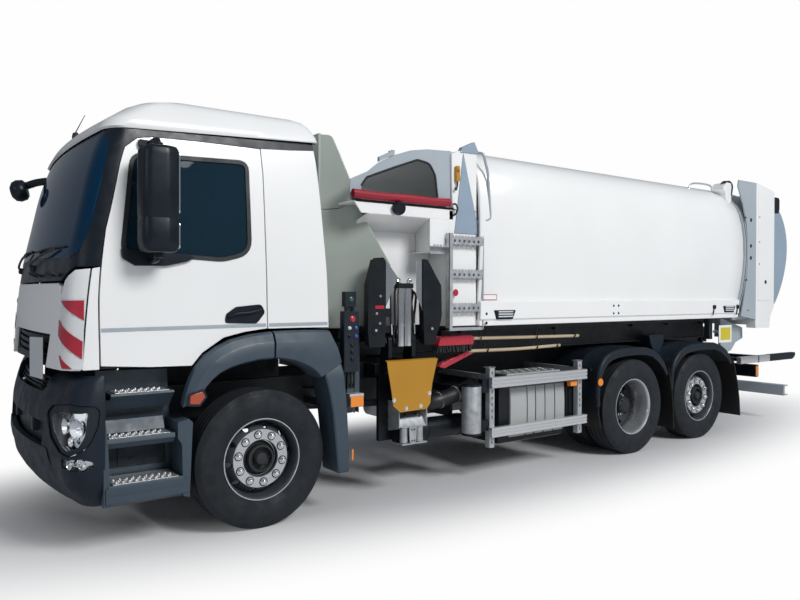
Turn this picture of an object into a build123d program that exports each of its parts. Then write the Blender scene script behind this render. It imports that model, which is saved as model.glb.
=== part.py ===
from build123d import *
import os

# Side-loading refuse truck with three axles: a tilting cab, a bin lifter behind it,
# a tipping load body with a tailgate, and a trailing axle that steers.
# Millimetres. +X is the truck's left, +Y its rear, +Z up. The origin is on the ground
# under the middle of the truck, and every height is measured from the ground.

# ---------------------------------------------------------------- driving dimensions

front_overhang = 1450          # bumper nose to front axle
wheelbase = 4300               # front axle to drive axle
tag_spacing = 1350             # drive axle to trailing axle
rear_overhang = 2250           # trailing axle to the tail
overall_length = front_overhang + wheelbase + tag_spacing + rear_overhang
front_axle_y = front_overhang - overall_length / 2
drive_axle_y = front_axle_y + wheelbase
tag_axle_y = drive_axle_y + tag_spacing
tail_y = tag_axle_y + rear_overhang

# Wheels
wheel_radius = 507
tyre_width = 300
tread_width = 236
bead_radius = 286
rim_flange_radius = 298
rim_width = 254
rim_wall = 12
twin_spacing = 345             # centre to centre of the twin tyres
steered_wheel_x = 1046         # centre plane of the front and trailing wheels
drive_wheel_x = 1100           # centre plane of the outer drive wheels
kingpin_x = 930
spindle_radius = 45
spindle_clearance = 0.05
hub_radius = 95

# Chassis
rail_x = 380                   # middle of each frame rail
rail_height = 270
rail_flange = 80
rail_plate = 8
frame_top = 1000
frame_bottom = frame_top - rail_height
frame_front_y = front_axle_y - 1300
frame_rear_y = tag_axle_y + 1420
hinge_ear = 24
tilt_pin_radius = 25
hoist_pin_radius = 40
pin_clearance = 0.05
gap = 6                        # shut line round doors and panels
moving_gap = 10                # room round pieces that move

# Cab
cab_wall = 45
cab_floor = 60
cab_tilt_y = front_axle_y - 1250
cab_tilt_z = 850
cab_floor_z = 1220             # underside of the cab ahead of the wheels
arch_top = 1455                # underside of the cab over the front wheels
arch_front = -620

# Load body
body_half_width = 1235
body_wall = 14
body_floor_z = 1430
body_top = 3085
body_front_y = front_axle_y + 2065
body_rear_y = tag_axle_y + 720
tip_hinge_y = tag_axle_y + 1350
tip_hinge_z = 1120
tip_hinge_radius = 35
subframe_z = (1150, 1270)
hoist_base_y = tip_hinge_y - 3200
hoist_base_z = tip_hinge_z - 250
hoist_lug_y = tip_hinge_y - 1550
hoist_lug_z = tip_hinge_z + 150
hopper_wall = 30
hopper_front_y = front_axle_y + 640
hopper_half_width = 1190
hopper_shelf_z = 2410

# Side lifter
lifter_y = front_axle_y + 1260
lifter_pivot_x = 1120
lifter_pivot_z = 1325
jaw_pivot_z = lifter_pivot_z + 100


# ---------------------------------------------------------------- building helpers

def block(x_span, y_span, z_span, mode=Mode.ADD):
    """A box between two corners."""
    spans = [sorted(span) for span in (x_span, y_span, z_span)]
    with Locations(tuple((low + high) / 2 for low, high in spans)):
        Box(*[high - low for low, high in spans], mode=mode)


def side_plate(outline, x_span, mode=Mode.ADD):
    """An outline of (y, z) points, extruded across the truck."""
    with BuildSketch(Plane.YZ.offset(x_span[0])) as profile:
        with BuildLine():
            Polyline(*outline, close=True)
        make_face()
    extrude(profile.sketch, amount=x_span[1] - x_span[0], mode=mode)


def front_plate(outline, y_span, mode=Mode.ADD):
    """An outline of (x, z) points, extruded along the truck."""
    with BuildSketch(Plane.XZ.offset(-y_span[0])) as profile:
        with BuildLine():
            Polyline(*outline, close=True)
        make_face()
    extrude(profile.sketch, amount=y_span[0] - y_span[1], mode=mode)


def floor_plate(outline, z_span, mode=Mode.ADD):
    """An outline of (x, y) points, extruded upwards."""
    with BuildSketch(Plane.XY.offset(z_span[0])) as profile:
        with BuildLine():
            Polyline(*outline, close=True)
        make_face()
    extrude(profile.sketch, amount=z_span[1] - z_span[0], mode=mode)


def bar(start, end, radius, mode=Mode.ADD):
    """A round bar between two points."""
    run = Vector(*end) - Vector(*start)
    with BuildSketch(Plane(start, z_dir=run)) as section:
        Circle(radius)
    extrude(section.sketch, amount=run.length, mode=mode)


def from_axle(outline, axle_y=front_axle_y):
    """Shift (y, z) points given from an axle to the truck's own frame."""
    return [(axle_y + y, z) for y, z in outline]


def both_sides(x):
    """The same x on the left and on the right."""
    return (x, -x)


def turned(outline, centre):
    """Revolve (x, radius) points about a wheel's axle line through a centre."""
    plane = Plane(origin=centre, x_dir=(1, 0, 0), z_dir=(0, -1, 0))
    with BuildSketch(plane) as profile:
        with BuildLine():
            Polyline(*outline, close=True)
        make_face()
    revolve(profile.sketch, axis=Axis(centre, (1, 0, 0)))


# ---------------------------------------------------------------- wheels

# Tyre section as (distance from the centre plane, radius).
tyre_outline = [
    (-rim_width / 2 + 8, bead_radius),
    (-rim_width / 2 + 8, rim_flange_radius + 1),
    (-tyre_width / 2, wheel_radius - 105),
    (-tread_width / 2 - 20, wheel_radius - 22),
    (-tread_width / 2, wheel_radius),
    (tread_width / 2, wheel_radius),
    (tread_width / 2 + 20, wheel_radius - 22),
    (tyre_width / 2, wheel_radius - 105),
    (rim_width / 2 - 8, rim_flange_radius + 1),
    (rim_width / 2 - 8, bead_radius),
]


def rim_outline(disc_x, dish):
    """Half section of a rim whose disc meets the hub at disc_x, dished by dish."""
    edge = rim_width / 2
    disc_plate = 14
    disc_root = disc_x - dish
    return [
        (-edge, rim_flange_radius),
        (-edge + 8, rim_flange_radius),
        (-edge + 8, bead_radius),
        (edge - 8, bead_radius),
        (edge - 8, rim_flange_radius),
        (edge, rim_flange_radius),
        (edge, bead_radius - rim_wall),
        (disc_root + disc_plate, bead_radius - rim_wall),
        (disc_x + disc_plate, 190),
        (disc_x + disc_plate, hub_radius),
        (disc_x, hub_radius),
        (disc_x, 190),
        (disc_root, bead_radius - rim_wall),
        (-edge, bead_radius - rim_wall),
    ]


def hub_outline(inner_x, outer_x):
    """Half section of a hub that turns on a spindle and is closed outside by its cap."""
    bore = spindle_radius + spindle_clearance
    cap = 12
    return [
        (inner_x, bore),
        (inner_x, hub_radius + 1),
        (outer_x, hub_radius + 1),
        (outer_x, 0),
        (outer_x - cap, 0),
        (outer_x - cap, bore),
    ]


def wheel_centre(x, axle_y):
    return (x, axle_y, wheel_radius)


wheel_places = [
    # name, centre plane, axle, twin
    ("front", steered_wheel_x, front_axle_y, False),
    ("drive", drive_wheel_x, drive_axle_y, True),
    ("tag", steered_wheel_x, tag_axle_y, False),
]
single_disc_x = 70
single_dish = 60
hub_inner_x = -40
hub_outer_x = 120
twin_hub_outer_x = 30
twin_hub_inner_x = -430

pieces = {}
for name, wheel_x, axle_y, twin in wheel_places:
    with BuildPart() as tyre:
        turned(tyre_outline, wheel_centre(wheel_x, axle_y))
        if twin:
            turned(tyre_outline, wheel_centre(wheel_x - twin_spacing, axle_y))
    with BuildPart() as rim:
        if twin:
            middle = -twin_spacing / 2
            turned(rim_outline(middle, -60), wheel_centre(wheel_x, axle_y))
            turned(rim_outline(twin_spacing / 2 - 14, 60),
                   wheel_centre(wheel_x - twin_spacing, axle_y))
            turned(hub_outline(twin_hub_inner_x, twin_hub_outer_x),
                   wheel_centre(wheel_x, axle_y))
        else:
            turned(rim_outline(single_disc_x, single_dish), wheel_centre(wheel_x, axle_y))
            turned(hub_outline(hub_inner_x, hub_outer_x), wheel_centre(wheel_x, axle_y))
    with BuildPart() as tyre_right:
        mirror(tyre.part, about=Plane.YZ)
    with BuildPart() as rim_right:
        mirror(rim.part, about=Plane.YZ)
    pieces[f"tyre_{name}_left"] = tyre
    pieces[f"tyre_{name}_right"] = tyre_right
    pieces[f"rim_{name}_left"] = rim
    pieces[f"rim_{name}_right"] = rim_right

# ---------------------------------------------------------------- axles and knuckles

kingpin_radius = 24
kingpin_clearance = 0.05
knuckle_half_height = 115
beam_half_height = 62
beam_half_width = 55
kingpin_eye_radius = 48
spindle_end_x = steered_wheel_x + hub_outer_x - 12 - moving_gap
knuckle_neck_x = kingpin_x + 56
axle_z = wheel_radius
knuckle_side = 62

for name, axle_y in (("front", front_axle_y), ("tag", tag_axle_y)):
    with BuildPart() as knuckle:
        # Two ears hold the kingpin's eye between them, and the spindle stands outwards.
        for low, high in ((-knuckle_half_height, -beam_half_height - gap),
                          (beam_half_height + gap, knuckle_half_height)):
            block((kingpin_x - kingpin_eye_radius, knuckle_neck_x + 10),
                  (axle_y - knuckle_side, axle_y + knuckle_side),
                  (axle_z + low, axle_z + high))
        block((knuckle_neck_x, knuckle_neck_x + 16),
              (axle_y - knuckle_side, axle_y + knuckle_side),
              (axle_z - knuckle_half_height, axle_z + knuckle_half_height))
        bar((knuckle_neck_x, axle_y, axle_z), (spindle_end_x, axle_y, axle_z), spindle_radius)
        bar((kingpin_x, axle_y, axle_z - knuckle_half_height),
            (kingpin_x, axle_y, axle_z + knuckle_half_height), kingpin_radius)
    with BuildPart() as knuckle_right:
        mirror(knuckle.part, about=Plane.YZ)
    pieces[f"knuckle_{name}_left"] = knuckle
    pieces[f"knuckle_{name}_right"] = knuckle_right

spring_x = 430
spring_half_length = 760
spring_z = 640
spring_plate = 45
spring_half_width = 38
beam_drop = 85


def steered_axle(axle_y):
    """A forged beam, dropped in the middle, with an eye at each end for the kingpin."""
    outer = kingpin_x - kingpin_eye_radius + 12
    inner = 640
    top = axle_z + beam_half_height
    bottom = axle_z - beam_half_height
    beam = [(-outer, bottom), (-outer, top), (-inner, top - 10), (-inner + 120, top - beam_drop),
            (inner - 120, top - beam_drop), (inner, top - 10), (outer, top), (outer, bottom),
            (inner, bottom), (inner - 120, bottom - beam_drop),
            (-inner + 120, bottom - beam_drop), (-inner, bottom)]
    front_plate(beam, (axle_y - beam_half_width, axle_y + beam_half_width))
    for x in both_sides(kingpin_x):
        bar((x, axle_y, bottom), (x, axle_y, top), kingpin_eye_radius)
        bar((x, axle_y, bottom), (x, axle_y, top), kingpin_radius + kingpin_clearance,
            mode=Mode.SUBTRACT)


def leaf_springs(axle_y):
    """A leaf pack each side, held by hangers under the rails and bolted to the beam."""
    for x in both_sides(spring_x):
        span = (x - spring_half_width, x + spring_half_width)
        block(span, (axle_y - spring_half_length, axle_y + spring_half_length),
              (spring_z, spring_z + spring_plate))
        for end in both_sides(spring_half_length - 45):
            block(span, (axle_y + end - 45, axle_y + end + 45),
                  (spring_z, frame_bottom))
        block(span, (axle_y - 95, axle_y + 95), (axle_z - 60, spring_z + spring_plate + 20))


with BuildPart() as front_axle:
    steered_axle(front_axle_y)
    leaf_springs(front_axle_y)
pieces["front_axle"] = front_axle

with BuildPart() as tag_axle:
    steered_axle(tag_axle_y)
    # Air bellows stand between the beam and the rails.
    for x in both_sides(rail_x):
        bar((x, tag_axle_y, axle_z - 40), (x, tag_axle_y, frame_bottom), 90)
pieces["tag_axle"] = tag_axle

differential_radius = 200
axle_tube_radius = 72
hub_flange_x = drive_wheel_x + twin_hub_inner_x - moving_gap
with BuildPart() as drive_axle:
    with Locations(wheel_centre(0, drive_axle_y)):
        Sphere(differential_radius)
    bar((-hub_flange_x, drive_axle_y, axle_z), (hub_flange_x, drive_axle_y, axle_z),
        axle_tube_radius)
    spindle_tip = drive_wheel_x + twin_hub_outer_x - 12 - moving_gap
    bar((-spindle_tip, drive_axle_y, axle_z), (spindle_tip, drive_axle_y, axle_z),
        spindle_radius)
    for x in both_sides(rail_x):
        bar((x, drive_axle_y, axle_z), (x, drive_axle_y, frame_bottom), 90)
    # The propeller shaft runs forward from the differential to the gearbox.
    bar((0, front_axle_y + 560, 700), (0, drive_axle_y, axle_z), 55)
pieces["drive_axle"] = drive_axle

# ---------------------------------------------------------------- frame and engine

crossmember_ys = [
    frame_front_y + 60,
    front_axle_y + 1750,
    front_axle_y + 2700,
    hoist_base_y - 120,
    tag_axle_y + 650,
    frame_rear_y - 60,
]
crossmember_radius = 60
with BuildPart() as chassis_frame:
    for side in (1, -1):
        inner = side * (rail_x - rail_flange / 2)
        outer = side * (rail_x + rail_flange / 2)
        block((inner, outer), (frame_front_y, frame_rear_y), (frame_bottom, frame_top))
        block((inner, outer - side * rail_plate), (frame_front_y, frame_rear_y),
              (frame_bottom + rail_plate, frame_top - rail_plate), mode=Mode.SUBTRACT)
    for y in crossmember_ys:
        bar((-rail_x - rail_flange / 2 + 1, y, frame_bottom + rail_height / 2),
            (rail_x + rail_flange / 2 - 1, y, frame_bottom + rail_height / 2),
            crossmember_radius)
    for side in (1, -1):
        inner = side * (rail_x - rail_flange / 2)
        outer = side * (rail_x + rail_flange / 2)
        # A second frame on the rails lifts the load body's seat above the lifter.
        block((inner, outer), (lifter_y + 300, tip_hinge_y - 160),
              (frame_top, subframe_z[0] - moving_gap))
        # Ears at the rear end carry the tipping hinge's pins.
        side_plate([(tip_hinge_y - 120, frame_top - 40), (tip_hinge_y + 70, frame_top - 40),
                    (tip_hinge_y + 70, tip_hinge_z + 60), (tip_hinge_y - 70, tip_hinge_z + 60)],
                   (inner, inner + side * hinge_ear))
        bar((inner, tip_hinge_y, tip_hinge_z), (outer + side * 20, tip_hinge_y, tip_hinge_z),
            tip_hinge_radius)
        # Pins for the cab's tilt brackets stand outside the rails.
        bar((outer - side * rail_plate, cab_tilt_y, cab_tilt_z),
            (outer + side * 56, cab_tilt_y, cab_tilt_z), tilt_pin_radius)
        # Ears for the hoist's lower pin stand behind a crossmember.
        side_plate([(hoist_base_y - 130, hoist_base_z - 60), (hoist_base_y + 60, hoist_base_z - 60),
                    (hoist_base_y + 60, hoist_base_z + 60), (hoist_base_y - 130, hoist_base_z + 60)],
                   (side * 116, side * 140))
    bar((-141, hoist_base_y, hoist_base_z), (141, hoist_base_y, hoist_base_z),
        hoist_pin_radius + pin_clearance, mode=Mode.SUBTRACT)
pieces["chassis_frame"] = chassis_frame

engine_half_width = 320
with BuildPart() as engine_block:
    block((-engine_half_width, engine_half_width), (front_axle_y - 640, front_axle_y + 540),
          (570, 1180))
    for y in (front_axle_y - 450, front_axle_y + 400):
        block((-rail_x - rail_flange / 2 + rail_plate, rail_x + rail_flange / 2 - rail_plate),
              (y - 50, y + 50), (820, 900))
pieces["engine_block"] = engine_block

# ---------------------------------------------------------------- bumper and steps


def wrapped_section(height, half_width, nose, bow, corner_run, corner_depth, rear):
    """A plan section: bowed across the front, rounded at the corners, straight behind."""
    side_x = half_width - corner_run
    side_y = nose + bow
    turn = 0.72
    corner = (side_x + corner_run * turn, side_y + corner_depth * (1 - turn))
    with BuildSketch(Plane.XY.offset(height)) as section:
        with BuildLine():
            ThreePointArc((-side_x, side_y), (0, nose), (side_x, side_y))
            ThreePointArc((side_x, side_y), corner, (half_width, side_y + corner_depth))
            Line((half_width, side_y + corner_depth), (half_width, rear))
            Line((half_width, rear), (-half_width, rear))
            Line((-half_width, rear), (-half_width, side_y + corner_depth))
            ThreePointArc((-half_width, side_y + corner_depth), (-corner[0], corner[1]),
                          (-side_x, side_y))
        make_face()
    return section.sketch


bumper_wall = 35
bumper_rear = -1095
bumper_sections = [
    # height, half width, nose, bow, corner depth; y from the front axle
    (345, 1120, -1330, 60, 120),
    (500, 1215, -1440, 70, 160),
    (900, 1225, -1450, 70, 160),
    (1060, 1222, -1435, 70, 160),
    (1140, 1215, -1400, 60, 150),
    (1190, 1190, -1330, 50, 130),
]


def bumper_form(inset, rear):
    """The bumper's outer form, moved inwards by inset and closed behind at rear."""
    sections = []
    for height, half_width, nose, bow, depth in bumper_sections:
        sections.append(wrapped_section(
            height, half_width - inset, front_axle_y + nose + inset, bow, 200 - inset / 2,
            depth, front_axle_y + rear))
    with BuildPart() as form:
        loft(sections, ruled=True)
    return form.part


lamp_z = (730, 1035)
lamp_x = (955, 1300)
lamp_y = (front_axle_y - 1500, front_axle_y - 1240)
bumper_skin = bumper_form(0, bumper_rear) - bumper_form(bumper_wall, bumper_rear + 50)
with BuildPart() as headlamps:
    add(bumper_skin)
    with Locations((0, sum(lamp_y) / 2, sum(lamp_z) / 2)):
        Box(2 * lamp_x[1], lamp_y[1] - lamp_y[0], lamp_z[1] - lamp_z[0], mode=Mode.INTERSECT)
    block((-lamp_x[0], lamp_x[0]), lamp_y, lamp_z, mode=Mode.SUBTRACT)
pieces["headlamps"] = headlamps

with BuildPart() as bumper:
    add(bumper_skin)
    for side in (1, -1):
        block((side * lamp_x[0], side * lamp_x[1]), lamp_y, lamp_z, mode=Mode.SUBTRACT)
    # The middle is cut down below the grille, which hangs from the cab.
    front_plate([(-620, 1045), (-720, 1300), (720, 1300), (620, 1045)],
                (front_axle_y - 1500, front_axle_y + bumper_rear - 60), mode=Mode.SUBTRACT)
    # Brackets join the bumper to the frame's front end.
    for x in both_sides(rail_x):
        block((x - 40, x + 40), (front_axle_y - 1425, frame_front_y),
              (frame_bottom + 20, frame_top - 60))
pieces["bumper"] = bumper

step_x = (800, 1235)
step_y = (bumper_rear, -575)
step_back_x = 930
with BuildPart() as cab_steps:
    for side in (1, -1):
        y_span = (front_axle_y + step_y[0], front_axle_y + step_y[1])
        steps = [
            # inner x, outer x, z low, z high, y short of the box's rear
            (step_x[0], step_x[1], 330, 470, 0),
            (step_back_x, step_x[1], 720, 790, 0),
            (step_back_x, step_x[1] - 40, 1050, 1115, 125),
            (step_back_x, step_back_x + 30, 330, 1190, 0),
        ]
        for inner, outer, low, high, short in steps:
            block((side * inner, side * outer), (y_span[0], y_span[1] - short), (low, high))
        block((side * step_back_x, side * step_x[1]), (y_span[1] - 60, y_span[1]), (330, 860))
        # A bracket carries each box on the frame rail.
        block((side * (rail_x + rail_flange / 2), side * (step_back_x + 5)),
              (y_span[0] + 200, y_span[0] + 260), (frame_bottom + 40, frame_top - 40))
pieces["cab_steps"] = cab_steps

# ---------------------------------------------------------------- cab

cab_sections = [
    # height, half width, nose, bow, corner depth, rear; y from the front axle
    (cab_floor_z, 1160, -1420, 80, 150, 570),
    (1800, 1160, -1370, 80, 150, 560),
    (2700, 1115, -1150, 50, 110, 500),
    (2960, 1060, -1010, 50, 110, 465),
    (3090, 880, -700, 40, 90, 420),
]
cab_corner_run = 160


def cab_form(inset, floor=0, roof=0):
    """The cab's outer form moved inwards by inset, with its floor raised and roof lowered."""
    sections = []
    last = len(cab_sections) - 1
    for index, (height, half_width, nose, bow, depth, rear) in enumerate(cab_sections):
        lift = floor if index == 0 else 0
        drop = roof if index == last else 0
        sections.append(wrapped_section(
            height + lift - drop, half_width - inset, front_axle_y + nose + inset, bow,
            cab_corner_run - inset / 2, depth, front_axle_y + rear - inset))
    with BuildPart() as form:
        loft(sections, ruled=True)
    return form.part


def wheel_arch(grow):
    """The space over the front wheels that the cab steps up to clear."""
    outline = from_axle([(arch_front - grow, 1100), (arch_front - grow, 1240 + grow),
                         (arch_front + 180, arch_top + grow), (700, arch_top + grow),
                         (700, 1100)])
    with BuildPart() as space:
        for side in (1, -1):
            side_plate(outline, (side * (620 - grow), side * 1400))
    return space.part


cab_outer = cab_form(0) - wheel_arch(0)
cab_inner = cab_form(cab_wall, cab_floor, cab_wall) - wheel_arch(cab_wall)
cab_skin = cab_outer - cab_inner

door_outline = from_axle([(-1120, 1245), (-1105, 1870), (-965, 2640), (-890, 2735),
                          (-20, 2735), (20, 1490), (-330, 1480), (-560, 1290), (-600, 1245)])
window_outline = from_axle([(-1000, 1955), (-910, 2520), (-850, 2615), (-140, 2650),
                            (-110, 2620), (-110, 2065)])
windscreen_outline = [(-1060, 1930), (-1015, 2690), (1015, 2690), (1060, 1930)]
flap_outline = [(-930, 1240), (-930, 1690), (-885, 1765), (885, 1765), (930, 1690),
                (930, 1240)]
grille_outline = [(-620, 1200), (-720, 1450), (720, 1450), (620, 1200)]
front_cut = (front_axle_y - 1600, front_axle_y - 950)
side_cut = (1045, 1300)
flap_cut = (front_axle_y - 1600, front_axle_y - 1230)


def outline_form(outline, plane_offset, amount, across, shrink=0):
    """A prism over an outline, across the truck or along it, made smaller by shrink."""
    plane = Plane.YZ.offset(plane_offset) if across else Plane.XZ.offset(-plane_offset)
    with BuildPart() as form:
        with BuildSketch(plane):
            with BuildLine():
                Polyline(*outline, close=True)
            make_face()
            if shrink:
                offset(amount=-shrink, kind=Kind.INTERSECTION)
        extrude(amount=amount if across else -amount)
    return form.part


def left_prism(outline, shrink=0):
    return outline_form(outline, side_cut[0], side_cut[1] - side_cut[0], True, shrink)


def front_prism(outline, shrink=0, cut=front_cut):
    return outline_form(outline, cut[0], cut[1] - cut[0], False, shrink)


glass_depth = 12
glass_plate = 6
glass_layer = cab_form(glass_depth) - cab_form(glass_depth + glass_plate)

with BuildPart() as cab_shell:
    add(cab_skin)
    add(left_prism(door_outline), mode=Mode.SUBTRACT)
    add(mirror(left_prism(door_outline), about=Plane.YZ, mode=Mode.PRIVATE), mode=Mode.SUBTRACT)
    add(front_prism(windscreen_outline), mode=Mode.SUBTRACT)
    add(front_prism(flap_outline, 0, flap_cut), mode=Mode.SUBTRACT)
    # Tilt brackets reach down from the floor to the pivot at the frame's front end.
    for x in both_sides(rail_x + 70):
        side_plate([(cab_tilt_y - 40, cab_tilt_z + 20), (cab_tilt_y - 20, cab_tilt_z - 40),
                    (cab_tilt_y + 60, cab_tilt_z - 40), (cab_tilt_y + 230, cab_tilt_z + 60),
                    (cab_tilt_y + 320, cab_floor_z + 5), (cab_tilt_y + 190, cab_floor_z + 5),
                    (cab_tilt_y + 150, cab_tilt_z + 140), (cab_tilt_y, cab_tilt_z + 50)],
                   (x - 14, x + 14))
        bar((x - 15, cab_tilt_y, cab_tilt_z), (x + 15, cab_tilt_y, cab_tilt_z),
            tilt_pin_radius + pin_clearance, mode=Mode.SUBTRACT)
pieces["cab_shell"] = cab_shell

with BuildPart() as windscreen:
    add(glass_layer)
    add(front_prism(windscreen_outline), mode=Mode.INTERSECT)
pieces["windscreen"] = windscreen

wall_skin = cab_form(0) - cab_form(cab_wall) - wheel_arch(0)
with BuildPart() as front_flap:
    add(wall_skin)
    add(front_prism(flap_outline, gap, flap_cut), mode=Mode.INTERSECT)
    add(front_prism(grille_outline), mode=Mode.SUBTRACT)
pieces["front_flap"] = front_flap

with BuildPart() as grille:
    add(cab_form(20) - cab_form(cab_wall))
    add(front_prism([(x, max(z, 1240 + gap)) for x, z in grille_outline], 0, flap_cut),
        mode=Mode.INTERSECT)
pieces["grille"] = grille

with BuildPart() as door_left:
    add(wall_skin)
    add(left_prism(door_outline, gap), mode=Mode.INTERSECT)
    add(left_prism(window_outline), mode=Mode.SUBTRACT)
pieces["door_left"] = door_left

with BuildPart() as door_glass_left:
    add(glass_layer)
    add(left_prism(window_outline), mode=Mode.INTERSECT)
pieces["door_glass_left"] = door_glass_left

mirror_x = (1275, 1450)
mirror_y = (front_axle_y - 905, front_axle_y - 700)
mirror_z = (2045, 2690)
with BuildPart() as mirror_left:
    block(mirror_x, mirror_y, mirror_z)
    fillet(mirror_left.edges().filter_by(Axis.Z), 60)
    fillet(mirror_left.edges().group_by(Axis.Z)[-1], 25)
    fillet(mirror_left.edges().group_by(Axis.Z)[0], 25)
    for z, reach in ((1975, 0), (2700, 0)):
        block((1100, 1330), (mirror_y[0] + 40, mirror_y[0] + 90), (z - 18, z + 18))
        block((1290, 1330), (mirror_y[0] + 40, mirror_y[0] + 90),
              (min(z - 18, 2060), max(z + 18, 2060)) if z < 2060 else (2660, z + 18))
    add(cab_form(0), mode=Mode.SUBTRACT)
pieces["mirror_left"] = mirror_left

for name in ("door", "door_glass", "mirror"):
    with BuildPart() as right_piece:
        mirror(pieces[f"{name}_left"].part, about=Plane.YZ)
    pieces[f"{name}_right"] = right_piece

fender_x = (990, 1245)
fender_outline = from_axle([(-640, 985), (-520, 1195), (-300, 1360), (70, 1435), (70, 1220),
                            (-40, 1240), (-230, 1205), (-400, 1120), (-585, 955)])
with BuildPart() as cab_fenders:
    for side in (1, -1):
        side_plate(fender_outline, (side * fender_x[0], side * fender_x[1]))
        # A stay joins each fender to the cab's step over the wheel.
        block((side * fender_x[0], side * (fender_x[0] + 60)),
              (front_axle_y - 100, front_axle_y), (1300, arch_top))
pieces["cab_fenders"] = cab_fenders

seat_z = arch_top + cab_wall + 5
seat_ys = (front_axle_y - 420, front_axle_y + 60)
with BuildPart() as cab_interior:
    # Dashboard across the cab, seat boxes, and a steering wheel on its column.
    block((-1080, 1080), (front_axle_y - 1080, front_axle_y - 820), (1280, 1830))
    for x in both_sides(620):
        block((x - 200, x + 200), seat_ys, (1280, seat_z))
    bar((620, front_axle_y - 830, 1700), (620, front_axle_y - 640, 1880), 28)
    with Locations(Plane((620, front_axle_y - 640, 1880), z_dir=(0, 0.7, 0.72))):
        Torus(215, 17)
        Box(400, 40, 16)
    add(cab_inner, mode=Mode.INTERSECT)
pieces["cab_interior"] = cab_interior

with BuildPart() as cab_seats:
    for x in both_sides(620):
        block((x - 240, x + 240), seat_ys, (seat_z, seat_z + 130))
        side_plate([(seat_ys[1] - 110, seat_z + 130), (seat_ys[1], seat_z + 130),
                    (seat_ys[1] + 130, 2360),
                    (seat_ys[1] + 30, 2360)], (x - 230, x + 230))
pieces["cab_seats"] = cab_seats

# ---------------------------------------------------------------- mudguards

rear_part_outline = from_axle([(84, 1435), (500, 1420), (640, 1200), (715, 330), (610, 345),
                               (595, 1000), (440, 1130), (84, 1220)])
guard_inner_radius = 585
guard_plate = 40
guard_x = (600, 1245)
rear_guard_outline = [
    # (y from the axle, z) along the outside, then back along the inside
    (-750, 620), (-700, 900), (-480, 1110), (-250, 1150), (300, 1150), (480, 1110),
    (640, 960), (600, 935), (450, 1070), (280, 1112), (-240, 1112), (-455, 1072),
    (-660, 880), (-708, 615),
]
with BuildPart() as mudguards:
    for side in (1, -1):
        side_plate(rear_part_outline, (side * fender_x[0], side * fender_x[1]))
        block((side * (rail_x + rail_flange / 2), side * (fender_x[0] + 10)),
              (front_axle_y + 620, front_axle_y + 660), (900, 960))
        for axle_y in (drive_axle_y, tag_axle_y):
            outline = [(axle_y + y * (0.9 if y < 0 and axle_y == tag_axle_y else 1), z)
                       for y, z in rear_guard_outline]
            side_plate(outline, (side * guard_x[0], side * guard_x[1]))
        block((side * (rail_x + rail_flange / 2), side * (guard_x[0] + 5)),
              (drive_axle_y + 640, drive_axle_y + 700), (880, 940))
        block((side * (rail_x + rail_flange / 2), side * (guard_x[0] + 5)),
              (drive_axle_y - 700, drive_axle_y - 660), (840, 900))
        # The rear flap hangs behind the trailing wheel.
        side_plate([(tag_axle_y + 600, 1000), (tag_axle_y + 680, 960), (tag_axle_y + 810, 190),
                    (tag_axle_y + 785, 190)], (side * 700, side * guard_x[1]))
        block((side * (rail_x + rail_flange / 2), side * 710),
              (tag_axle_y + 620, tag_axle_y + 660), (900, 960))
pieces["mudguards"] = mudguards

# ---------------------------------------------------------------- side equipment

guard_rail_x = (1190, 1235)
equipment_rear_y = drive_axle_y - 770
guard_rail_y = (equipment_rear_y - 1310, equipment_rear_y)
guard_rails = [
    # z low, z high
    (410, 500),
    (860, 960),
]
guard_post_ys = (guard_rail_y[0] + 40, guard_rail_y[1] - 60)
guard_post_x = (1130, 1190)
with BuildPart() as side_guards:
    for side in (1, -1):
        for low, high in guard_rails:
            block((side * guard_rail_x[0], side * guard_rail_x[1]), guard_rail_y, (low, high))
        for y in guard_post_ys:
            block((side * guard_post_x[0], side * guard_post_x[1]), (y - 35, y + 35),
                  (310, 1050))
            block((side * (rail_x + rail_flange / 2), side * guard_post_x[1]),
                  (y - 35, y + 35), (frame_top - 90, frame_top - 20))
pieces["side_guards"] = side_guards

box_y = (guard_rail_y[0] + 200, guard_rail_y[1] - 280)
can_y = guard_rail_y[0] - 150
box_x = (560, 1110)
can_radius = 90
with BuildPart() as side_boxes:
    block(box_x, box_y, (290, 830))
    block((rail_x + rail_flange / 2, box_x[0]), (box_y[0] + 100, box_y[0] + 180), (760, 820))
    block((rail_x + rail_flange / 2, box_x[0]), (box_y[1] - 180, box_y[1] - 100), (760, 820))
    # A round can stands ahead of the box and the guard.
    bar((1120, can_y, 430), (1120, can_y, 910), can_radius)
    block((rail_x + rail_flange / 2, 1110), (can_y - 30, can_y + 30), (800, 860))
pieces["side_boxes"] = side_boxes

tank_radius = 90
tank_y = (equipment_rear_y - 1190, equipment_rear_y - 110)
with BuildPart() as fuel_tank:
    block((-1120, -560), tank_y, (300, 850))
    fillet(fuel_tank.edges().filter_by(Axis.Y), tank_radius)
    for y in (tank_y[0] + 260, tank_y[1] - 320):
        block((-560, -rail_x - rail_flange / 2), (y, y + 80), (740, 800))
pieces["fuel_tank"] = fuel_tank

post_y = (front_axle_y + 675, front_axle_y + 815)
with BuildPart() as control_panel:
    block((1130, 1210), post_y, (1100, 1580))
    block((1140, 1200), (post_y[0] + 10, post_y[1] - 40), (1600, 1740))
    block((1150, 1180), (post_y[0] + 60, post_y[0] + 90), (1570, 1610))
    block((1100, 1130), (post_y[0] + 60, post_y[1]), (700, 1580))
    block((rail_x + rail_flange / 2, 1110), (post_y[0] + 70, post_y[1] - 10), (760, 820))
pieces["control_panel"] = control_panel

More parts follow.
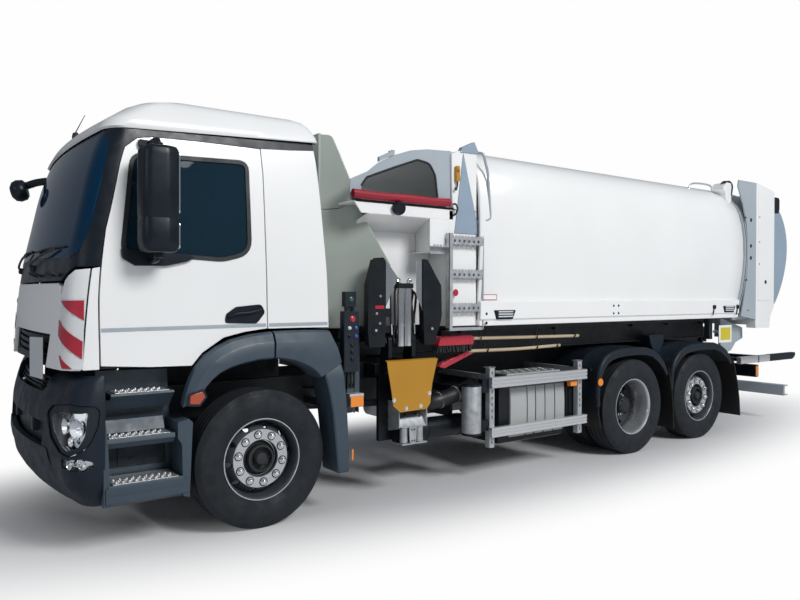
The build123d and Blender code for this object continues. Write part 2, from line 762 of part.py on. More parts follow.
underrun_y = (tail_y - 260, tail_y - 140)
with BuildPart() as rear_underrun:
    # The underrun beam hangs from the frame's tail on two drop brackets.
    block((-1200, 1200), underrun_y, (350, 470))
    for side in (1, -1):
        side_plate([(frame_rear_y - 260, frame_bottom + 150), (frame_rear_y - 260, frame_bottom),
                    (underrun_y[0], 350), (underrun_y[1], 350), (underrun_y[1], 470),
                    (frame_rear_y, frame_bottom + 150)],
                   (side * (rail_x + rail_flange / 2), side * (rail_x + rail_flange / 2 + 20)))
        # Side rails with round ends run under the tailgate.
        block((side * 1170, side * 1230), (tag_axle_y + 830, tail_y), (840, 930))
        for y in (tag_axle_y + 950, tag_axle_y + 1500):
            block((side * (rail_x + rail_flange / 2), side * 1180), (y, y + 60), (860, 910))
pieces["rear_underrun"] = rear_underrun

# ---------------------------------------------------------------- side lifter

carriage_y = (lifter_y - 200, lifter_y + 200)
beam_z = (1040, 1130)
slide_reach = 1060
base_x = (-620, 900)
base_top = beam_z[1] + 10
with BuildPart() as lifter_base:
    # A guide across the frame: a floor on the rails with walls beside the slide.
    block(base_x, (carriage_y[0] - 60, carriage_y[1] + 60), (frame_top, frame_top + 30))
    for low, high in ((carriage_y[0] - 60, carriage_y[0] - moving_gap),
                      (carriage_y[1] + moving_gap, carriage_y[1] + 60)):
        block(base_x, (low, high), (frame_top, base_top))
    block((base_x[0], base_x[0] + 30), (carriage_y[0] - 60, carriage_y[1] + 60),
          (frame_top, base_top))
pieces["lifter_base"] = lifter_base

pivot_pin_radius = 25
ear_spans = ((lifter_y - 140, lifter_y - 100), (lifter_y + 100, lifter_y + 140))
head_y = (lifter_y - 20, lifter_y + 240)
with BuildPart() as lifter_carriage:
    block((base_x[0] + 60, slide_reach), carriage_y, beam_z)
    # Ears at the outer end hold the arm's pin; a plate drops down to the valve head.
    for span in ear_spans:
        block((slide_reach - 20, lifter_pivot_x + 45), span, (beam_z[0], lifter_pivot_z + 40))
    block((slide_reach - 60, slide_reach - 20), (lifter_y - 150, head_y[1]), (480, 1100))
    block((slide_reach - 60, 1200), head_y, (450, 720))
    bar((lifter_pivot_x, ear_spans[0][0], lifter_pivot_z),
        (lifter_pivot_x, ear_spans[1][1], lifter_pivot_z), pivot_pin_radius)
pieces["lifter_carriage"] = lifter_carriage

guard_plate_y = lifter_y + 60
shield_outline = [(-260, 1165), (260, 1165), (180, 800), (130, 740), (-130, 740), (-180, 800)]
with BuildPart() as lifter_shield:
    side_plate([(guard_plate_y + y, z) for y, z in shield_outline], (1232, 1238))
    block((slide_reach, 1232), (guard_plate_y - 40, guard_plate_y + 40), (1060, 1120))
pieces["lifter_shield"] = lifter_shield

tube_radius = 34
tube_x = 1185
tube_ys = (lifter_y - 35, lifter_y + 40)
crossbar_x = (1075, 1150)
crossbar_z = (lifter_pivot_z + 70, lifter_pivot_z + 130)
jaw_x = (1160, 1240)
jaw_pin_radius = 20
jaws = [
    # name, pivot y, +1 where the jaw closes towards the rear
    ("front", lifter_y - 315, 1),
    ("rear", lifter_y + 255, -1),
]
with BuildPart() as lifter_arm:
    # The arm's foot turns on the pivot and carries a crossbar with a pin for each jaw.
    block((1085, 1155), (lifter_y - 90, lifter_y + 90), (lifter_pivot_z - 40, crossbar_z[1]))
    bar((lifter_pivot_x, lifter_y - 90, lifter_pivot_z),
        (lifter_pivot_x, lifter_y + 90, lifter_pivot_z), 50)
    block(crossbar_x, (lifter_y - 370, lifter_y + 310), crossbar_z)
    for _, pivot_y, _ in jaws:
        bar((crossbar_x[1] - 5, pivot_y, jaw_pivot_z), (jaw_x[1] - 10, pivot_y, jaw_pivot_z),
            jaw_pin_radius)
    # Two polished tubes stand in front of the foot under a head.
    for y in tube_ys:
        bar((tube_x, y, lifter_pivot_z - 40), (tube_x, y, 1800), tube_radius)
    block((1100, 1225), (lifter_y - 80, lifter_y + 75), (1760, 1810))
    block((1150, 1180), (lifter_y - 60, lifter_y + 60), crossbar_z)
    bar((lifter_pivot_x, lifter_y - 91, lifter_pivot_z),
        (lifter_pivot_x, lifter_y + 91, lifter_pivot_z), pivot_pin_radius + pin_clearance,
        mode=Mode.SUBTRACT)
pieces["lifter_arm"] = lifter_arm

jaw_outline = [(-60, 1290), (90, 1290), (90, 1900), (30, 2020), (-30, 2020), (-75, 1900),
               (-75, 1420)]
for name, pivot_y, side in jaws:
    with BuildPart() as jaw:
        side_plate([(pivot_y + side * y, z) for y, z in jaw_outline], jaw_x)
        bar((jaw_x[0] - 1, pivot_y, jaw_pivot_z), (jaw_x[1] + 1, pivot_y, jaw_pivot_z),
            jaw_pin_radius + pin_clearance, mode=Mode.SUBTRACT)
    pieces[f"jaw_{name}"] = jaw

# ---------------------------------------------------------------- load body


def body_section(y, inset):
    """The body's cross section: a narrow sill, convex sides, round shoulders, arched roof."""
    half = body_half_width - inset
    shoulder = 320
    low = body_floor_z + inset
    top = body_top - inset
    side_z = body_top - 345
    bulge_z = body_top - 835
    with BuildSketch(Plane.XZ.offset(-y)) as section:
        with BuildLine():
            Line((-half + 45, low), (half - 45, low))
            Line((half - 45, low), (half - 15, 1660))
            ThreePointArc((half - 15, 1660), (half + 15, bulge_z), (half - 20, side_z))
            ThreePointArc((half - 20, side_z), (half - 110, side_z + 210),
                          (half - shoulder, top - 35))
            ThreePointArc((half - shoulder, top - 35), (0, top), (-half + shoulder, top - 35))
            ThreePointArc((-half + shoulder, top - 35), (-half + 110, side_z + 210),
                          (-half + 20, side_z))
            ThreePointArc((-half + 20, side_z), (-half - 15, bulge_z), (-half + 15, 1660))
            Line((-half + 15, 1660), (-half + 45, low))
        make_face()
    return section.sketch


with BuildPart() as body_shell:
    extrude(body_section(body_front_y, 0), amount=-(body_rear_y - body_front_y))
    extrude(body_section(body_front_y - 1, body_wall), amount=-(body_rear_y - body_front_y + 2),
            mode=Mode.SUBTRACT)
    # Sill beams stand proud of the sides over a narrower flange.
    for side in (1, -1):
        block((side * 1215, side * 1250), (body_front_y + 260, body_rear_y - 10), (1490, 1660))
        block((side * 1150, side * 1240), (body_front_y + 260, body_rear_y - 10),
              (body_floor_z, 1490))
pieces["body_shell"] = body_shell

lug_x = (66, 88)
member_half = 900
body_member_ys = (hopper_front_y + 200, body_front_y + 100, body_front_y + 1400,
                  body_front_y + 2700, body_rear_y - 200)
with BuildPart() as body_subframe:
    for side in (1, -1):
        rail_span = (side * rail_x, side * (rail_x + rail_flange))
        block(rail_span, (hopper_front_y + 60, tip_hinge_y + 60), subframe_z)
        # Eyes under the rails turn on the tipping pins.
        side_plate([(tip_hinge_y - 80, subframe_z[1]), (tip_hinge_y + 60, subframe_z[1]),
                    (tip_hinge_y + 60, tip_hinge_z - 60), (tip_hinge_y - 60, tip_hinge_z - 60)],
                   (side * rail_x, side * (rail_x + rail_flange / 2)))
        # Lugs beside the hoist's eye hang from their own crossmember.
        block((side * lug_x[0], side * lug_x[1]), (hoist_lug_y - 70, hoist_lug_y + 70),
              (hoist_lug_z - 60, 1360))
    bar((-rail_x - rail_flange, tip_hinge_y, tip_hinge_z),
        (rail_x + rail_flange, tip_hinge_y, tip_hinge_z), tip_hinge_radius + pin_clearance,
        mode=Mode.SUBTRACT)
    for y in (*body_member_ys, hoist_lug_y):
        block((-member_half, member_half), (y - 40, y + 40), (1350, body_floor_z))
        for side in (1, -1):
            block((side * rail_x, side * (rail_x + rail_flange)), (y - 40, y + 40),
                  (subframe_z[1], 1350))
pieces["body_subframe"] = body_subframe

hopper_plan = [(-hopper_half_width, hopper_front_y), (850, hopper_front_y),
               (hopper_half_width, hopper_front_y + 570), (hopper_half_width, body_front_y),
               (-hopper_half_width, body_front_y)]
shield_x = (hopper_half_width - 50, hopper_half_width - 10)
arch_outline = from_axle([(790, 2475), (790, 2630), (1120, 2830), (1400, 2930), (1610, 2960),
                          (1790, 2960), (1790, 2475)])
arch_opening = from_axle([(900, 2500), (930, 2620), (1300, 2760), (1480, 2800), (1600, 2740),
                          (1640, 2600), (1640, 2500)])
with BuildPart() as hopper:
    floor_plate(hopper_plan, (body_floor_z, hopper_shelf_z + 60))
    block((-hopper_half_width + hopper_wall, 860),
          (hopper_front_y + hopper_wall, body_front_y + 10),
          (body_floor_z + 120, hopper_shelf_z + 100), mode=Mode.SUBTRACT)
    recess = from_axle([(890, 2410), (1100, 2090), (840, 2090), (840, 1300), (1740, 1300),
                        (1740, 2410)])
    side_plate(recess, (900, 1300), mode=Mode.SUBTRACT)
    # Panels beside the ladder stand as high as the load body.
    for side in (1, -1):
        block((side * (hopper_half_width - hopper_wall), side * hopper_half_width),
              (front_axle_y + 1795, body_front_y), (hopper_shelf_z + 55, body_top - 45))
    # The far side wall and the front wall stand higher than the shelf.
    block((-hopper_half_width, -hopper_half_width + hopper_wall),
          (hopper_front_y, body_front_y), (hopper_shelf_z + 55, body_top - 135))
    front_plate([(-hopper_half_width, hopper_shelf_z + 55),
                 (-hopper_half_width, body_top - 135),
                 (-hopper_half_width + 190, body_top - 45), (850, body_top - 45),
                 (850, hopper_shelf_z + 55)],
                (hopper_front_y, hopper_front_y + hopper_wall))
    # An arched guard stands on the shelf behind the curtain.
    side_plate(arch_outline, shield_x)
    side_plate(arch_opening, (shield_x[0] - 5, shield_x[1] + 5), mode=Mode.SUBTRACT)
pieces["hopper"] = hopper

with BuildPart() as hopper_curtain:
    block((shield_x[1] + 1, shield_x[1] + 50), (front_axle_y + 790, front_axle_y + 1760),
          (hopper_shelf_z + 70, hopper_shelf_z + 160))
pieces["hopper_curtain"] = hopper_curtain

ladder_ys = (front_axle_y + 1690, front_axle_y + 2050)
rung_z = (1480, 1720, 1960, 2200)
ladder_x = hopper_half_width + 10
with BuildPart() as ladder:
    for y in ladder_ys:
        block((ladder_x, ladder_x + 50), (y - 12, y + 12), (1380, 2240))
    for z in rung_z:
        block((ladder_x + 5, ladder_x + 49), ladder_ys, (z - 15, z + 15))
pieces["ladder"] = ladder

# ---------------------------------------------------------------- tailgate

gate_front_y = body_rear_y + gap
gate_frame_y = gate_front_y + 410
gate_rear_y = gate_frame_y + 470
with BuildPart() as tailgate:
    extrude(body_section(gate_front_y, 0), amount=-(gate_frame_y - gate_front_y))
    extrude(body_section(gate_front_y - 1, 40), amount=-(gate_frame_y - gate_front_y + 2),
            mode=Mode.SUBTRACT)
    for side in (1, -1):
        block((side * 1130, side * 1250), (gate_frame_y, gate_rear_y), (1330, body_top - 75))
    for x in both_sides(600):
        block((x - 30, x + 30), (gate_front_y + 20, gate_front_y + 100),
              (body_top - 25, body_top + 65))
pieces["tailgate"] = tailgate

bell_wall = 25
bell_outline = [(gate_frame_y, 1400), (gate_frame_y, body_top - 85),
                (gate_rear_y, body_top - 95), (tail_y - 160, body_top - 335), (tail_y - 60, 2350), (tail_y - 120, 1950),
                (tail_y - 400, 1600), (gate_rear_y, 1420)]
with BuildPart() as tailgate_bell:
    side_plate(bell_outline, (-1129, 1129))
    with BuildSketch(Plane.YZ.offset(-1129 + bell_wall)) as bell_space:
        with BuildLine():
            Polyline(*bell_outline, close=True)
        make_face()
        offset(amount=-bell_wall, kind=Kind.INTERSECTION)
    extrude(bell_space.sketch, amount=2 * (1129 - bell_wall), mode=Mode.SUBTRACT)
    block((-1080, 1080), (gate_frame_y - 1, gate_frame_y + bell_wall + 1),
          (1460, body_top - 135), mode=Mode.SUBTRACT)
pieces["tailgate_bell"] = tailgate_bell

# ---------------------------------------------------------------- hoist

hoist_run = Vector(0, hoist_lug_y - hoist_base_y, hoist_lug_z - hoist_base_z)
hoist_axis = hoist_run.normalized()
barrel_radius = 85
rod_radius = 45
barrel_length = 1390


def along_hoist(distance):
    """A point on the hoist's line, at a distance from its lower pin."""
    point = Vector(0, hoist_base_y, hoist_base_z) + hoist_axis * distance
    return (point.X, point.Y, point.Z)


with BuildPart() as hoist_barrel:
    bar(along_hoist(100), along_hoist(barrel_length), barrel_radius)
    bar(along_hoist(110), along_hoist(barrel_length + 10), rod_radius + 6, mode=Mode.SUBTRACT)
    bar(along_hoist(0), along_hoist(110), 50)
    bar((-140, hoist_base_y, hoist_base_z), (140, hoist_base_y, hoist_base_z), hoist_pin_radius)
pieces["hoist_barrel"] = hoist_barrel

with BuildPart() as hoist_rod:
    bar(along_hoist(160), along_hoist(hoist_run.length), rod_radius)
    bar((-60, hoist_lug_y, hoist_lug_z), (60, hoist_lug_y, hoist_lug_z), 60)
    bar((-70, hoist_lug_y, hoist_lug_z), (70, hoist_lug_y, hoist_lug_z), 26,
        mode=Mode.SUBTRACT)
pieces["hoist_rod"] = hoist_rod

# ---------------------------------------------------------------- files

os.makedirs("parts", exist_ok=True)
for name, piece in pieces.items():
    piece.part.label = name
    export_step(piece.part, f"parts/{name}.step")
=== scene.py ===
# %% [markdown]
# # A side-loading refuse truck
# This lesson dresses a finished mechanical frame as a refuse truck with three axles. The frame
# comes in first and never moves: every panel, lamp and hose below rides on one of its bodies,
# so the cab can tilt, the doors can open and the load body can tip without a piece being left
# behind.

# %% Load the frame
import math
import random

import bmesh
import bpy
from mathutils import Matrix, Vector
from mathutils.geometry import delaunay_2d_cdt


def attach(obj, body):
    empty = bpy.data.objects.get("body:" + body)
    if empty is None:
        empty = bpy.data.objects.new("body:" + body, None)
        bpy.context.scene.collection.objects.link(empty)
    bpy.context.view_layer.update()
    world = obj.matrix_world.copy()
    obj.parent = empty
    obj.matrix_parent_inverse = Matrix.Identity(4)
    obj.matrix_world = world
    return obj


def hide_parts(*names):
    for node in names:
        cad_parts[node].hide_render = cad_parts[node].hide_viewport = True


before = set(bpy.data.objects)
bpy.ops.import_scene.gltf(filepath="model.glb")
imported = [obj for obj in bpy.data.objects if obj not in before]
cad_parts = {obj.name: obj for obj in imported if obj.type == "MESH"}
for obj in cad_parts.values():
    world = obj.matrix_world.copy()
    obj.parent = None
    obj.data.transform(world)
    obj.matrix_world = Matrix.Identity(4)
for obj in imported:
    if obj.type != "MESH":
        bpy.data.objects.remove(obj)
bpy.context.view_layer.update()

# %% [markdown]
# A truck is measured from its front axle, so that is how the places below are written: each y
# counts back from the front wheels. One value shifts them all into the frame.

# %% Where the truck's main lines are
FRONT = -3.225
DRIVE = FRONT + 4.300
TAG = DRIVE + 1.350
TAIL = TAG + 2.250
WHEEL_RADIUS = 0.507


def aft(points, axle=FRONT):
    """(y, z) points, with y from an axle, moved into the frame."""
    return [(axle + y, z) for y, z in points]


def behind(*values):
    """Distances behind the front axle, moved into the frame."""
    return tuple(FRONT + value for value in values)


def placed(points):
    """(x, y, z) points, with y from the front axle, moved into the frame."""
    return [(x, FRONT + y, z) for x, y, z in points]


print("front axle", FRONT, "drive axle", DRIVE, "trailing axle", TAG)

# %% [markdown]
# The camera stands beside the cab at a grown person's eye height, turned a little behind square
# so that both the nose and the whole left side show. The lens is set before anything is built,
# so that every later piece can be judged through it.

# %% Camera
def in_scene(name, data):
    """A new object in the scene that shows the given data."""
    thing = bpy.data.objects.new(name, data)
    bpy.context.scene.collection.objects.link(thing)
    return thing


camera_data = bpy.data.cameras.new("view")
camera_data.sensor_width = 36.0
camera_data.lens = 31.73
camera_data.clip_end = 200.0
camera = in_scene("view", camera_data)
camera.location = (5.934, FRONT - 2.189, 1.722)
camera.rotation_euler = (math.radians(90.0 - 0.537), math.radians(-0.16), math.radians(54.314))
bpy.context.scene.camera = camera
print("lens", camera_data.lens, "mm")

# %% [markdown]
# ## Finishes
# Real paint is never one flat colour. Dust, polish and the roll of the sheet shift its tone a
# little, and the gloss breaks up with it. One function builds that for every finish: a wide
# noise moves the colour, a fine noise moves the roughness, and a third gives a small bump.
# Numbers that stay the same all over the surface go straight onto the shader's own sockets.

# %% A finish from noise
def shader_node(tree, kind, inputs, **settings):
    """A shader node; each input gets a value or, from another node's socket, a link."""
    node = tree.nodes.new("ShaderNode" + kind)
    for name, value in settings.items():
        setattr(node, name, value)
    for name, value in inputs.items():
        if isinstance(value, bpy.types.NodeSocket):
            tree.links.new(value, node.inputs[name])
        else:
            node.inputs[name].default_value = value
    return node


def noise(tree, place, scale, stretch=None):
    """A noise pattern in the object's own metres."""
    if stretch:
        place = shader_node(tree, "Mapping", {"Scale": stretch, "Vector": place}).outputs["Vector"]
    node = shader_node(tree, "TexNoise", {"Scale": scale, "Detail": 3.0, "Vector": place})
    return node.outputs["Fac"]


def spread(tree, value, low, high):
    """Maps a pattern's middle range onto low to high."""
    return shader_node(tree, "MapRange", {"From Min": 0.3, "From Max": 0.7, "To Min": low,
                                          "To Max": high, "Value": value}).outputs["Result"]


def mix(tree, factor, first, second):
    """A colour between two others."""
    factor_input, first_input, second_input, colour_output = 0, 6, 7, 2
    node = shader_node(tree, "Mix", {factor_input: factor, first_input: (*first, 1.0),
                                     second_input: (*second, 1.0)}, data_type="RGBA")
    return node.outputs[colour_output]


def finish(name, colour, rough=0.5, metal=0.0, coat=0.0, blotch=0.08, blotch_scale=1.5,
           grain=0.0, grain_scale=400.0, stretch=None, sheen=0.2, **sockets):
    """A Principled material whose colour, gloss and bump all vary a little."""
    material = bpy.data.materials.new(name)
    material.use_nodes = True
    tree = material.node_tree
    shader = tree.nodes["Principled BSDF"]
    place = tree.nodes.new("ShaderNodeTexCoord").outputs["Object"]
    wide = noise(tree, place, blotch_scale, stretch)
    dark = tuple(c * (1.0 - blotch) for c in colour)
    pale = tuple(min(1.0, c * (1.0 + blotch)) for c in colour)
    tone = mix(tree, spread(tree, wide, 0.0, 1.0), dark, pale)
    tree.links.new(tone, shader.inputs["Base Color"])
    fine = noise(tree, place, 12.0, stretch)
    gloss = spread(tree, fine, rough * (1.0 - sheen), min(1.0, rough * (1.0 + sheen)))
    tree.links.new(gloss, shader.inputs["Roughness"])
    shader.inputs["Metallic"].default_value = metal
    shader.inputs["Coat Weight"].default_value = coat
    shader.inputs["Coat Roughness"].default_value = 0.06
    for socket, value in sockets.items():
        shader.inputs[socket.replace("_", " ")].default_value = value
    if grain:
        bump = shader_node(tree, "Bump", {"Strength": grain, "Distance": 0.001,
                                          "Height": noise(tree, place, grain_scale, stretch)})
        tree.links.new(bump.outputs["Normal"], shader.inputs["Normal"])
    return material


print("finish maker ready")

# %% [markdown]
# The same function gives every paint, plastic and metal on the truck. Brushed and drawn metals
# stretch their noise along the metal, moulded plastic has a leather-like grain, and glass lets
# the light through.

# %% The truck's finishes
WHITE = finish("white_paint", (0.875, 0.880, 0.875), rough=0.3, coat=0.4, blotch=0.015, sheen=0.05)
SLATE = finish("slate_plastic", (0.040, 0.062, 0.084), rough=0.45, blotch=0.1, grain=0.25)
# Black plastic, its colour set darker than the plastic itself as painted shade for low parts out of
# the light.
DARK_PAINTED_SHADE = finish("dark_plastic", (0.008, 0.014, 0.022), rough=0.5, blotch=0.15, grain=0.25,
              Specular_IOR_Level=0.35)
BLACK = finish("black_gloss", (0.005, 0.009, 0.016), rough=0.36, blotch=0.15,
               Specular_IOR_Level=0.3)
BUMPER = finish("bumper_plastic", (0.006, 0.013, 0.024), rough=0.5, blotch=0.12, grain=0.2,
                Specular_IOR_Level=0.3)
SEAL = finish("rubber_seal", (0.015, 0.016, 0.018), rough=0.55, blotch=0.2, grain=0.2)
STEEL = finish("chassis_paint", (0.013, 0.017, 0.022), rough=0.5, blotch=0.3, grain=0.3,
               grain_scale=90.0)
BLACK_STEEL = finish("black_steel", (0.004, 0.006, 0.009), rough=0.38, blotch=0.25,
                     Specular_IOR_Level=0.35)
CAST = finish("cast_iron", (0.030, 0.032, 0.036), rough=0.65, metal=0.3, blotch=0.3, grain=0.6,
              grain_scale=120.0)
# Painted shade: the rims' barrel and disc, darker than the bright silver of their edges.
RIM_PAINTED_SHADE = finish("shaded_rim", (0.085, 0.098, 0.112), rough=0.5, metal=0.5, blotch=0.15)
SILVER = finish("wheel_silver", (0.62, 0.64, 0.66), rough=0.3, metal=0.75, blotch=0.08,
                grain=0.05)
CHROME = finish("polished_steel", (0.80, 0.81, 0.82), rough=0.12, metal=1.0, blotch=0.05)
ALUMINIUM = finish("brushed_aluminium", (0.72, 0.73, 0.74), rough=0.35, metal=0.8, blotch=0.06,
                   stretch=(1.0, 0.05, 1.0), grain=0.15)
GALVANISED = finish("galvanised_steel", (0.48, 0.50, 0.52), rough=0.45, metal=0.6, blotch=0.18,
                    blotch_scale=18.0)
GREEN_GREY = finish("tower_paint", (0.37, 0.41, 0.37), rough=0.35, coat=0.3, blotch=0.08)
LIGHT_GREY = finish("frame_grey_paint", (0.38, 0.43, 0.47), rough=0.35, coat=0.3, blotch=0.05)
BELL_GREY = finish("bell_paint", (0.29, 0.37, 0.46), rough=0.35, coat=0.3, blotch=0.05)
YELLOW = finish("yellow_paint", (0.46, 0.22, 0.008), rough=0.4, coat=0.2, blotch=0.08)
RED = finish("red_paint", (0.42, 0.02, 0.04), rough=0.3, coat=0.3, blotch=0.1)
CURTAIN = finish("red_coated_cloth", (0.33, 0.010, 0.028), rough=0.45, blotch=0.15, grain=0.5,
                 grain_scale=260.0)
MARKER = finish("marker_lens", (0.36, 0.045, 0.012), rough=0.15, coat=0.5, blotch=0.15)
AMBER = finish("amber_lens", (0.85, 0.25, 0.01), rough=0.15, coat=0.6, blotch=0.1)
BEIGE = finish("wooden_poles", (0.50, 0.40, 0.27), rough=0.6, blotch=0.15,
               stretch=(1.0, 0.05, 1.0), blotch_scale=30.0)
TRIM = finish("cab_trim", (0.05, 0.05, 0.055), rough=0.7, blotch=0.1, grain=0.3)
CLOTH = finish("seat_cloth", (0.035, 0.037, 0.045), rough=0.9, blotch=0.2, grain=0.6,
               grain_scale=700.0, Sheen_Weight=0.4)
HOSE = finish("hose_rubber", (0.012, 0.012, 0.013), rough=0.45, blotch=0.2)
BOX_GREY = finish("box_grey_plastic", (0.40, 0.41, 0.41), rough=0.5, blotch=0.06, grain=0.1)
GLASS = finish("tinted_glass", (0.020, 0.055, 0.085), rough=0.03, blotch=0.03,
               Transmission_Weight=0.55, IOR=1.15)
# Windscreen glass whose deep blue colour and blue-tinted reflections are painted sky reflection.
SCREEN_PAINTED_SKY = finish("windscreen_glass", (0.006, 0.045, 0.105), rough=0.03, blotch=0.05,
                Transmission_Weight=0.35, IOR=1.2, Specular_Tint=(0.20, 0.48, 1.0, 1.0))
LENS = finish("clear_lens", (0.92, 0.95, 0.97), rough=0.03, blotch=0.02,
              Transmission_Weight=1.0, IOR=1.2)
MIRROR = finish("mirror_glass", (0.80, 0.83, 0.85), rough=0.04, metal=1.0, blotch=0.02)
RUBBER = finish("tyre_rubber", (0.007, 0.010, 0.014), rough=0.75, blotch=0.25,
                blotch_scale=6.0, grain=0.5, grain_scale=220.0)
print("finishes", len(bpy.data.materials))

# %% [markdown]
# ## Shapes
# Most of a truck is folded plate, turned rings and bent tube. A few small makers cover them:
# a slab between two corners, a plate cut to an outline, a turned ring, a straight bar and a bent
# pipe. Each adds to a bmesh, so many like parts can share one object.

# %% Plates, rings and tubes
def slab(bm, x_span, y_span, z_span):
    """A box between two corners."""
    spans = [sorted(span) for span in (x_span, y_span, z_span)]
    corners = [bm.verts.new((spans[0][i], spans[1][j], spans[2][k]))
               for i in (0, 1) for j in (0, 1) for k in (0, 1)]
    for face in ((0, 1, 3, 2), (4, 6, 7, 5), (0, 4, 5, 1), (2, 3, 7, 6), (0, 2, 6, 4),
                 (1, 5, 7, 3)):
        bm.faces.new([corners[i] for i in face])


def plate(bm, outlines):
    """A closed plate between two equal outlines of (x, y, z) points."""
    first, second = [[bm.verts.new(p) for p in outline] for outline in outlines]
    bm.faces.new(first)
    bm.faces.new(second[::-1])
    for i in range(len(first)):
        j = (i + 1) % len(first)
        bm.faces.new((first[i], second[i], second[j], first[j]))


def prism(bm, outline, low, high, axis="x"):
    """An outline pushed from low to high along an axis: (y, z), (x, z) or (x, y) points."""
    place = {"x": lambda u, v, w: (w, u, v), "y": lambda u, v, w: (u, w, v),
             "z": lambda u, v, w: (u, v, w)}[axis]
    plate(bm, [[place(u, v, w) for u, v in outline] for w in (low, high)])


def joined(bm, rings, closed=True):
    """Joins equal rings of vertices in order; closed also joins each ring's last to its first."""
    for ring, following in zip(rings, rings[1:]):
        for i in range(len(ring) if closed else len(ring) - 1):
            j = (i + 1) % len(ring)
            bm.faces.new((ring[i], ring[j], following[j], following[i]))


def swept(bm, stations):
    """Joins equal rings of (x, y, z) points in order and caps the two ends."""
    rings = [[bm.verts.new(p) for p in ring] for ring in stations]
    joined(bm, rings)
    bm.faces.new(rings[0][::-1])
    bm.faces.new(rings[-1])


def turned(bm, section, centre, axis=(1, 0, 0), sides=48, closed=True):
    """(distance, radius) points turned about an axis line; closed joins the last to the first."""
    frame_axis = Vector(axis).normalized()
    first = frame_axis.orthogonal().normalized()
    second = frame_axis.cross(first)
    rings = []
    for distance, radius in section:
        middle = Vector(centre) + frame_axis * distance
        if radius < 1e-6:
            rings.append([bm.verts.new(middle)])
            continue
        rings.append([bm.verts.new(middle + radius * (first * math.cos(a) + second * math.sin(a)))
                      for a in (math.tau * i / sides for i in range(sides))])
    pairs = list(zip(rings, rings[1:] + rings[:1])) if closed else list(zip(rings, rings[1:]))
    for ring, following in pairs:
        for i in range(sides):
            j = (i + 1) % sides
            corners = []
            for vertex in (ring[i % len(ring)], ring[j % len(ring)],
                           following[j % len(following)], following[i % len(following)]):
                if vertex not in corners:
                    corners.append(vertex)
            if len(corners) > 2:
                bm.faces.new(corners)


def bar(bm, start, end, radius, sides=20, end_radius=None):
    """A round bar between two points."""
    run = Vector(end) - Vector(start)
    last = radius if end_radius is None else end_radius
    turned(bm, [(0, 0), (0, radius), (run.length, last), (run.length, 0)], start, run, sides,
           closed=False)


def peg(bm, x_span, y, z, radius, sides=20):
    """A round bar across the truck, from one x to another."""
    bar(bm, (x_span[0], y, z), (x_span[1], y, z), radius, sides)


def smooth_path(points, steps=6):
    """A curve through points, by Catmull and Rom's rule."""
    path = [Vector(p) for p in points]
    ends = [path[0] * 2 - path[1]] + path + [path[-1] * 2 - path[-2]]
    curve = []
    for a, b, c, d in zip(ends, ends[1:], ends[2:], ends[3:]):
        for i in range(steps):
            t = i / steps
            curve.append(0.5 * ((2 * b) + (c - a) * t + (2 * a - 5 * b + 4 * c - d) * t * t
                                + (3 * b - a - 3 * c + d) * t ** 3))
    return curve + [path[-1]]


def pipe(bm, points, radius, sides=12, steps=6, ribs=0.0):
    """A bent pipe through points; ribs makes every other ring that much wider."""
    path = smooth_path(points, steps)
    heading = (path[1] - path[0]).normalized()
    across = heading.orthogonal().normalized()
    rings = []
    for i, point in enumerate(path):
        ahead = (path[min(i + 1, len(path) - 1)] - path[max(i - 1, 0)]).normalized()
        across = (across - ahead * across.dot(ahead)).normalized()
        upward = ahead.cross(across)
        wide = radius + (ribs if i % 2 else 0.0)
        rings.append([point + wide * (across * math.cos(a) + upward * math.sin(a))
                      for a in (math.tau * k / sides for k in range(sides))])
    swept(bm, rings)


def rectangle(across, up, across_first=False):
    """The outline between two across values and two heights, drawn upwards or across first."""
    corners = [(across[0], up[0]), (across[0], up[1]), (across[1], up[1]), (across[1], up[0])]
    return corners[:1] + corners[:0:-1] if across_first else corners


def rounded(points, radius, steps=5):
    """An outline with its corners rounded; radius is one number or one for each corner."""
    count = len(points)
    radii = [radius] * count if isinstance(radius, (int, float)) else radius
    result = []
    for i in range(count):
        corner = Vector(points[i])
        before = Vector(points[i - 1]) - corner
        after = Vector(points[(i + 1) % count]) - corner
        if radii[i] <= 0:
            result.append(tuple(corner))
            continue
        reach = min(radii[i] / max(math.tan(before.angle(after) / 2), 1e-3),
                    0.48 * before.length, 0.48 * after.length)
        start = corner + before.normalized() * reach
        end = corner + after.normalized() * reach
        for k in range(steps + 1):
            t = k / steps
            result.append(tuple(start * (1 - t) ** 2 + corner * (2 * t * (1 - t)) + end * t * t))
    return result


print("shape makers ready")

# %% [markdown]
# A part on the truck's left often has a twin on its right. Mirroring the finished faces keeps
# both sides the same. The last helper turns a bmesh into an object: it gives the piece its
# finish, softens its edges with a small bevel, and says which body it rides on.

# %% Twin sides and finished pieces
def twin(bm):
    """Adds the mirror image of everything across the truck's middle plane."""
    copy = bmesh.ops.duplicate(bm, geom=bm.verts[:] + bm.edges[:] + bm.faces[:])["geom"]
    for vertex in (g for g in copy if isinstance(g, bmesh.types.BMVert)):
        vertex.co.x = -vertex.co.x
    bmesh.ops.reverse_faces(bm, faces=[g for g in copy if isinstance(g, bmesh.types.BMFace)])


def mesh_of(name, bm):
    """A mesh made from a bmesh, which is freed."""
    mesh = bpy.data.meshes.new(name)
    bm.to_mesh(mesh)
    bm.free()
    return mesh


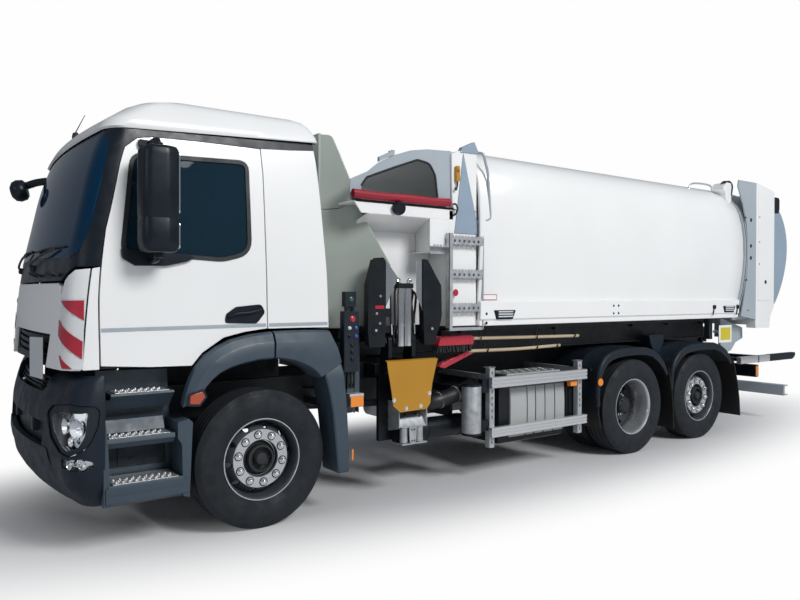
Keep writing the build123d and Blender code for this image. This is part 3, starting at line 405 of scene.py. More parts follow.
def fit(name, bm, material, body, bevel=0.0, segments=2, smooth=35.0, replaces=(),
        mirrored=False):
    """Turns a bmesh into a piece that rides on a body."""
    if mirrored:
        for vertex in bm.verts:
            vertex.co.x = -vertex.co.x
        bmesh.ops.reverse_faces(bm, faces=bm.faces[:])
    bmesh.ops.recalc_face_normals(bm, faces=bm.faces[:])
    mesh = mesh_of(name, bm)
    for one in material if isinstance(material, tuple) else (material,):
        mesh.materials.append(one)
    mesh.shade_smooth()
    mesh.set_sharp_from_angle(angle=math.radians(smooth))
    piece = in_scene(name, mesh)
    if bevel:
        edge = piece.modifiers.new("edge", "BEVEL")
        edge.width = bevel
        edge.segments = segments
        edge.limit_method = "ANGLE"
        edge.angle_limit = math.radians(38.0)
        edge.harden_normals = True
    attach(piece, body)
    if replaces:
        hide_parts(*replaces)
    return piece


SIDES = (("left", False), ("right", True))
print("makers ready")

# %% [markdown]
# ## The cab's skin
# A cab's outer form is one smooth surface, and its doors, windows and flaps are cut out of it.
# So the surface is written as a function: s runs round the cab from the middle of the nose,
# through the front corner, to the rear, and z is the height. A panel is then an outline on that
# surface. Its inside is filled with triangles, laid on the surface, and given a thickness.

# %% The cab's surface
CAB_SECTIONS = [
    # z, half width, nose y, bow, corner depth, rear y; y from the front axle
    (1.220, 1.160, -1.420, 0.080, 0.150, 0.570),
    (1.800, 1.160, -1.370, 0.080, 0.150, 0.560),
    (2.250, 1.147, -1.275, 0.068, 0.135, 0.532),
    (2.700, 1.115, -1.150, 0.052, 0.112, 0.500),
    (2.960, 1.060, -1.010, 0.050, 0.110, 0.465),
    (3.090, 0.880, -0.700, 0.040, 0.090, 0.420),
]
CORNER_RUN = 0.160
CORNER_S = 0.25
SIDE_S = 1.6


def section_at(z):
    """Half width, nose, bow, corner depth and rear of the cab at a height, smoothly."""
    rows = CAB_SECTIONS
    z = min(max(z, rows[0][0]), rows[-1][0])
    k = max(i for i in range(len(rows) - 1) if rows[i][0] <= z)
    low, high = rows[k], rows[k + 1]
    t = (z - low[0]) / (high[0] - low[0])
    values = []
    for c in range(1, 6):
        def slope(i):
            if i in (0, len(rows) - 1):
                j = min(i, len(rows) - 2)
                return (rows[j + 1][c] - rows[j][c]) / (rows[j + 1][0] - rows[j][0])
            left = (rows[i][c] - rows[i - 1][c]) / (rows[i][0] - rows[i - 1][0])
            right = (rows[i + 1][c] - rows[i][c]) / (rows[i + 1][0] - rows[i][0])
            return 0.0 if left * right <= 0 else 2 * left * right / (left + right)
        span = high[0] - low[0]
        values.append(low[c] * (2 * t ** 3 - 3 * t ** 2 + 1) + high[c] * (3 * t ** 2 - 2 * t ** 3)
                      + slope(k) * span * (t ** 3 - 2 * t ** 2 + t)
                      + slope(k + 1) * span * (t ** 3 - t ** 2))
    return values


def skin_point(section, run, side, s, z, out):
    """A skin's point; run is its corner's width, and side how far s goes along its side."""
    def raw(s, z):
        z, half, nose, bow, depth, rear = section(z)
        a, start = abs(s), half - run
        if a <= 1.0:
            point = (start * a, nose + bow * a * a)
        elif a <= 1.0 + CORNER_S:
            turn = (a - 1.0) / CORNER_S * math.pi / 2
            point = (start + run * math.sin(turn), nose + bow + depth * (1 - math.cos(turn)))
        else:
            y = nose + bow + depth
            point = (half, y + (rear - y) * (a - 1.0 - CORNER_S) / side)
        return Vector((math.copysign(point[0], s), FRONT + point[1], z))
    point = raw(s, z)
    if out:
        step = 0.004
        along = raw(s + step, z) - raw(s - step, z)
        upward = raw(s, z + step) - raw(s, z - step)
        point += along.cross(upward).normalized() * out
    return point


def cab_point(s, z, out=0.0):
    """The point of the cab's skin at s and z, moved outwards by out."""
    return skin_point(lambda height: (height, *section_at(height)), CORNER_RUN, SIDE_S, s, z, out)


def on_side(points):
    """(y, z) points on the cab's left side, y from the front axle, as (s, z)."""
    result = []
    for y, z in points:
        half, nose, bow, depth, rear = section_at(z)
        start = nose + bow + depth
        if y >= start:
            result.append((1.0 + CORNER_S + SIDE_S * (y - start) / (rear - start), z))
        else:
            turn = math.acos(max(-1.0, min(1.0, 1 - (y - nose - bow) / depth)))
            result.append((1.0 + CORNER_S * turn / (math.pi / 2), z))
    return result


def on_front(points):
    """(x, z) points on the cab's front as (s, z)."""
    result = []
    for x, z in points:
        start = section_at(z)[0] - CORNER_RUN
        a = abs(x)
        s = a / start if a <= start else (
            1.0 + CORNER_S * math.asin(min(1.0, (a - start) / CORNER_RUN)) / (math.pi / 2))
        result.append((math.copysign(s, x), z))
    return result


print("cab side at 2 m:", [round(v, 3) for v in cab_point(2.0, 2.0)])

# %% [markdown]
# Filling an outline evenly matters: long thin triangles shade badly on a curve. Points on a grid
# inside the outline, joined by a Delaunay fill, keep them all about the same size. The copy on
# the inner side uses a second material, so a door's lining differs from its paint.

# %% Panels laid on a surface
def edges_of(outline):
    """Each point of a closed outline with the one that follows it."""
    return zip(outline, outline[1:] + outline[:1])


def inside(point, outline):
    """Whether a point lies inside an outline."""
    x, y = point
    found = False
    for (x1, y1), (x2, y2) in edges_of(outline):
        if (y1 > y) != (y2 > y) and x < (x2 - x1) * (y - y1) / (y2 - y1) + x1:
            found = not found
    return found


def edge_distance(point, outline):
    """Distance from a point to an outline's edges."""
    best = 1e9
    p = Vector(point)
    for a, b in edges_of(outline):
        a, run = Vector(a), Vector(b) - Vector(a)
        t = max(0.0, min(1.0, (p - a).dot(run) / max(run.length_squared, 1e-12)))
        best = min(best, (p - a - run * t).length)
    return best


def divided(outline, step):
    """The outline with points added so that no edge is longer than step."""
    result = []
    for a, b in edges_of(outline):
        parts = max(1, math.ceil((Vector(b) - Vector(a)).length / step))
        result += [tuple(Vector(a).lerp(Vector(b), i / parts)) for i in range(parts)]
    return result


def laid(bm, outline, surface, thick, step=0.07, holes=(), out=0.0, lined=True):
    """Lays a panel on surface(s, z, out): thick inwards, its outer face moved out by out."""
    loops = [divided(list(loop), step) for loop in (outline, *holes)]
    points = [p for loop in loops for p in loop]
    edges, base = [], 0
    for loop in loops:
        edges += [(base + i, base + (i + 1) % len(loop)) for i in range(len(loop))]
        base += len(loop)
    low = [min(p[i] for p in loops[0]) for i in (0, 1)]
    high = [max(p[i] for p in loops[0]) for i in (0, 1)]
    for i in range(int((high[0] - low[0]) / step) + 1):
        for j in range(int((high[1] - low[1]) / step) + 1):
            p = (low[0] + (i + 0.5) * step, low[1] + (j + 0.5) * step)
            if inside(p, loops[0]) and not any(inside(p, hole) for hole in loops[1:]):
                if min(edge_distance(p, loop) for loop in loops) > 0.45 * step:
                    points.append(p)
    flat, _, faces, _, _, _ = delaunay_2d_cdt([Vector(p) for p in points], edges, [], 0, 1e-6)
    outer = [bm.verts.new(surface(p.x, p.y, out)) for p in flat]
    inner = [bm.verts.new(surface(p.x, p.y, out - thick)) for p in flat]
    walked = {}
    for face in faces:
        middle = tuple(sum((flat[i] for i in face), Vector((0, 0))) / len(face))
        if not inside(middle, loops[0]) or any(inside(middle, hole) for hole in loops[1:]):
            continue
        bm.faces.new([outer[i] for i in face])
        back = bm.faces.new([inner[i] for i in reversed(face)])
        back.material_index = 1 if lined else 0
        for a, b in edges_of(face):
            walked[(a, b)] = True
    for a, b in walked:
        if (b, a) not in walked:
            bm.faces.new((outer[b], outer[a], inner[a], inner[b]))
    loose = [v for v in bm.verts if not v.link_faces]
    bmesh.ops.delete(bm, geom=loose, context="VERTS")


print("panel maker ready")

# %% [markdown]
# ## Doors and side panels
# The door's lower edge follows the wheel arch, and its front edge runs up beside the windscreen.
# Each door is one laid panel with its window cut out, and it rides on its own body so that it
# swings alone. The skin is drawn once for the left and mirrored for the right.

# %% Doors
DOOR_TOP = [(-1.109, 1.941), (-1.084, 2.134), (-1.016, 2.441), (-0.957, 2.681), (-0.874, 2.752),
            (-0.770, 2.772), (-0.456, 2.782), (0.010, 2.786)]
DOOR_REAR = [(0.010, 2.786), (0.022, 2.600), (0.035, 1.900), (0.045, 1.458)]
DOOR = [(-1.118, 1.245), (-1.126, 1.691), *DOOR_TOP, *DOOR_REAR[1:], (-0.130, 1.438),
        (-0.291, 1.402), (-0.445, 1.303), (-0.520, 1.215), (-0.806, 1.222)]
WINDOW = rounded([(-0.985, 1.985), (-0.915, 2.640), (-0.100, 2.672), (-0.090, 2.005),
                  (-0.300, 1.950)], [0.06, 0.09, 0.07, 0.16, 0.3])
SHUT = 0.006
DOOR_THICK = 0.045


def shrunk(outline, amount):
    """The outline moved inwards by amount."""
    result = []
    area = sum(a[0] * b[1] - b[0] * a[1] for a, b in edges_of(outline))
    turn = 1.0 if area > 0 else -1.0
    for i, corner in enumerate(outline):
        p, c, n = (Vector(outline[i - 1]), Vector(corner), Vector(outline[(i + 1) % len(outline)]))
        before, after = (c - p).normalized(), (n - c).normalized()
        left = Vector((-before.y, before.x))
        normal = (left + Vector((-after.y, after.x))).normalized() * turn
        result.append(tuple(c + normal * amount / max(0.5, normal.dot(left * turn))))
    return result


door_edge = shrunk(on_side(DOOR), SHUT)
window_edge = on_side(WINDOW)
for side, right in SIDES:
    bm = bmesh.new()
    laid(bm, door_edge, cab_point, DOOR_THICK, holes=[window_edge])
    fit(f"door_{side}_skin", bm, (WHITE, TRIM), f"door_{side}", bevel=0.006,
        replaces=(f"door_{side}",), mirrored=right)
    bm = bmesh.new()
    laid(bm, shrunk(window_edge, -0.010), cab_point, 0.012, holes=[shrunk(window_edge, 0.020)],
         out=0.004, lined=False)
    fit(f"door_{side}_window_seal", bm, SEAL, f"door_{side}", bevel=0.003,
        mirrored=right)
    bm = bmesh.new()
    laid(bm, shrunk(window_edge, 0.018), cab_point, 0.006, out=-0.006, lined=False)
    fit(f"door_{side}_window", bm, GLASS, f"door_{side}",
        replaces=(f"door_glass_{side}",), mirrored=right)
print("doors laid")

# %% [markdown]
# The rear side panel carries on from the door and wraps round to the cab's back wall. The front
# corner is two narrow panels, and the flap between them opens upwards over the radiator, so it
# rides on its own body. Everything black round the windscreen is one panel with the glass let
# into it.

# %% Cab panels
SIDE_PANEL = [*reversed(DOOR_REAR), (0.260, 2.805), (0.458, 2.826), (0.560, 1.455),
              (0.300, 1.458)]
CORNER_PANEL = [on_front([(0.940, 1.225)])[0], on_front([(0.940, 1.700)])[0], (0.985, 1.800),
                (1.100, 1.868), (1.205, 1.878), (1.205, 1.225)]
DEFLECTOR = [(1.210, 1.225), (1.210, 1.878), *on_side([(-1.113, 1.890), (-1.126, 1.691),
                                                       (-1.118, 1.225)])]
FLAP_HALF = [(0.0, 1.785), (0.860, 1.785), (0.915, 1.760), (0.930, 1.700), (0.930, 1.225),
             (0.760, 1.225), (0.800, 1.445), (0.0, 1.452)]
SURROUND_SIDE = on_side([(-1.113, 1.890), *DOOR_TOP, (0.260, 2.805), (0.458, 2.826),
                         (0.450, 2.895), (0.106, 2.879), (-0.284, 2.868), (-0.710, 2.856),
                         (-0.875, 2.842)])
SURROUND = ([(0.0, 1.795), (0.90, 1.800), (0.965, 1.830), (1.090, 1.888), (1.205, 1.888)]
            + SURROUND_SIDE + [(1.173, 2.835), (1.031, 2.800), (0.70, 2.800), (0.0, 2.800)])
GLASS_HALF = [(0.0, 1.965), (0.60, 1.965), (1.00, 1.945), (1.10, 1.985), (1.150, 2.165),
              (1.172, 2.440), (1.172, 2.620), (1.140, 2.735), (1.040, 2.765), (0.0, 2.775)]


def whole(half):
    """A half outline from the middle out, joined with its mirror image."""
    return half + [(-s, z) for s, z in reversed(half) if s > 0]


for side, right in SIDES:
    for name, outline in (("rear_side", on_side(SIDE_PANEL)), ("corner", CORNER_PANEL),
                          ("deflector", DEFLECTOR)):
        bm = bmesh.new()
        laid(bm, shrunk(outline, SHUT / 2), cab_point, 0.040)
        fit(f"cab_{name}_{side}", bm, (WHITE, TRIM), "cab", bevel=0.005,
            mirrored=right)
bm = bmesh.new()
laid(bm, whole(on_front(FLAP_HALF)), cab_point, 0.035)
fit("front_flap_skin", bm, (WHITE, DARK_PAINTED_SHADE), "front_flap", bevel=0.008,
    replaces=("front_flap",))
bm = bmesh.new()
laid(bm, whole(SURROUND), cab_point, 0.030, holes=[whole(GLASS_HALF)], out=-0.002)
fit("windscreen_surround", bm, (BLACK, TRIM), "cab", bevel=0.004,
    replaces=("cab_shell",))
bm = bmesh.new()
laid(bm, shrunk(whole(GLASS_HALF), -0.004), cab_point, 0.008, out=0.0015, lined=False)
fit("windscreen_glass", bm, SCREEN_PAINTED_SKY, "cab", replaces=("windscreen",))
print("cab panels laid")

# %% [markdown]
# The roof is a shallow cap that stands proud of the sides. Rings of the cab's own plan, drawn in
# as they rise, give it its rounded shoulders, and the last ring closes on a gentle crown.

# %% Roof cap
ROOF_RINGS = [
    # z at the front, rise towards the rear, inset, scale of the plan
    (2.800, 0.085, -0.004, 1.0), (2.812, 0.080, -0.012, 1.0), (2.870, 0.060, -0.012, 1.0),
    (2.930, 0.045, 0.000, 1.0), (2.985, 0.030, 0.016, 0.995), (3.030, 0.018, 0.050, 0.985),
    (3.064, 0.008, 0.105, 0.965), (3.084, 0.002, 0.190, 0.93), (3.094, -0.006, 0.310, 0.86),
]
ROOF_SIDES = 72


def roof_plan(inset, z):
    """Points round the cab's plan at a height, in by inset, from one rear corner to the other."""
    half, nose, bow, depth, rear = section_at(min(z, 2.960))
    lean = 0.22 * max(0.0, z - 2.87)
    half, nose, rear = half - inset, nose + inset * 2.4 + lean, rear - inset
    run = CORNER_RUN * 1.15
    points = []
    for i in range(ROOF_SIDES + 1):
        a = -1.0 + 2.0 * i / ROOF_SIDES
        s = abs(a) * 3.0
        if s <= 1.0:
            point = ((half - run) * s, nose + bow * s * s)
        elif s <= 1.6:
            turn = (s - 1.0) / 0.6 * math.pi / 2
            point = (half - run + run * math.sin(turn),
                     nose + bow + depth * 1.3 * (1 - math.cos(turn)))
        else:
            start = nose + bow + depth * 1.3
            point = (half, start + (rear - 0.05 - start) * (s - 1.6) / 1.4)
        points.append((math.copysign(point[0], a), point[1]))
    for turn in (30, 60, 90):
        angle = math.radians(turn)
        for sign, place in ((1, len(points)), (-1, 0)):
            corner = (sign * (half - 0.05 + 0.05 * math.cos(angle)),
                      rear - 0.05 + 0.05 * math.sin(angle))
            points.insert(place, corner)
    return points


bm = bmesh.new()
rings = []
for z, rise, inset, scale in ROOF_RINGS:
    plan = roof_plan(inset, z)
    nose_y, rear_y = min(p[1] for p in plan), max(p[1] for p in plan)
    rings.append([bm.verts.new((x, FRONT + y, z + rise * (y - nose_y) / (rear_y - nose_y)))
                  for x, y in plan])
joined(bm, rings)
bmesh.ops.triangle_fill(bm, use_beauty=True, edges=[e for e in bm.edges if e.is_boundary and
                                                    e.verts[0].co.z > 3.05])
fit("cab_roof", bm, WHITE, "cab", smooth=50.0)
print("roof rings", len(rings))

# %% [markdown]
# Behind and below the skin the cab is closed by a back wall and a floor that steps up over the
# wheels. They are plain folded sheets, seen only through the glass, from behind and from below.

# %% Back wall and floor
bm = bmesh.new()
back = [(-1.09, 1.46), (1.09, 1.46), (1.045, 2.86), (0.95, 2.95), (-0.95, 2.95), (-1.045, 2.86)]
rear_low, rear_high = 0.560, 0.460
plate(bm, [[(x, FRONT + rear_low + (rear_high - rear_low) * (z - 1.46) / 1.4 + depth, z)
            for x, z in back] for depth in (-0.03, 0.0)])
fit("cab_back_wall", bm, WHITE, "cab", bevel=0.01)
bm = bmesh.new()
floor = aft([(-1.20, 1.225), (-1.20, 1.275), (-0.56, 1.275), (-0.40, 1.50), (0.55, 1.50),
             (0.55, 1.455), (-0.44, 1.455), (-0.62, 1.225)])
prism(bm, floor, 0.60, 1.100)
twin(bm)
slab(bm, (-0.62, 0.62), behind(-1.36, 0.55), (1.225, 1.275))
for x in (-0.60, 0.60):
    slab(bm, (x - 0.015, x + 0.015), behind(-0.60, 0.55), (1.23, 1.49))
fit("cab_floor", bm, TRIM, "cab", bevel=0.006)
print("cab closed")

# %% [markdown]
# ## Trim on the doors
# Under each window a long black foot carries the mirror. A recessed handle sits near the door's
# rear edge: a dark cup let into the skin with a bar across it. A thin moulding runs along the
# side at the height of a person's hip, held by small clips.

# %% Handles, mouldings and mirror feet
HANDLE = rounded([(-0.290, 1.508), (-0.278, 1.572), (-0.205, 1.622), (-0.010, 1.640),
                  (0.022, 1.580), (-0.045, 1.500)], 0.035)
MOULDING = [(-1.110, 1.468), (-1.112, 1.492), (0.030, 1.500), (0.030, 1.476)]
MOULDING_REAR = [(0.055, 1.476), (0.055, 1.500), (0.545, 1.500), (0.547, 1.476)]
FOOT = rounded([(-0.995, 2.030), (-0.985, 1.945), (-0.905, 1.898), (-0.700, 1.902),
                (-0.560, 1.935), (-0.500, 1.968), (-0.560, 1.985), (-0.900, 1.985)], 0.03)
for side, right in SIDES:
    bm = bmesh.new()
    laid(bm, on_side(HANDLE), cab_point, 0.008, step=0.03, holes=[shrunk(on_side(HANDLE), 0.010)],
         out=0.006, lined=False)
    laid(bm, shrunk(on_side(HANDLE), 0.006), cab_point, 0.004, step=0.03, out=0.0015,
         lined=False)
    grip = [cab_point(s, z, out) for (s, z), out in zip(
        on_side([(-0.262, 1.548), (-0.200, 1.572), (-0.100, 1.580), (-0.010, 1.600)]),
        (0.004, 0.016, 0.018, 0.006))]
    pipe(bm, grip, 0.011, sides=10)
    fit(f"door_{side}_handle", bm, BLACK, f"door_{side}", bevel=0.002,
        mirrored=right)
    bm = bmesh.new()
    laid(bm, on_side(MOULDING), cab_point, 0.004, out=0.0035, lined=False)
    for i in range(9):
        s, z = on_side([(-1.05 + 0.118 * i, 1.484)])[0]
        centre = cab_point(s, z, 0.003)
        bar(bm, centre, centre + Vector((0.003, 0, 0)), 0.005, sides=10)
    fit(f"door_{side}_moulding", bm, LIGHT_GREY, f"door_{side}", bevel=0.001,
        mirrored=right)
    bm = bmesh.new()
    laid(bm, on_side(MOULDING_REAR), cab_point, 0.004, out=0.0035, lined=False)
    fit(f"cab_moulding_{side}", bm, LIGHT_GREY, "cab", bevel=0.001,
        mirrored=right)
    bm = bmesh.new()
    laid(bm, on_side(FOOT), cab_point, 0.030, step=0.04, out=0.026, lined=False)
    fit(f"door_{side}_mirror_foot", bm, BLACK, f"door_{side}", bevel=0.010,
        segments=3, mirrored=right)
print("door trim fitted")

# %% [markdown]
# The mirror is a tall case in two parts, a large glass above a smaller wide-angle one, with a
# joint between them. It hangs between two arms. The case is a turned-down box with large soft
# corners, so a plan outline is scaled a little at each height and the rings are joined.

# %% Mirrors
CASE_PLAN = rounded([(1.262, -0.900), (1.296, -0.930), (1.434, -0.912), (1.451, -0.770),
                     (1.428, -0.690), (1.284, -0.700), (1.262, -0.750)],
                    [0.02, 0.05, 0.06, 0.08, 0.03, 0.02, 0.03], steps=4)
CASE_RINGS = [
    # z, scale of the plan about its middle
    (1.980, 0.70), (1.986, 0.84), (2.010, 0.95), (2.053, 1.0), (2.188, 1.0), (2.195, 0.975),
    (2.205, 0.975), (2.212, 1.0), (2.407, 1.0), (2.600, 0.99), (2.636, 0.95), (2.654, 0.86),
    (2.660, 0.72),
]
CASE_MIDDLE = (1.362, -0.800)
ARM_Y = -0.800


def scaled_rings(bm, plan, middle, rings):
    """Joins a plan outline, scaled about its middle, through a list of heights."""
    swept(bm, [[(middle[0] + (x - middle[0]) * scale,
                 FRONT + middle[1] + (y - middle[1]) * scale, z) for x, y in plan]
               for z, scale in rings])


for side, right in SIDES:
    bm = bmesh.new()
    scaled_rings(bm, CASE_PLAN, CASE_MIDDLE, CASE_RINGS)
    fit(f"mirror_{side}_case", bm, BLACK, f"door_{side}", smooth=50.0,
        replaces=(f"mirror_{side}",), mirrored=right)
    bm = bmesh.new()
    for low, high in ((2.005, 2.175), (2.230, 2.627)):
        prism(bm, rounded(rectangle((1.292, 1.425), (low, high)), 0.02), *behind(-0.6985, -0.6895),
              axis="y")
    fit(f"mirror_{side}_glasses", bm, MIRROR, f"door_{side}", bevel=0.002,
        mirrored=right)
    bm = bmesh.new()
    for z, bend, end_z, joint_z in ((1.930, 0.012, 1.990, 1.978), (2.715, -0.004, 2.660, 2.660)):
        pipe(bm, placed([(1.120, ARM_Y, z), (1.220, ARM_Y, z), (1.300, ARM_Y, z + bend),
                         (1.325, ARM_Y, end_z)]), 0.020)
        turned(bm, rectangle((-0.030, 0.030), (0, 0.030)), (1.325, FRONT + ARM_Y, joint_z),
               (0, 0, 1), 20, closed=False)
    slab(bm, (1.095, 1.150), behind(-0.87, -0.73), (2.690, 2.735))
    fit(f"mirror_{side}_arms", bm, BLACK, f"door_{side}", bevel=0.004,
        mirrored=right)
print("mirrors hung")

# %% [markdown]
# ## The nose
# The flap's lower middle is open, and a slatted grille shows through it. Below, the bumper is a
# second smooth surface of the same kind as the cab's, so the same panel maker lays its faces,
# with openings for the headlamps and for the lower end of the grille.

# %% Bumper surface
BUMPER_SECTIONS = [
    # z, half width, nose y, bow, corner depth; y from the front axle
    (0.345, 1.120, -1.310, 0.090, 0.090),
    (0.400, 1.165, -1.365, 0.094, 0.110),
    (0.500, 1.215, -1.420, 0.100, 0.130),
    (0.610, 1.222, -1.436, 0.100, 0.132),
    (0.622, 1.226, -1.444, 0.100, 0.134),
    (0.900, 1.225, -1.430, 0.100, 0.130),
    (1.030, 1.222, -1.405, 0.100, 0.130),
    (1.045, 1.216, -1.390, 0.096, 0.128),
    (1.140, 1.205, -1.370, 0.090, 0.120),
    (1.190, 1.180, -1.300, 0.080, 0.110),
]
BUMPER_REAR = -1.100
BUMPER_RUN = 0.200
BUMPER_SIDE_S = 0.2


def bumper_section(z):
    """Height, half width, nose, bow, corner depth and rear of the bumper at a height."""
    rows = BUMPER_SECTIONS
    z = min(max(z, rows[0][0]), rows[-1][0])
    k = max(i for i in range(len(rows) - 1) if rows[i][0] <= z)
    t = (z - rows[k][0]) / (rows[k + 1][0] - rows[k][0])
    values = [a + (b - a) * t for a, b in zip(rows[k][1:], rows[k + 1][1:])]
    return (z, *values, BUMPER_REAR)


def bumper_point(s, z, out=0.0):
    """The point of the bumper's skin at s and z, moved outwards by out."""
    return skin_point(bumper_section, BUMPER_RUN, BUMPER_SIDE_S, s, z, out)


BEZEL = rounded([(0.760, 0.930), (0.830, 0.985), (1.080, 1.018), (1.300, 1.005), (1.380, 0.975),
                 (1.370, 0.880), (1.300, 0.790), (1.220, 0.730), (1.115, 0.690), (1.000, 0.705),
                 (0.850, 0.780)], 0.03)
LAMP = rounded([(0.850, 0.925), (1.000, 0.955), (1.235, 0.968), (1.245, 0.900), (1.222, 0.815),
                (1.178, 0.752), (1.100, 0.728), (0.985, 0.775), (0.880, 0.845)], 0.03)
FOG = rounded([(1.050, 0.672), (1.200, 0.680), (1.330, 0.650), (1.335, 0.622), (1.200, 0.600),
               (1.060, 0.612)], 0.018)
BUMPER_OPENING = [(-0.700, 0.700), (-0.740, 0.860), (0.740, 0.860), (0.700, 0.700)]
BUMPER_HALF = [(0.0, 0.345), (1.44, 0.345), (1.45, 1.10), (1.44, 1.190), (0.700, 1.190),
               (0.640, 1.075), (0.560, 1.045), (0.0, 1.045)]


def flipped(outline):
    """An outline's mirror image."""
    return [(-s, z) for s, z in reversed(outline)]


bm = bmesh.new()
laid(bm, whole(BUMPER_HALF), bumper_point, 0.030, step=0.06,
     holes=[BEZEL, flipped(BEZEL), FOG, flipped(FOG), BUMPER_OPENING], lined=False)
fit("bumper_skin", bm, BUMPER, "chassis", bevel=0.010, segments=3,
    replaces=("bumper",))
bm = bmesh.new()
for x in (-0.38, 0.38):
    slab(bm, (x - 0.035, x + 0.035), behind(-1.40, -1.30), (0.75, 0.94))
slab(bm, (-1.0, 1.0), behind(-1.33, -1.29), (0.62, 0.72))
fit("bumper_brackets", bm, STEEL, "chassis", bevel=0.006)
bm = bmesh.new()
laid(bm, rectangle((-0.78, 0.78), (0.68, 0.88)), bumper_point, 0.006, step=0.12, out=-0.060,
     lined=False)
for low, high in ((-0.80, -0.50), (-0.40, 0.40), (0.50, 0.80)):
    laid(bm, rectangle((low, high), (0.99, 1.18)), bumper_point, 0.006, step=0.12, out=-0.100,
         lined=False)
laid(bm, [(-0.88, 0.600), (-0.80, 0.700), (0.80, 0.700), (0.88, 0.600)], bumper_point, 0.040,
     step=0.10, out=0.006, lined=False)
fit("bumper_lip", bm, DARK_PAINTED_SHADE, "chassis", bevel=0.006)
print("bumper laid")

# %% [markdown]
# A headlamp is a set of nested layers: a dark bezel set back from the bumper, a bright bowl
# behind, round reflectors with their bulbs, and a clear cover that follows the bumper's curve.

# %% Headlamps
for side, right in SIDES:
    bm = bmesh.new()
    laid(bm, shrunk(BEZEL, 0.004), bumper_point, 0.012, step=0.04, holes=[LAMP], out=-0.012,
         lined=False)
    laid(bm, shrunk(BEZEL, 0.002), bumper_point, 0.004, step=0.05, out=-0.075, lined=False)
    fit(f"headlamp_{side}_bezel", bm, DARK_PAINTED_SHADE, "chassis", bevel=0.006,
        mirrored=right, replaces=("headlamps",) if not right else ())
    bm = bmesh.new()
    laid(bm, shrunk(LAMP, -0.004), bumper_point, 0.003, step=0.04, out=-0.058, lined=False)
    laid(bm, shrunk(FOG, -0.004), bumper_point, 0.003, step=0.03, out=-0.035, lined=False)
    for s, z, radius in ((1.165, 0.865, 0.055), (1.045, 0.875, 0.050), (1.120, 0.785, 0.026),
                         (1.130, 0.642, 0.024), (1.230, 0.642, 0.024)):
        deep = 0.045 if z > 0.7 else 0.030
        centre = bumper_point(s, z, -deep)
        facing = (bumper_point(s, z, 0.0) - bumper_point(s, z, -0.02)).normalized()
        facing = (facing + Vector((0.0, -0.5, 0.0))).normalized()
        turned(bm, [(-0.004, 0), (0.000, radius * 0.45), (0.016, radius * 0.8), (0.030, radius),
                    (0.030, radius + 0.004), (0.010, radius * 0.85), (-0.008, 0)], centre, facing,
               28, closed=False)
        turned(bm, [(0.0, 0), (0.002, radius * 0.16), (0.022, radius * 0.16), (0.026, 0)], centre,
               facing, 16, closed=False)
    fit(f"headlamp_{side}_reflectors", bm, CHROME, "chassis", mirrored=right)
    bm = bmesh.new()
    laid(bm, shrunk(LAMP, -0.002), bumper_point, 0.004, step=0.03, out=-0.006, lined=False)
    laid(bm, shrunk(FOG, -0.002), bumper_point, 0.004, step=0.03, out=-0.006, lined=False)
    fit(f"headlamp_{side}_cover", bm, LENS, "chassis", bevel=0.002, mirrored=right)
print("headlamps set")

# %% [markdown]
# The grille is a stack of dark slats behind the notch in the flap, and a second, smaller stack
# closes the notch in the bumper. A pale blank plate stands in front of them. On each front
# corner a plate carries slanted red and white stripes, which mark the truck's width. Each red
# band is a thin laid panel of its own, so the stripes stay straight round the corner.

# %% Grille and corner plates
STRIPED = finish("marker_plate", (0.74, 0.76, 0.77), rough=0.3, coat=0.4, blotch=0.03)
PLATE = finish("blank_plate", (0.60, 0.63, 0.66), rough=0.4, blotch=0.05)
CORNER_PLATE = [(0.972, 1.679), (1.190, 1.684), (1.215, 1.289), (1.218, 1.236), (1.080, 1.236),
                (1.066, 1.262)]
RED_BANDS = [
    [(0.982, 1.668), (1.190, 1.672), (1.200, 1.545)],
    [(0.978, 1.548), (0.984, 1.448), (1.206, 1.302), (1.202, 1.412)],
    [(1.030, 1.322), (1.062, 1.262), (1.078, 1.240), (1.150, 1.240)],
]
NOTCH = [(-0.800, 1.225), (-0.830, 1.445), (0.830, 1.445), (0.800, 1.225)]
bm = bmesh.new()
laid(bm, NOTCH, cab_point, 0.006, step=0.12, out=-0.080, lined=False)
for k in range(4):
    z = 1.262 + 0.046 * k
    laid(bm, [(-0.806, z), (-0.812, z + 0.026), (0.812, z + 0.026), (0.806, z)], cab_point,
         0.026, step=0.12, out=-0.046, lined=False)
fit("grille_slats", bm, DARK_PAINTED_SHADE, "front_flap", bevel=0.006, replaces=("grille",))
bm = bmesh.new()
for k in range(4):
    # The slats stop short of the places where the tilting cab's two brackets pass.
    z, half, back = 1.056 + 0.024 * k, 0.60 + 0.04 * k, -0.030 - 0.006 * k
    for start, end in ((-half, -0.50), (-0.40, 0.40), (0.50, half)):
        laid(bm, rectangle((start, end), (z, z + 0.013)), bumper_point, 0.024, step=0.12, out=back,
             lined=False)
fit("bumper_slats", bm, DARK_PAINTED_SHADE, "chassis", bevel=0.005)
bm = bmesh.new()
laid(bm, [(0.250, 1.120), (0.250, 1.402), (0.690, 1.420), (0.690, 1.138)],
     lambda s, z, out=0.0: Vector((s, FRONT - 1.402 - out + 0.034 * s, z)), 0.004,
     step=0.1, lined=False)
fit("front_plate", bm, PLATE, "front_flap", bevel=0.001)
bm = bmesh.new()
for x in (0.300, 0.640):
    bar(bm, (x, FRONT - 1.390 + 0.034 * x, 1.30), (x, FRONT - 1.320, 1.30), 0.008, sides=10)
fit("front_plate_studs", bm, STEEL, "front_flap")
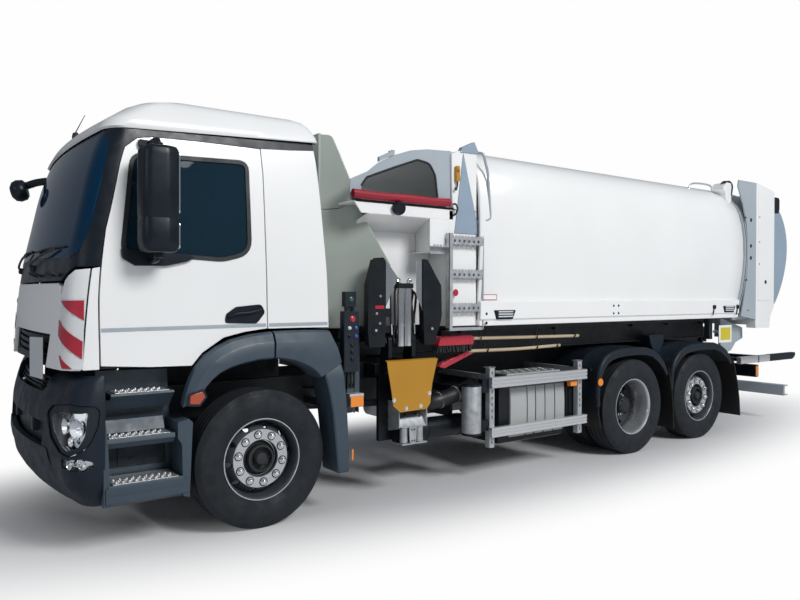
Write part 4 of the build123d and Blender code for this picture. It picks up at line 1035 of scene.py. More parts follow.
for side, right in SIDES:
    bm = bmesh.new()
    laid(bm, CORNER_PLATE, cab_point, 0.004, step=0.05, out=0.0045, lined=False)
    fit(f"corner_plate_{side}", bm, STRIPED, "cab", bevel=0.001, mirrored=right)
    bm = bmesh.new()
    for band in RED_BANDS:
        laid(bm, band, cab_point, 0.003, step=0.05, out=0.0090, lined=False)
    fit(f"corner_bands_{side}", bm, RED, "cab", mirrored=right)
print("grille and corner plates fitted")

# %% [markdown]
# ## Steps and mudguards
# The step unit is a folded plastic casing with three treads. Each tread has a bright plate of
# raised teeth, a slanted dark riser behind it and a soft front lip. The casing's sides draw in
# towards the bottom, so its front is cut as one outline and its treads are cut as another.

# %% Steps
TREADS = [
    # y front, y rear, z top, x inner, x outer, lip height
    (-1.085, -0.605, 0.505, 0.960, 1.232, 0.150),
    (-1.100, -0.650, 0.800, 0.965, 1.200, 0.085),
    (-1.050, -0.640, 1.080, 0.945, 1.150, 0.060),
]
for side, right in SIDES:
    bm = bmesh.new()
    prism(bm, aft([(-1.112, 0.345), (-0.575, 0.335), (-0.560, 0.862), (-0.612, 0.866),
                   (-0.628, 1.190), (-1.100, 1.200), (-1.112, 0.9)]), 0.930, 0.948)
    for i, (front, rear, top, inner, outer, lip) in enumerate(TREADS):
        outline = [(inner, top - 0.018), (outer - 0.004, top - 0.018), (outer, top - 0.032),
                   (outer + 0.003, top - lip * 0.55), (outer - 0.030, top - lip),
                   (outer - 0.060, top - lip), (outer - 0.034, top - lip * 0.6),
                   (outer - 0.040, top - 0.040), (inner, top - 0.040)]
        prism(bm, outline, *behind(front, rear), axis="y")
    # Slanted risers behind the middle and upper treads.
    prism(bm, [(0.948, 0.805), (1.098, 0.800), (1.055, 0.880), (1.040, 0.880)],
          *behind(-1.100, -0.690), axis="y")
    prism(bm, [(0.948, 1.010), (1.110, 1.020), (1.040, 0.945), (0.948, 0.940)],
          *behind(-1.070, -0.640), axis="y")
    # Side columns frame the two lower treads.
    prism(bm, aft([(-0.560, 0.335), (-0.538, 0.842), (-0.565, 0.868), (-0.640, 0.852),
                   (-0.640, 0.745), (-0.612, 0.700), (-0.604, 0.350)]), 0.950, 1.226)
    prism(bm, aft([(-1.112, 0.350), (-1.112, 0.880), (-1.098, 0.880), (-1.084, 0.740),
                   (-1.068, 0.350)]), 0.950, 1.222)
    prism(bm, [(0.950, 0.345), (1.190, 0.345), (1.232, 0.372), (1.234, 0.470), (1.212, 0.470),
               (1.200, 0.385), (0.950, 0.380)], *behind(-1.100, -0.570), axis="y")
    fit(f"step_{side}_casing", bm, SLATE, "chassis", bevel=0.006, segments=3,
        mirrored=right, replaces=("cab_steps",) if not right else ())
    bm = bmesh.new()
    prism(bm, aft([(-1.070, 0.540), (-1.062, 0.735), (-0.650, 0.725), (-0.640, 0.535)]), 0.949,
          0.958)
    prism(bm, rounded(aft(rectangle((-0.965, -0.790), (0.545, 0.690))), 0.02), 0.958, 0.966)
    for y, z in ((-1.030, 0.700), (-1.030, 0.640), (-0.878, 0.592)):
        peg(bm, (0.958, 0.970), FRONT + y, z, 0.014, sides=16)
    fit(f"step_{side}_recess", bm, DARK_PAINTED_SHADE, "chassis", bevel=0.003, mirrored=right)
    bm = bmesh.new()
    for front, rear, top, inner, outer, lip in TREADS:
        slab(bm, (inner + 0.020, outer - 0.010), behind(front + 0.03, rear - 0.03),
             (top - 0.018, top - 0.013))
        columns = int((rear - front - 0.10) / 0.042)
        for i in range(columns):
            for row, x in enumerate((outer - 0.035, outer - 0.075, outer - 0.115)):
                y = FRONT + front + 0.055 + 0.042 * i + 0.021 * (row % 2)
                bar(bm, (x, y, top - 0.013), (x, y, top), 0.013, sides=8, end_radius=0.008)
    fit(f"step_{side}_treads", bm, ALUMINIUM, "chassis", bevel=0.001,
        mirrored=right)
print("steps fitted")

# %% [markdown]
# A mudguard here is a moulded shell: an outer face with a crease round the wheel, a lip turned
# in at the opening, and an inner skirt. A list of stations round the arch gives, for each place,
# the opening's edge, the crease and the outer edge, and the shell is swept through them.

# %% Front mudguards
GUARD_LIP = 0.024
FENDER = [
    # opening (y, z), crease (y, z), outer edge (y, z); y from the front axle
    ((-0.512, 0.955), (-0.560, 0.968), (-0.600, 0.960)),
    ((-0.480, 1.015), (-0.535, 1.045), (-0.582, 1.045)),
    ((-0.446, 1.069), (-0.500, 1.118), (-0.548, 1.140)),
    ((-0.400, 1.118), (-0.455, 1.185), (-0.505, 1.220)),
    ((-0.344, 1.160), (-0.390, 1.245), (-0.445, 1.288)),
    ((-0.270, 1.193), (-0.305, 1.295), (-0.360, 1.345)),
    ((-0.185, 1.216), (-0.210, 1.332), (-0.255, 1.392)),
    ((-0.058, 1.238), (-0.080, 1.358), (-0.110, 1.424)),
    ((0.062, 1.242), (0.062, 1.366), (0.062, 1.440)),
]
REAR_PART = [
    ((0.074, 1.243), (0.074, 1.368), (0.074, 1.441)),
    ((0.150, 1.232), (0.180, 1.366), (0.200, 1.443)),
    ((0.227, 1.215), (0.307, 1.362), (0.330, 1.443)),
    ((0.300, 1.188), (0.440, 1.350), (0.470, 1.440)),
    ((0.366, 1.155), (0.596, 1.300), (0.543, 1.436)),
    ((0.420, 1.115), (0.615, 1.240), (0.600, 1.330)),
    ((0.455, 1.072), (0.628, 1.190), (0.640, 1.195)),
]


def guard_stations(rows):
    """Rings across a mudguard shell: lip, face, crease, top and back again inside."""
    stations = []
    for (oy, oz), (cy, cz), (ey, ez) in rows:
        section = [(0.985, oy, oz), (1.222, oy, oz), (1.238, oy, oz + 0.012),
                   (1.243, cy, cz - 0.006), (1.236, cy, cz + 0.006), (1.208, ey, ez - 0.012),
                   (1.180, ey, ez), (1.150, ey, ez), (1.170, ey * 0.98, ez - GUARD_LIP),
                   (1.212, cy, cz - 0.012), (1.200, oy, oz + 0.030), (0.985, oy, oz + 0.022)]
        stations.append([(x, FRONT + y, z) for x, y, z in section])
    return stations


MUDFLAP = [
    # z, y front edge, y rear edge, outer x
    (1.175, 0.500, 0.652, 1.205), (1.110, 0.478, 0.659, 1.236), (1.050, 0.498, 0.665, 1.240),
    (0.950, 0.526, 0.676, 1.240), (0.804, 0.556, 0.688, 1.240), (0.600, 0.578, 0.700, 1.238),
    (0.450, 0.594, 0.708, 1.236), (0.338, 0.604, 0.712, 1.234), (0.322, 0.612, 0.710, 1.228),
]
for side, right in SIDES:
    bm = bmesh.new()
    swept(bm, guard_stations(FENDER))
    fit(f"fender_{side}", bm, SLATE, "cab", bevel=0.005, segments=3, smooth=42.0,
        mirrored=right, replaces=("cab_fenders",) if not right else ())
    bm = bmesh.new()
    prism(bm, aft(rounded([(-0.562, 1.026), (-0.478, 1.050), (-0.458, 1.010), (-0.500, 0.962),
                           (-0.566, 0.968)], 0.012)), 1.236, 1.2475)
    fit(f"fender_{side}_marker", bm, MARKER, "cab", bevel=0.003, mirrored=right)
    bm = bmesh.new()
    prism(bm, aft(rounded([(-0.578, 1.038), (-0.470, 1.068), (-0.440, 1.008), (-0.494, 0.946),
                           (-0.582, 0.954)], 0.016)), 1.234, 1.2425)
    fit(f"fender_{side}_marker_frame", bm, DARK_PAINTED_SHADE, "cab", bevel=0.002,
        mirrored=right)
    bm = bmesh.new()
    swept(bm, guard_stations(REAR_PART))
    swept(bm, [[(0.985, FRONT + front, z), (outer - 0.012, FRONT + front, z),
                (outer, FRONT + front + 0.012, z), (outer, FRONT + rear - 0.014, z),
                (outer - 0.014, FRONT + rear, z), (0.985, FRONT + rear, z),
                (0.985, FRONT + rear - 0.016, z), (outer - 0.030, FRONT + rear - 0.016, z),
                (outer - 0.024, FRONT + front + 0.020, z), (0.985, FRONT + front + 0.016, z)]
               for z, front, rear, outer in MUDFLAP])
    fit(f"front_mudguard_{side}", bm, SLATE, "chassis", bevel=0.005, segments=3,
        smooth=42.0, mirrored=right)
print("front mudguards shaped")

# %% [markdown]
# ## Wheels
# A tyre is one turned section: bead, bulging sidewall with two raised rings, a square shoulder
# and a tread with four grooves. A rim is a thin bright dish. On the front and trailing axles its
# disc stands outwards; on the drive axle it lies deep inside. Ten hand holes near the disc's
# edge are cut through it by a boolean.

# %% Tyres
TYRE_SECTION = [
    # distance from the tyre's centre plane, radius: inner bead over the tread to the outer bead
    (-0.112, 0.290), (-0.122, 0.300), (-0.138, 0.330), (-0.148, 0.375), (-0.150, 0.402),
    (-0.147, 0.440), (-0.136, 0.478), (-0.124, 0.494), (-0.118, 0.505),
    (-0.086, 0.507), (-0.085, 0.495), (-0.075, 0.495), (-0.074, 0.507),
    (-0.034, 0.507), (-0.033, 0.495), (-0.023, 0.495), (-0.022, 0.507),
    (0.022, 0.507), (0.023, 0.495), (0.033, 0.495), (0.034, 0.507),
    (0.074, 0.507), (0.075, 0.495), (0.085, 0.495), (0.086, 0.507), (0.118, 0.505),
    (0.124, 0.494), (0.136, 0.478), (0.1405, 0.468), (0.1430, 0.462), (0.1425, 0.455),
    (0.1480, 0.438), (0.150, 0.402), (0.1475, 0.372), (0.1435, 0.358), (0.1420, 0.347),
    (0.1385, 0.340), (0.128, 0.314), (0.122, 0.300), (0.112, 0.290),
]
AXLES = (("front", 1.046, FRONT), ("drive", 1.100, DRIVE), ("tag", 1.046, TAG))
TWIN_SPACING = 0.345
CROSS_BARS = 90
for name, x, axle_y in AXLES:
    centre = (x, axle_y, WHEEL_RADIUS)
    for side, right in SIDES:
        bm = bmesh.new()
        turned(bm, TYRE_SECTION, centre, sides=72)
        if name == "drive":
            turned(bm, TYRE_SECTION, (x - TWIN_SPACING, axle_y, WHEEL_RADIUS), sides=72)
            for k in range(CROSS_BARS):
                # Cross bars of the drive tread stand on the shoulder.
                a = math.tau * k / CROSS_BARS
                out = Vector((0, math.cos(a), math.sin(a)))
                along = Vector((0, -math.sin(a), math.cos(a)))
                base = Vector(centre) + out * 0.492
                ring = [base + Vector((dx, 0, 0)) + out * dr + along * dt
                        for dx, dr in ((0.0865, 0.0), (0.1255, 0.0), (0.1185, 0.0148),
                                       (0.0865, 0.0148)) for dt in (-0.009, 0.009)]
                v = [bm.verts.new(p) for p in ring]
                for face in ((0, 2, 4, 6), (1, 7, 5, 3), (0, 1, 3, 2), (2, 3, 5, 4),
                             (4, 5, 7, 6), (6, 7, 1, 0)):
                    bm.faces.new([v[i] for i in face])
        fit(f"tyre_{name}_{side}_tread", bm, RUBBER, f"wheel_{name}_{side}",
            smooth=32.0, mirrored=right, replaces=(f"tyre_{name}_{side}",))
print("tyres turned")

# %% [markdown]
# A truck's rim is a pressed steel dish bolted to a hub. We could bend a flat disc, but turning
# its section gives clean edges and needs only a short list of points. Bright edges, nuts and the
# hub are pieces of their own, because each has its own finish. The front and trailing rims'
# barrel and disc are painted darker than their bright edges, as painted shade deep in the wheel,
# and the drive rim's deep disc takes the dark cast finish as painted shade too.

# %% Rims and hubs
BARREL = [
    # rim seen in section, from the outer lip inwards; x from the wheel's centre plane
    (0.127, 0.299), (0.127, 0.291), (0.121, 0.286), (0.112, 0.281), (0.095, 0.279),
    (0.040, 0.268), (-0.040, 0.268), (-0.100, 0.279), (-0.116, 0.284), (-0.127, 0.292),
    (-0.127, 0.299), (-0.116, 0.299), (-0.108, 0.290), (-0.098, 0.286), (0.098, 0.286),
    (0.108, 0.290), (0.118, 0.299),
]
OUT_DISC = [
    # the outward disc from the barrel to the hub bore and back along its inner side
    (0.000, 0.266), (0.016, 0.264), (0.030, 0.258), (0.066, 0.232), (0.086, 0.217),
    (0.089, 0.213), (0.089, 0.139), (0.084, 0.133), (0.050, 0.133), (0.050, 0.142),
    (0.074, 0.144), (0.074, 0.206), (0.054, 0.222), (0.018, 0.248), (-0.006, 0.256),
]
DEEP_DISC = [
    # the inward disc of the outer drive rim, deep behind the tyre's face
    (-0.085, 0.266), (-0.105, 0.255), (-0.130, 0.232), (-0.146, 0.205), (-0.150, 0.190),
    (-0.150, 0.115), (-0.154, 0.106), (-0.164, 0.106), (-0.164, 0.190), (-0.160, 0.208),
    (-0.144, 0.238), (-0.116, 0.262), (-0.095, 0.272),
]


def circle(count, y, z, radius, phase=0.0):
    """(y, z) places spread evenly round a centre."""
    return [(y + radius * math.cos(a), z + radius * math.sin(a))
            for a in (math.tau * k / count + phase for k in range(count))]


def cut_holes(disc, places, hole_radius, x_span):
    """Cuts round holes through a disc with a boolean, each along the wheel's axis."""
    cutters = bmesh.new()
    for y, z in places:
        peg(cutters, x_span, y, z, hole_radius)
    bmesh.ops.recalc_face_normals(cutters, faces=cutters.faces[:])
    tool = in_scene("cutters", mesh_of("cutters", cutters))
    bmesh.ops.recalc_face_normals(disc, faces=disc.faces[:])
    blank = bpy.data.meshes.new("blank")
    disc.to_mesh(blank)
    body = in_scene("blank", blank)
    cut = body.modifiers.new("holes", "BOOLEAN")
    cut.operation = "DIFFERENCE"
    cut.solver = "EXACT"
    cut.object = tool
    bpy.context.view_layer.update()
    shaped = body.evaluated_get(bpy.context.evaluated_depsgraph_get())
    disc.clear()
    disc.from_mesh(shaped.to_mesh())
    shaped.to_mesh_clear()
    for thing in (tool, body):
        bpy.data.objects.remove(thing)


def nut(bm, x, y, z):
    """A wheel nut on its washer, with the stud's end standing out."""
    size, stand = 0.0185, 0.030
    turned(bm, [(0.0, 0), (0.0, size * 1.45), (0.005, size * 1.35), (0.006, 0)], (x, y, z),
           sides=18, closed=False)
    turned(bm, [(0.004, 0), (0.004, size), (stand * 0.8, size), (stand * 0.85, size * 0.8),
                (stand * 0.85, 0)], (x, y, z), sides=6, closed=False)
    peg(bm, (x + stand * 0.8, x + stand), y, z, size * 0.6, sides=10)


HAND_HOLES, HOLE_TURN = 10, 0.12
NUT_CIRCLE = 0.1765
DEEP_HUB = [(-0.43, 0.062), (-0.43, 0.094), (-0.170, 0.096), (-0.165, 0.104), (-0.120, 0.102),
            (-0.020, 0.095), (0.010, 0.090), (0.022, 0.078), (0.026, 0.060), (0.028, 0)]
OUT_HUB = [(-0.040, 0.062), (-0.040, 0.126), (0.046, 0.128), (0.052, 0.104), (0.082, 0.103),
           (0.100, 0.098), (0.102, 0.086), (0.066, 0.082), (0.062, 0.052), (0.096, 0.048),
           (0.112, 0.040), (0.117, 0.026), (0.118, 0)]
for name, x, axle_y in AXLES:
    deep = name == "drive"
    face = -0.150 if deep else 0.089
    centre = (x, axle_y, WHEEL_RADIUS)
    nut_places = circle(HAND_HOLES, axle_y, WHEEL_RADIUS, NUT_CIRCLE,
                        HOLE_TURN + math.pi / HAND_HOLES)
    for side, right in SIDES:
        wheel = f"wheel_{name}_{side}"
        bm = bmesh.new()
        turned(bm, BARREL, centre, sides=72)
        if deep:
            second = (x - TWIN_SPACING, axle_y, WHEEL_RADIUS)
            turned(bm, BARREL, second, sides=48)
            turned(bm, [(d + 0.005 if d > 0.01 else d, r) for d, r in OUT_DISC], second,
                   sides=48)
        # The front and trailing dishes carry painted shade; the drive's dish is bright silver.
        fit(f"rim_{name}_{side}_dish", bm, SILVER if deep else RIM_PAINTED_SHADE, wheel,
            smooth=38.0, mirrored=right, replaces=(f"rim_{name}_{side}",))
        disc = bmesh.new()
        turned(disc, DEEP_DISC if deep else OUT_DISC, centre, sides=60)
        ring_radius, hole_radius, low, high = ((0.222, 0.026, -0.20, -0.05) if deep else
                                               (0.240, 0.0215, -0.03, 0.12))
        cut_holes(disc, circle(HAND_HOLES, axle_y, WHEEL_RADIUS, ring_radius, HOLE_TURN),
                  hole_radius, (x + low, x + high))
        # Both discs are painted shade: the drive's in the dark cast finish, the others in the rims'
        # darker paint.
        fit(f"rim_{name}_{side}_disc", disc, CAST if deep else RIM_PAINTED_SHADE, wheel,
            smooth=38.0, mirrored=right)
        bm = bmesh.new()
        turned(bm, [(0.116, 0.290), (0.122, 0.2875), (0.1285, 0.2925), (0.1285, 0.2985),
                    (0.123, 0.300), (0.116, 0.300)], centre, sides=72)
        if not deep:
            turned(bm, [(0.0885, 0.138), (0.0905, 0.1385), (0.0905, 0.2125), (0.0885, 0.214)],
                   centre, sides=60)
        fit(f"rim_{name}_{side}_bright", bm, SILVER, wheel, smooth=30.0,
            mirrored=right)
        bm = bmesh.new()
        for y, z in nut_places:
            nut(bm, x + face + 0.001, y, z)
        fit(f"rim_{name}_{side}_nuts", bm, CHROME, wheel, smooth=30.0,
            mirrored=right)
        bm = bmesh.new()
        turned(bm, DEEP_HUB if deep else OUT_HUB, centre, sides=40, closed=False)
        # Each nut's foot gets a thin dark ring in the cast finish: painted shade where the nut
        # meets the disc.
        for y, z in nut_places:
            turned(bm, rectangle((0.0, 0.0035), (0.0265, 0.0325), across_first=True),
                   (x + face, y, z), sides=20)
        reach, start = (0.076, 0.026) if deep else (0.072, 0.064)
        for y, z in circle(8, axle_y, WHEEL_RADIUS, reach):
            peg(bm, (x + start - 0.01, x + start + 0.010), y, z, 0.0075, sides=6)
        fit(f"rim_{name}_{side}_hub", bm, CAST, wheel, smooth=35.0,
            mirrored=right)
print("rims bolted on")

# %% [markdown]
# ## The load body
# The body's sides bulge a little between the sill and the shoulder, and the roof is arched. Its
# rear edge is cut as an arc, and the tailgate's front edge follows the same arc. A cross section
# is drawn once as a list of points, and the body is swept along the truck, with each point of
# the last section drawn forwards or back to make the arc.

# %% Body shell
SIDE_PROFILE = [
    # half width, z: from the sill up over the shoulder to the middle of the roof
    (1.220, 1.640), (1.232, 1.800), (1.242, 2.000), (1.248, 2.200), (1.246, 2.400),
    (1.236, 2.600), (1.216, 2.740), (1.190, 2.820), (1.145, 2.900), (1.080, 2.965),
    (1.000, 3.010), (0.915, 3.045), (0.600, 3.066), (0.300, 3.080), (0.000, 3.085),
]


def split_y(z):
    """Where the body ends and the tailgate begins at a height, from the front axle."""
    t = (z - 2.26) / 0.85
    return 6.520 - 0.175 * t * t - (0.10 * max(0.0, t) ** 3)


def profile_ring(y_of, inset=0.0):
    """Points of the section over the roof from left to right; y_of gives y for a height."""
    half = [(x - inset if x > 0.02 else x, z - (inset if x < 1.15 else 0.0))
            for x, z in SIDE_PROFILE]
    left = [(x, FRONT + y_of(z), z) for x, z in half]
    return left + [(-x, y, z) for x, y, z in reversed(left[:-1])]


def lined_arch(bm, rings, lining):
    """An open arch of rings; lining(x, y, z) gives its inner face at the two ends."""
    loops = [[bm.verts.new(p) for p in ring] for ring in rings]
    inner = [[bm.verts.new(lining(*p)) for p in rings[end]] for end in (0, -1)]
    joined(bm, loops, closed=False)
    for i in range(len(inner[0]) - 1):
        bm.faces.new((inner[0][i], inner[1][i], inner[1][i + 1], inner[0][i + 1]))
        bm.faces.new((loops[0][i], inner[0][i], inner[0][i + 1], loops[0][i + 1]))
        bm.faces.new((loops[-1][i], loops[-1][i + 1], inner[1][i + 1], inner[1][i]))
    return loops, inner


BODY_START = 2.065
bm = bmesh.new()
rings = []
for t in (0.0, 0.004, 0.25, 0.5, 0.75, 0.93, 0.995, 1.0):
    inset = 0.012 if t in (0.0, 1.0) else 0.0
    rings.append(profile_ring(lambda z: BODY_START + (split_y(z) - 0.006 - BODY_START) * t,
                              inset))
lined_arch(bm, rings, lambda x, y, z: (x * 0.985, y, z - 0.016))
fit("body_skin", bm, WHITE, "load_body", smooth=40.0, replaces=("body_shell",))
bm = bmesh.new()
sill = [(1.215, 1.660), (1.252, 1.655), (1.252, 1.492), (1.236, 1.480), (1.236, 1.432),
        (1.150, 1.432), (1.150, 1.480), (1.200, 1.492), (1.212, 1.640)]
prism(bm, sill, *behind(2.060, 6.395), axis="y")
twin(bm)
slab(bm, (-1.19, 1.19), behind(2.065, 6.36), (1.432, 1.462))
fit("body_sills", bm, WHITE, "load_body", bevel=0.008, segments=3)
print("body skinned")

# %% [markdown]
# ## Tailgate
# Three parts follow each other: a grey frame whose front edge follows the body's arc, a white
# upright housing on each side, and a round-backed bell between the housings.

# %% Tailgate
bm = bmesh.new()
rings = []
for t in (0.0, 0.03, 0.5, 0.97, 1.0):
    inset = 0.014 if t in (0.0, 1.0) else 0.0
    rings.append(profile_ring(lambda z: split_y(z) + 0.010 + (6.785 - split_y(z) - 0.010) * t,
                              inset))
low_rings = []
for ring in rings:
    x, y, z = ring[0]
    low_rings.append([(x - 0.060, y - 0.055, 1.400), (x - 0.014, y - 0.025, 1.500)] + ring
                     + [(-x + 0.014, y - 0.025, 1.500), (-x + 0.060, y - 0.055, 1.400)])
loops, inner = lined_arch(bm, low_rings, lambda x, y, z: (
    x * 0.965, y, z - (0.04 if z > 2.8 else 0.0)))
for end in (0, -1):
    bm.faces.new((loops[0][end], inner[0][end], inner[1][end], loops[-1][end]))
fit("tailgate_frame", bm, LIGHT_GREY, "tailgate", smooth=40.0,
    replaces=("tailgate",))
bm = bmesh.new()
cheek = [(split_y(z) + 0.075, z) for z in (1.45, 1.70, 2.00, 2.30, 2.60)]
prism(bm, aft(cheek + [(split_y(2.85) + 0.070, 2.850), (6.350, 3.070), (6.370, 3.148),
                       (6.790, 3.148), (6.790, 1.400)]), 1.235, 1.2525)
twin(bm)
fit("tailgate_cheeks", bm, LIGHT_GREY, "tailgate", bevel=0.002)
bm = bmesh.new()
seam = [[bm.verts.new(p) for p in profile_ring(lambda z: split_y(z) + back, depth)]
        for back, depth in ((0.040, -0.0015), (0.052, -0.0015), (0.052, 0.004), (0.040, 0.004))]
joined(bm, seam + seam[:1], closed=False)
for end in (0, -1):
    bm.faces.new([loop[end] for loop in seam])
fit("tailgate_seam", bm, SEAL, "tailgate")
bm = bmesh.new()
for z in (2.666, 2.337, 2.185):
    peg(bm, (1.245, 1.2545), FRONT + 6.660, z, 0.024, sides=20)
for y, z in ((6.530, 2.690), (6.560, 1.904), (6.865, 2.717), (6.865, 2.396), (6.865, 2.113)):
    peg(bm, (1.245, 1.2590), FRONT + y, z, 0.010, sides=12)
peg(bm, (1.245, 1.2620), FRONT + 7.020, 1.883, 0.024, sides=16)
twin(bm)
fit("tailgate_plugs", bm, SEAL, "tailgate", bevel=0.001)
HOUSING = rounded(aft([(6.785, 3.148), (6.830, 3.148), (7.235, 3.075), (7.250, 3.030),
                       (7.250, 1.560), (7.160, 1.440), (7.140, 1.290), (6.790, 1.290),
                       (6.785, 1.340)]), 0.02)
bm = bmesh.new()
prism(bm, HOUSING, 1.130, 1.252)
prism(bm, rounded(aft([(6.835, 3.060), (7.190, 3.000), (7.190, 1.640), (6.835, 1.640)]), 0.03),
      1.252, 1.257)
twin(bm)
slab(bm, (-1.13, 1.13), behind(6.79, 6.90), (1.33, 1.43))
slab(bm, (-1.13, 1.13), behind(6.79, 7.20), (2.955, 3.005))
fit("tailgate_housings", bm, WHITE, "tailgate", bevel=0.010, segments=3)
BELL = smooth_path([(7.00, 1.395, 0), (7.25, 1.425, 0), (7.46, 1.545, 0), (7.62, 1.715, 0),
                    (7.755, 1.950, 0), (7.835, 2.200, 0), (7.845, 2.440, 0), (7.780, 2.660, 0),
                    (7.640, 2.850, 0), (7.440, 2.960, 0), (7.200, 2.985, 0)], 5)
bm = bmesh.new()
outer = aft([(p.x, p.y) for p in BELL])
prism(bm, outer + aft([(7.000, 2.985)]), 1.100, 1.128)
prism(bm, outer + aft([(7.000, 2.985)]), -1.128, -1.100)
for (y1, z1), (y2, z2) in zip(outer, outer[1:]):
    bm.faces.new([bm.verts.new(p) for p in ((-1.1, y1, z1), (1.1, y1, z1), (1.1, y2, z2),
                                            (-1.1, y2, z2))])
bmesh.ops.remove_doubles(bm, verts=bm.verts, dist=1e-5)
fit("tailgate_bell_skin", bm, BELL_GREY, "tailgate", bevel=0.012, segments=3,
    smooth=40.0, replaces=("tailgate_bell",))
print("tailgate shaped")

# %% [markdown]
# ## The hopper tower
# Behind the cab stands a tall tower that takes in the refuse. Its left front corner is cut off at
# a slant, and the lifter stands in a recess whose edge runs down that slant. A white shelf with
# a grey arched guard hangs over the recess, and a red roller curtain lies across its foot.

# %% Tower walls
TOWER = 1.190
CORNER_START, CORNER_END = (0.850, 0.640), (1.190, 1.210)
CORNER_NORMAL = (0.86, 0.51)
LEAN_START = 2.42


def on_corner(y, out=0.0):
    """The x of the slanted corner plate at y from the front axle, moved outwards by out."""
    (x1, y1), (x2, y2) = CORNER_START, CORNER_END
    return x1 + (y - y1) * (x2 - x1) / (y2 - y1) + out


def corner_plate(bm, outline, thick, lean=0.0):
    """A plate on the slanted corner; lean draws it in as it rises."""
    def place(y, z, back):
        draw = lean * max(0.0, z - LEAN_START)
        inwards, rearwards = CORNER_NORMAL
        return (on_corner(y, -(back + draw) * inwards), FRONT + y + (back + draw) * rearwards, z)
    plate(bm, [[place(y, z, back) for y, z in outline] for back in (0.0, thick)])


LOWER_CORNER = [(0.640, 1.432), (0.640, 2.400), (0.780, 2.418), (0.857, 2.458), (0.905, 2.468),
                (1.150, 1.955), (1.130, 1.870), (1.030, 1.840), (1.000, 1.790), (1.000, 1.432)]
UPPER_CORNER = rounded([(0.640, 2.404), (0.640, 3.030), (0.730, 3.026), (0.792, 2.860),
                        (0.858, 2.670), (0.888, 2.540), (0.862, 2.464), (0.780, 2.422)],
                       [0, 0, 0.05, 0.3, 0.3, 0.06, 0.04, 0.02])
bm = bmesh.new()
corner_plate(bm, LOWER_CORNER, 0.016)
corner_plate(bm, UPPER_CORNER, 0.016, lean=0.05)
prism(bm, [(-TOWER, 1.432), (-TOWER, 2.950), (-1.000, 3.036), (0.845, 3.034), (0.845, 1.432)],
      *behind(0.640, 0.664), axis="y")
fit("tower_front", bm, GREEN_GREY, "load_body", bevel=0.006, segments=3)
bm = bmesh.new()
prism(bm, aft(rectangle((0.645, 2.060), (1.432, 2.945))), -TOWER, -TOWER + 0.020)
for y in (0.95, 1.30, 1.65):
    slab(bm, (-TOWER - 0.030, -TOWER), behind(y - 0.03, y + 0.03), (1.50, 2.90))
slab(bm, (-TOWER - 0.034, -TOWER + 0.04), behind(0.645, 2.06), (2.905, 2.950))
# Inner walls, floor and the sloping chute that the refuse slides down.
slab(bm, (0.842, 0.860), behind(0.664, 2.06), (1.45, 2.47))
slab(bm, (-1.17, 0.860), behind(0.66, 2.06), (1.436, 1.545))
prism(bm, aft([(0.664, 1.56), (0.664, 2.20), (0.680, 2.20), (1.00, 1.57)]), -1.165, 0.842)
fit("tower_far_side", bm, WHITE, "load_body", bevel=0.006,
    replaces=("hopper",))
bm = bmesh.new()
slab(bm, (0.884, 0.900), behind(0.80, 1.742), (1.436, 2.285))
# Underside of the shelf slopes up from the recess's back to the fascia.
prism(bm, [(0.884, 2.255), (0.900, 2.255), (1.188, 2.362), (1.188, 2.378), (0.884, 2.290)],
      *behind(0.905, 1.742), axis="y")
prism(bm, aft([(0.762, 2.464), (0.838, 2.364), (1.790, 2.364), (1.790, 2.464)]), 1.176, 1.190)
slab(bm, (0.845, 1.190), behind(0.78, 2.06), (2.446, 2.466))
# The recess's rear wall slants above the jaws and stands further back below them.
prism(bm, [(0.900, FRONT + 1.593), (1.186, FRONT + 1.533), (1.186, FRONT + 1.551),
           (0.900, FRONT + 1.611)], 2.085, 2.400, axis="z")
prism(bm, aft(rectangle((1.533, 1.760), (2.085, 2.400))), 1.172, 1.188)
slab(bm, (0.900, 1.186), behind(1.54, 1.752), (2.073, 2.087))
slab(bm, (0.884, 1.186), behind(1.742, 1.758), (1.436, 2.10))
prism(bm, aft(rectangle((1.742, 2.062), (1.436, 2.450))), 1.174, 1.190)
# The tall panel beside the ladder, with its cap drawn in to a point.
prism(bm, aft([(1.782, 2.440), (1.770, 2.945), (1.880, 2.985), (2.050, 3.030), (2.062, 2.960),
               (2.062, 2.440)]), 1.164, 1.190)
prism(bm, aft([(1.795, 2.440), (1.795, 2.930), (2.055, 3.000), (2.055, 2.440)]), -TOWER - 0.004,
      -TOWER + 0.020)
fit("tower_recess", bm, WHITE, "load_body", bevel=0.005, segments=2)
# The thin blue-grey triangle on the tall panel is a painted shadow, a plate laid where shade falls;
# the sloping cap above it takes the same blue-grey.
bm = bmesh.new()
prism(bm, aft([(1.900, 2.962), (2.092, 2.250), (1.800, 2.250)]), 1.190, 1.197)
prism(bm, aft([(1.862, 2.965), (1.886, 3.012), (2.026, 3.075), (2.085, 2.972)]), 1.150, 1.200)
fit("tower_painted_shadow_and_cap", bm, BELL_GREY, "load_body", bevel=0.004)
print("tower walls folded")

# %% [markdown]
# The guard is a grey plate cut to an arch, with a rubber edge round its opening. The curtain is
# one long sheet of coated cloth, rolled up: its section is a spiral, and the roll sags a little
# between its ends. A round work lamp looks down from the fascia.

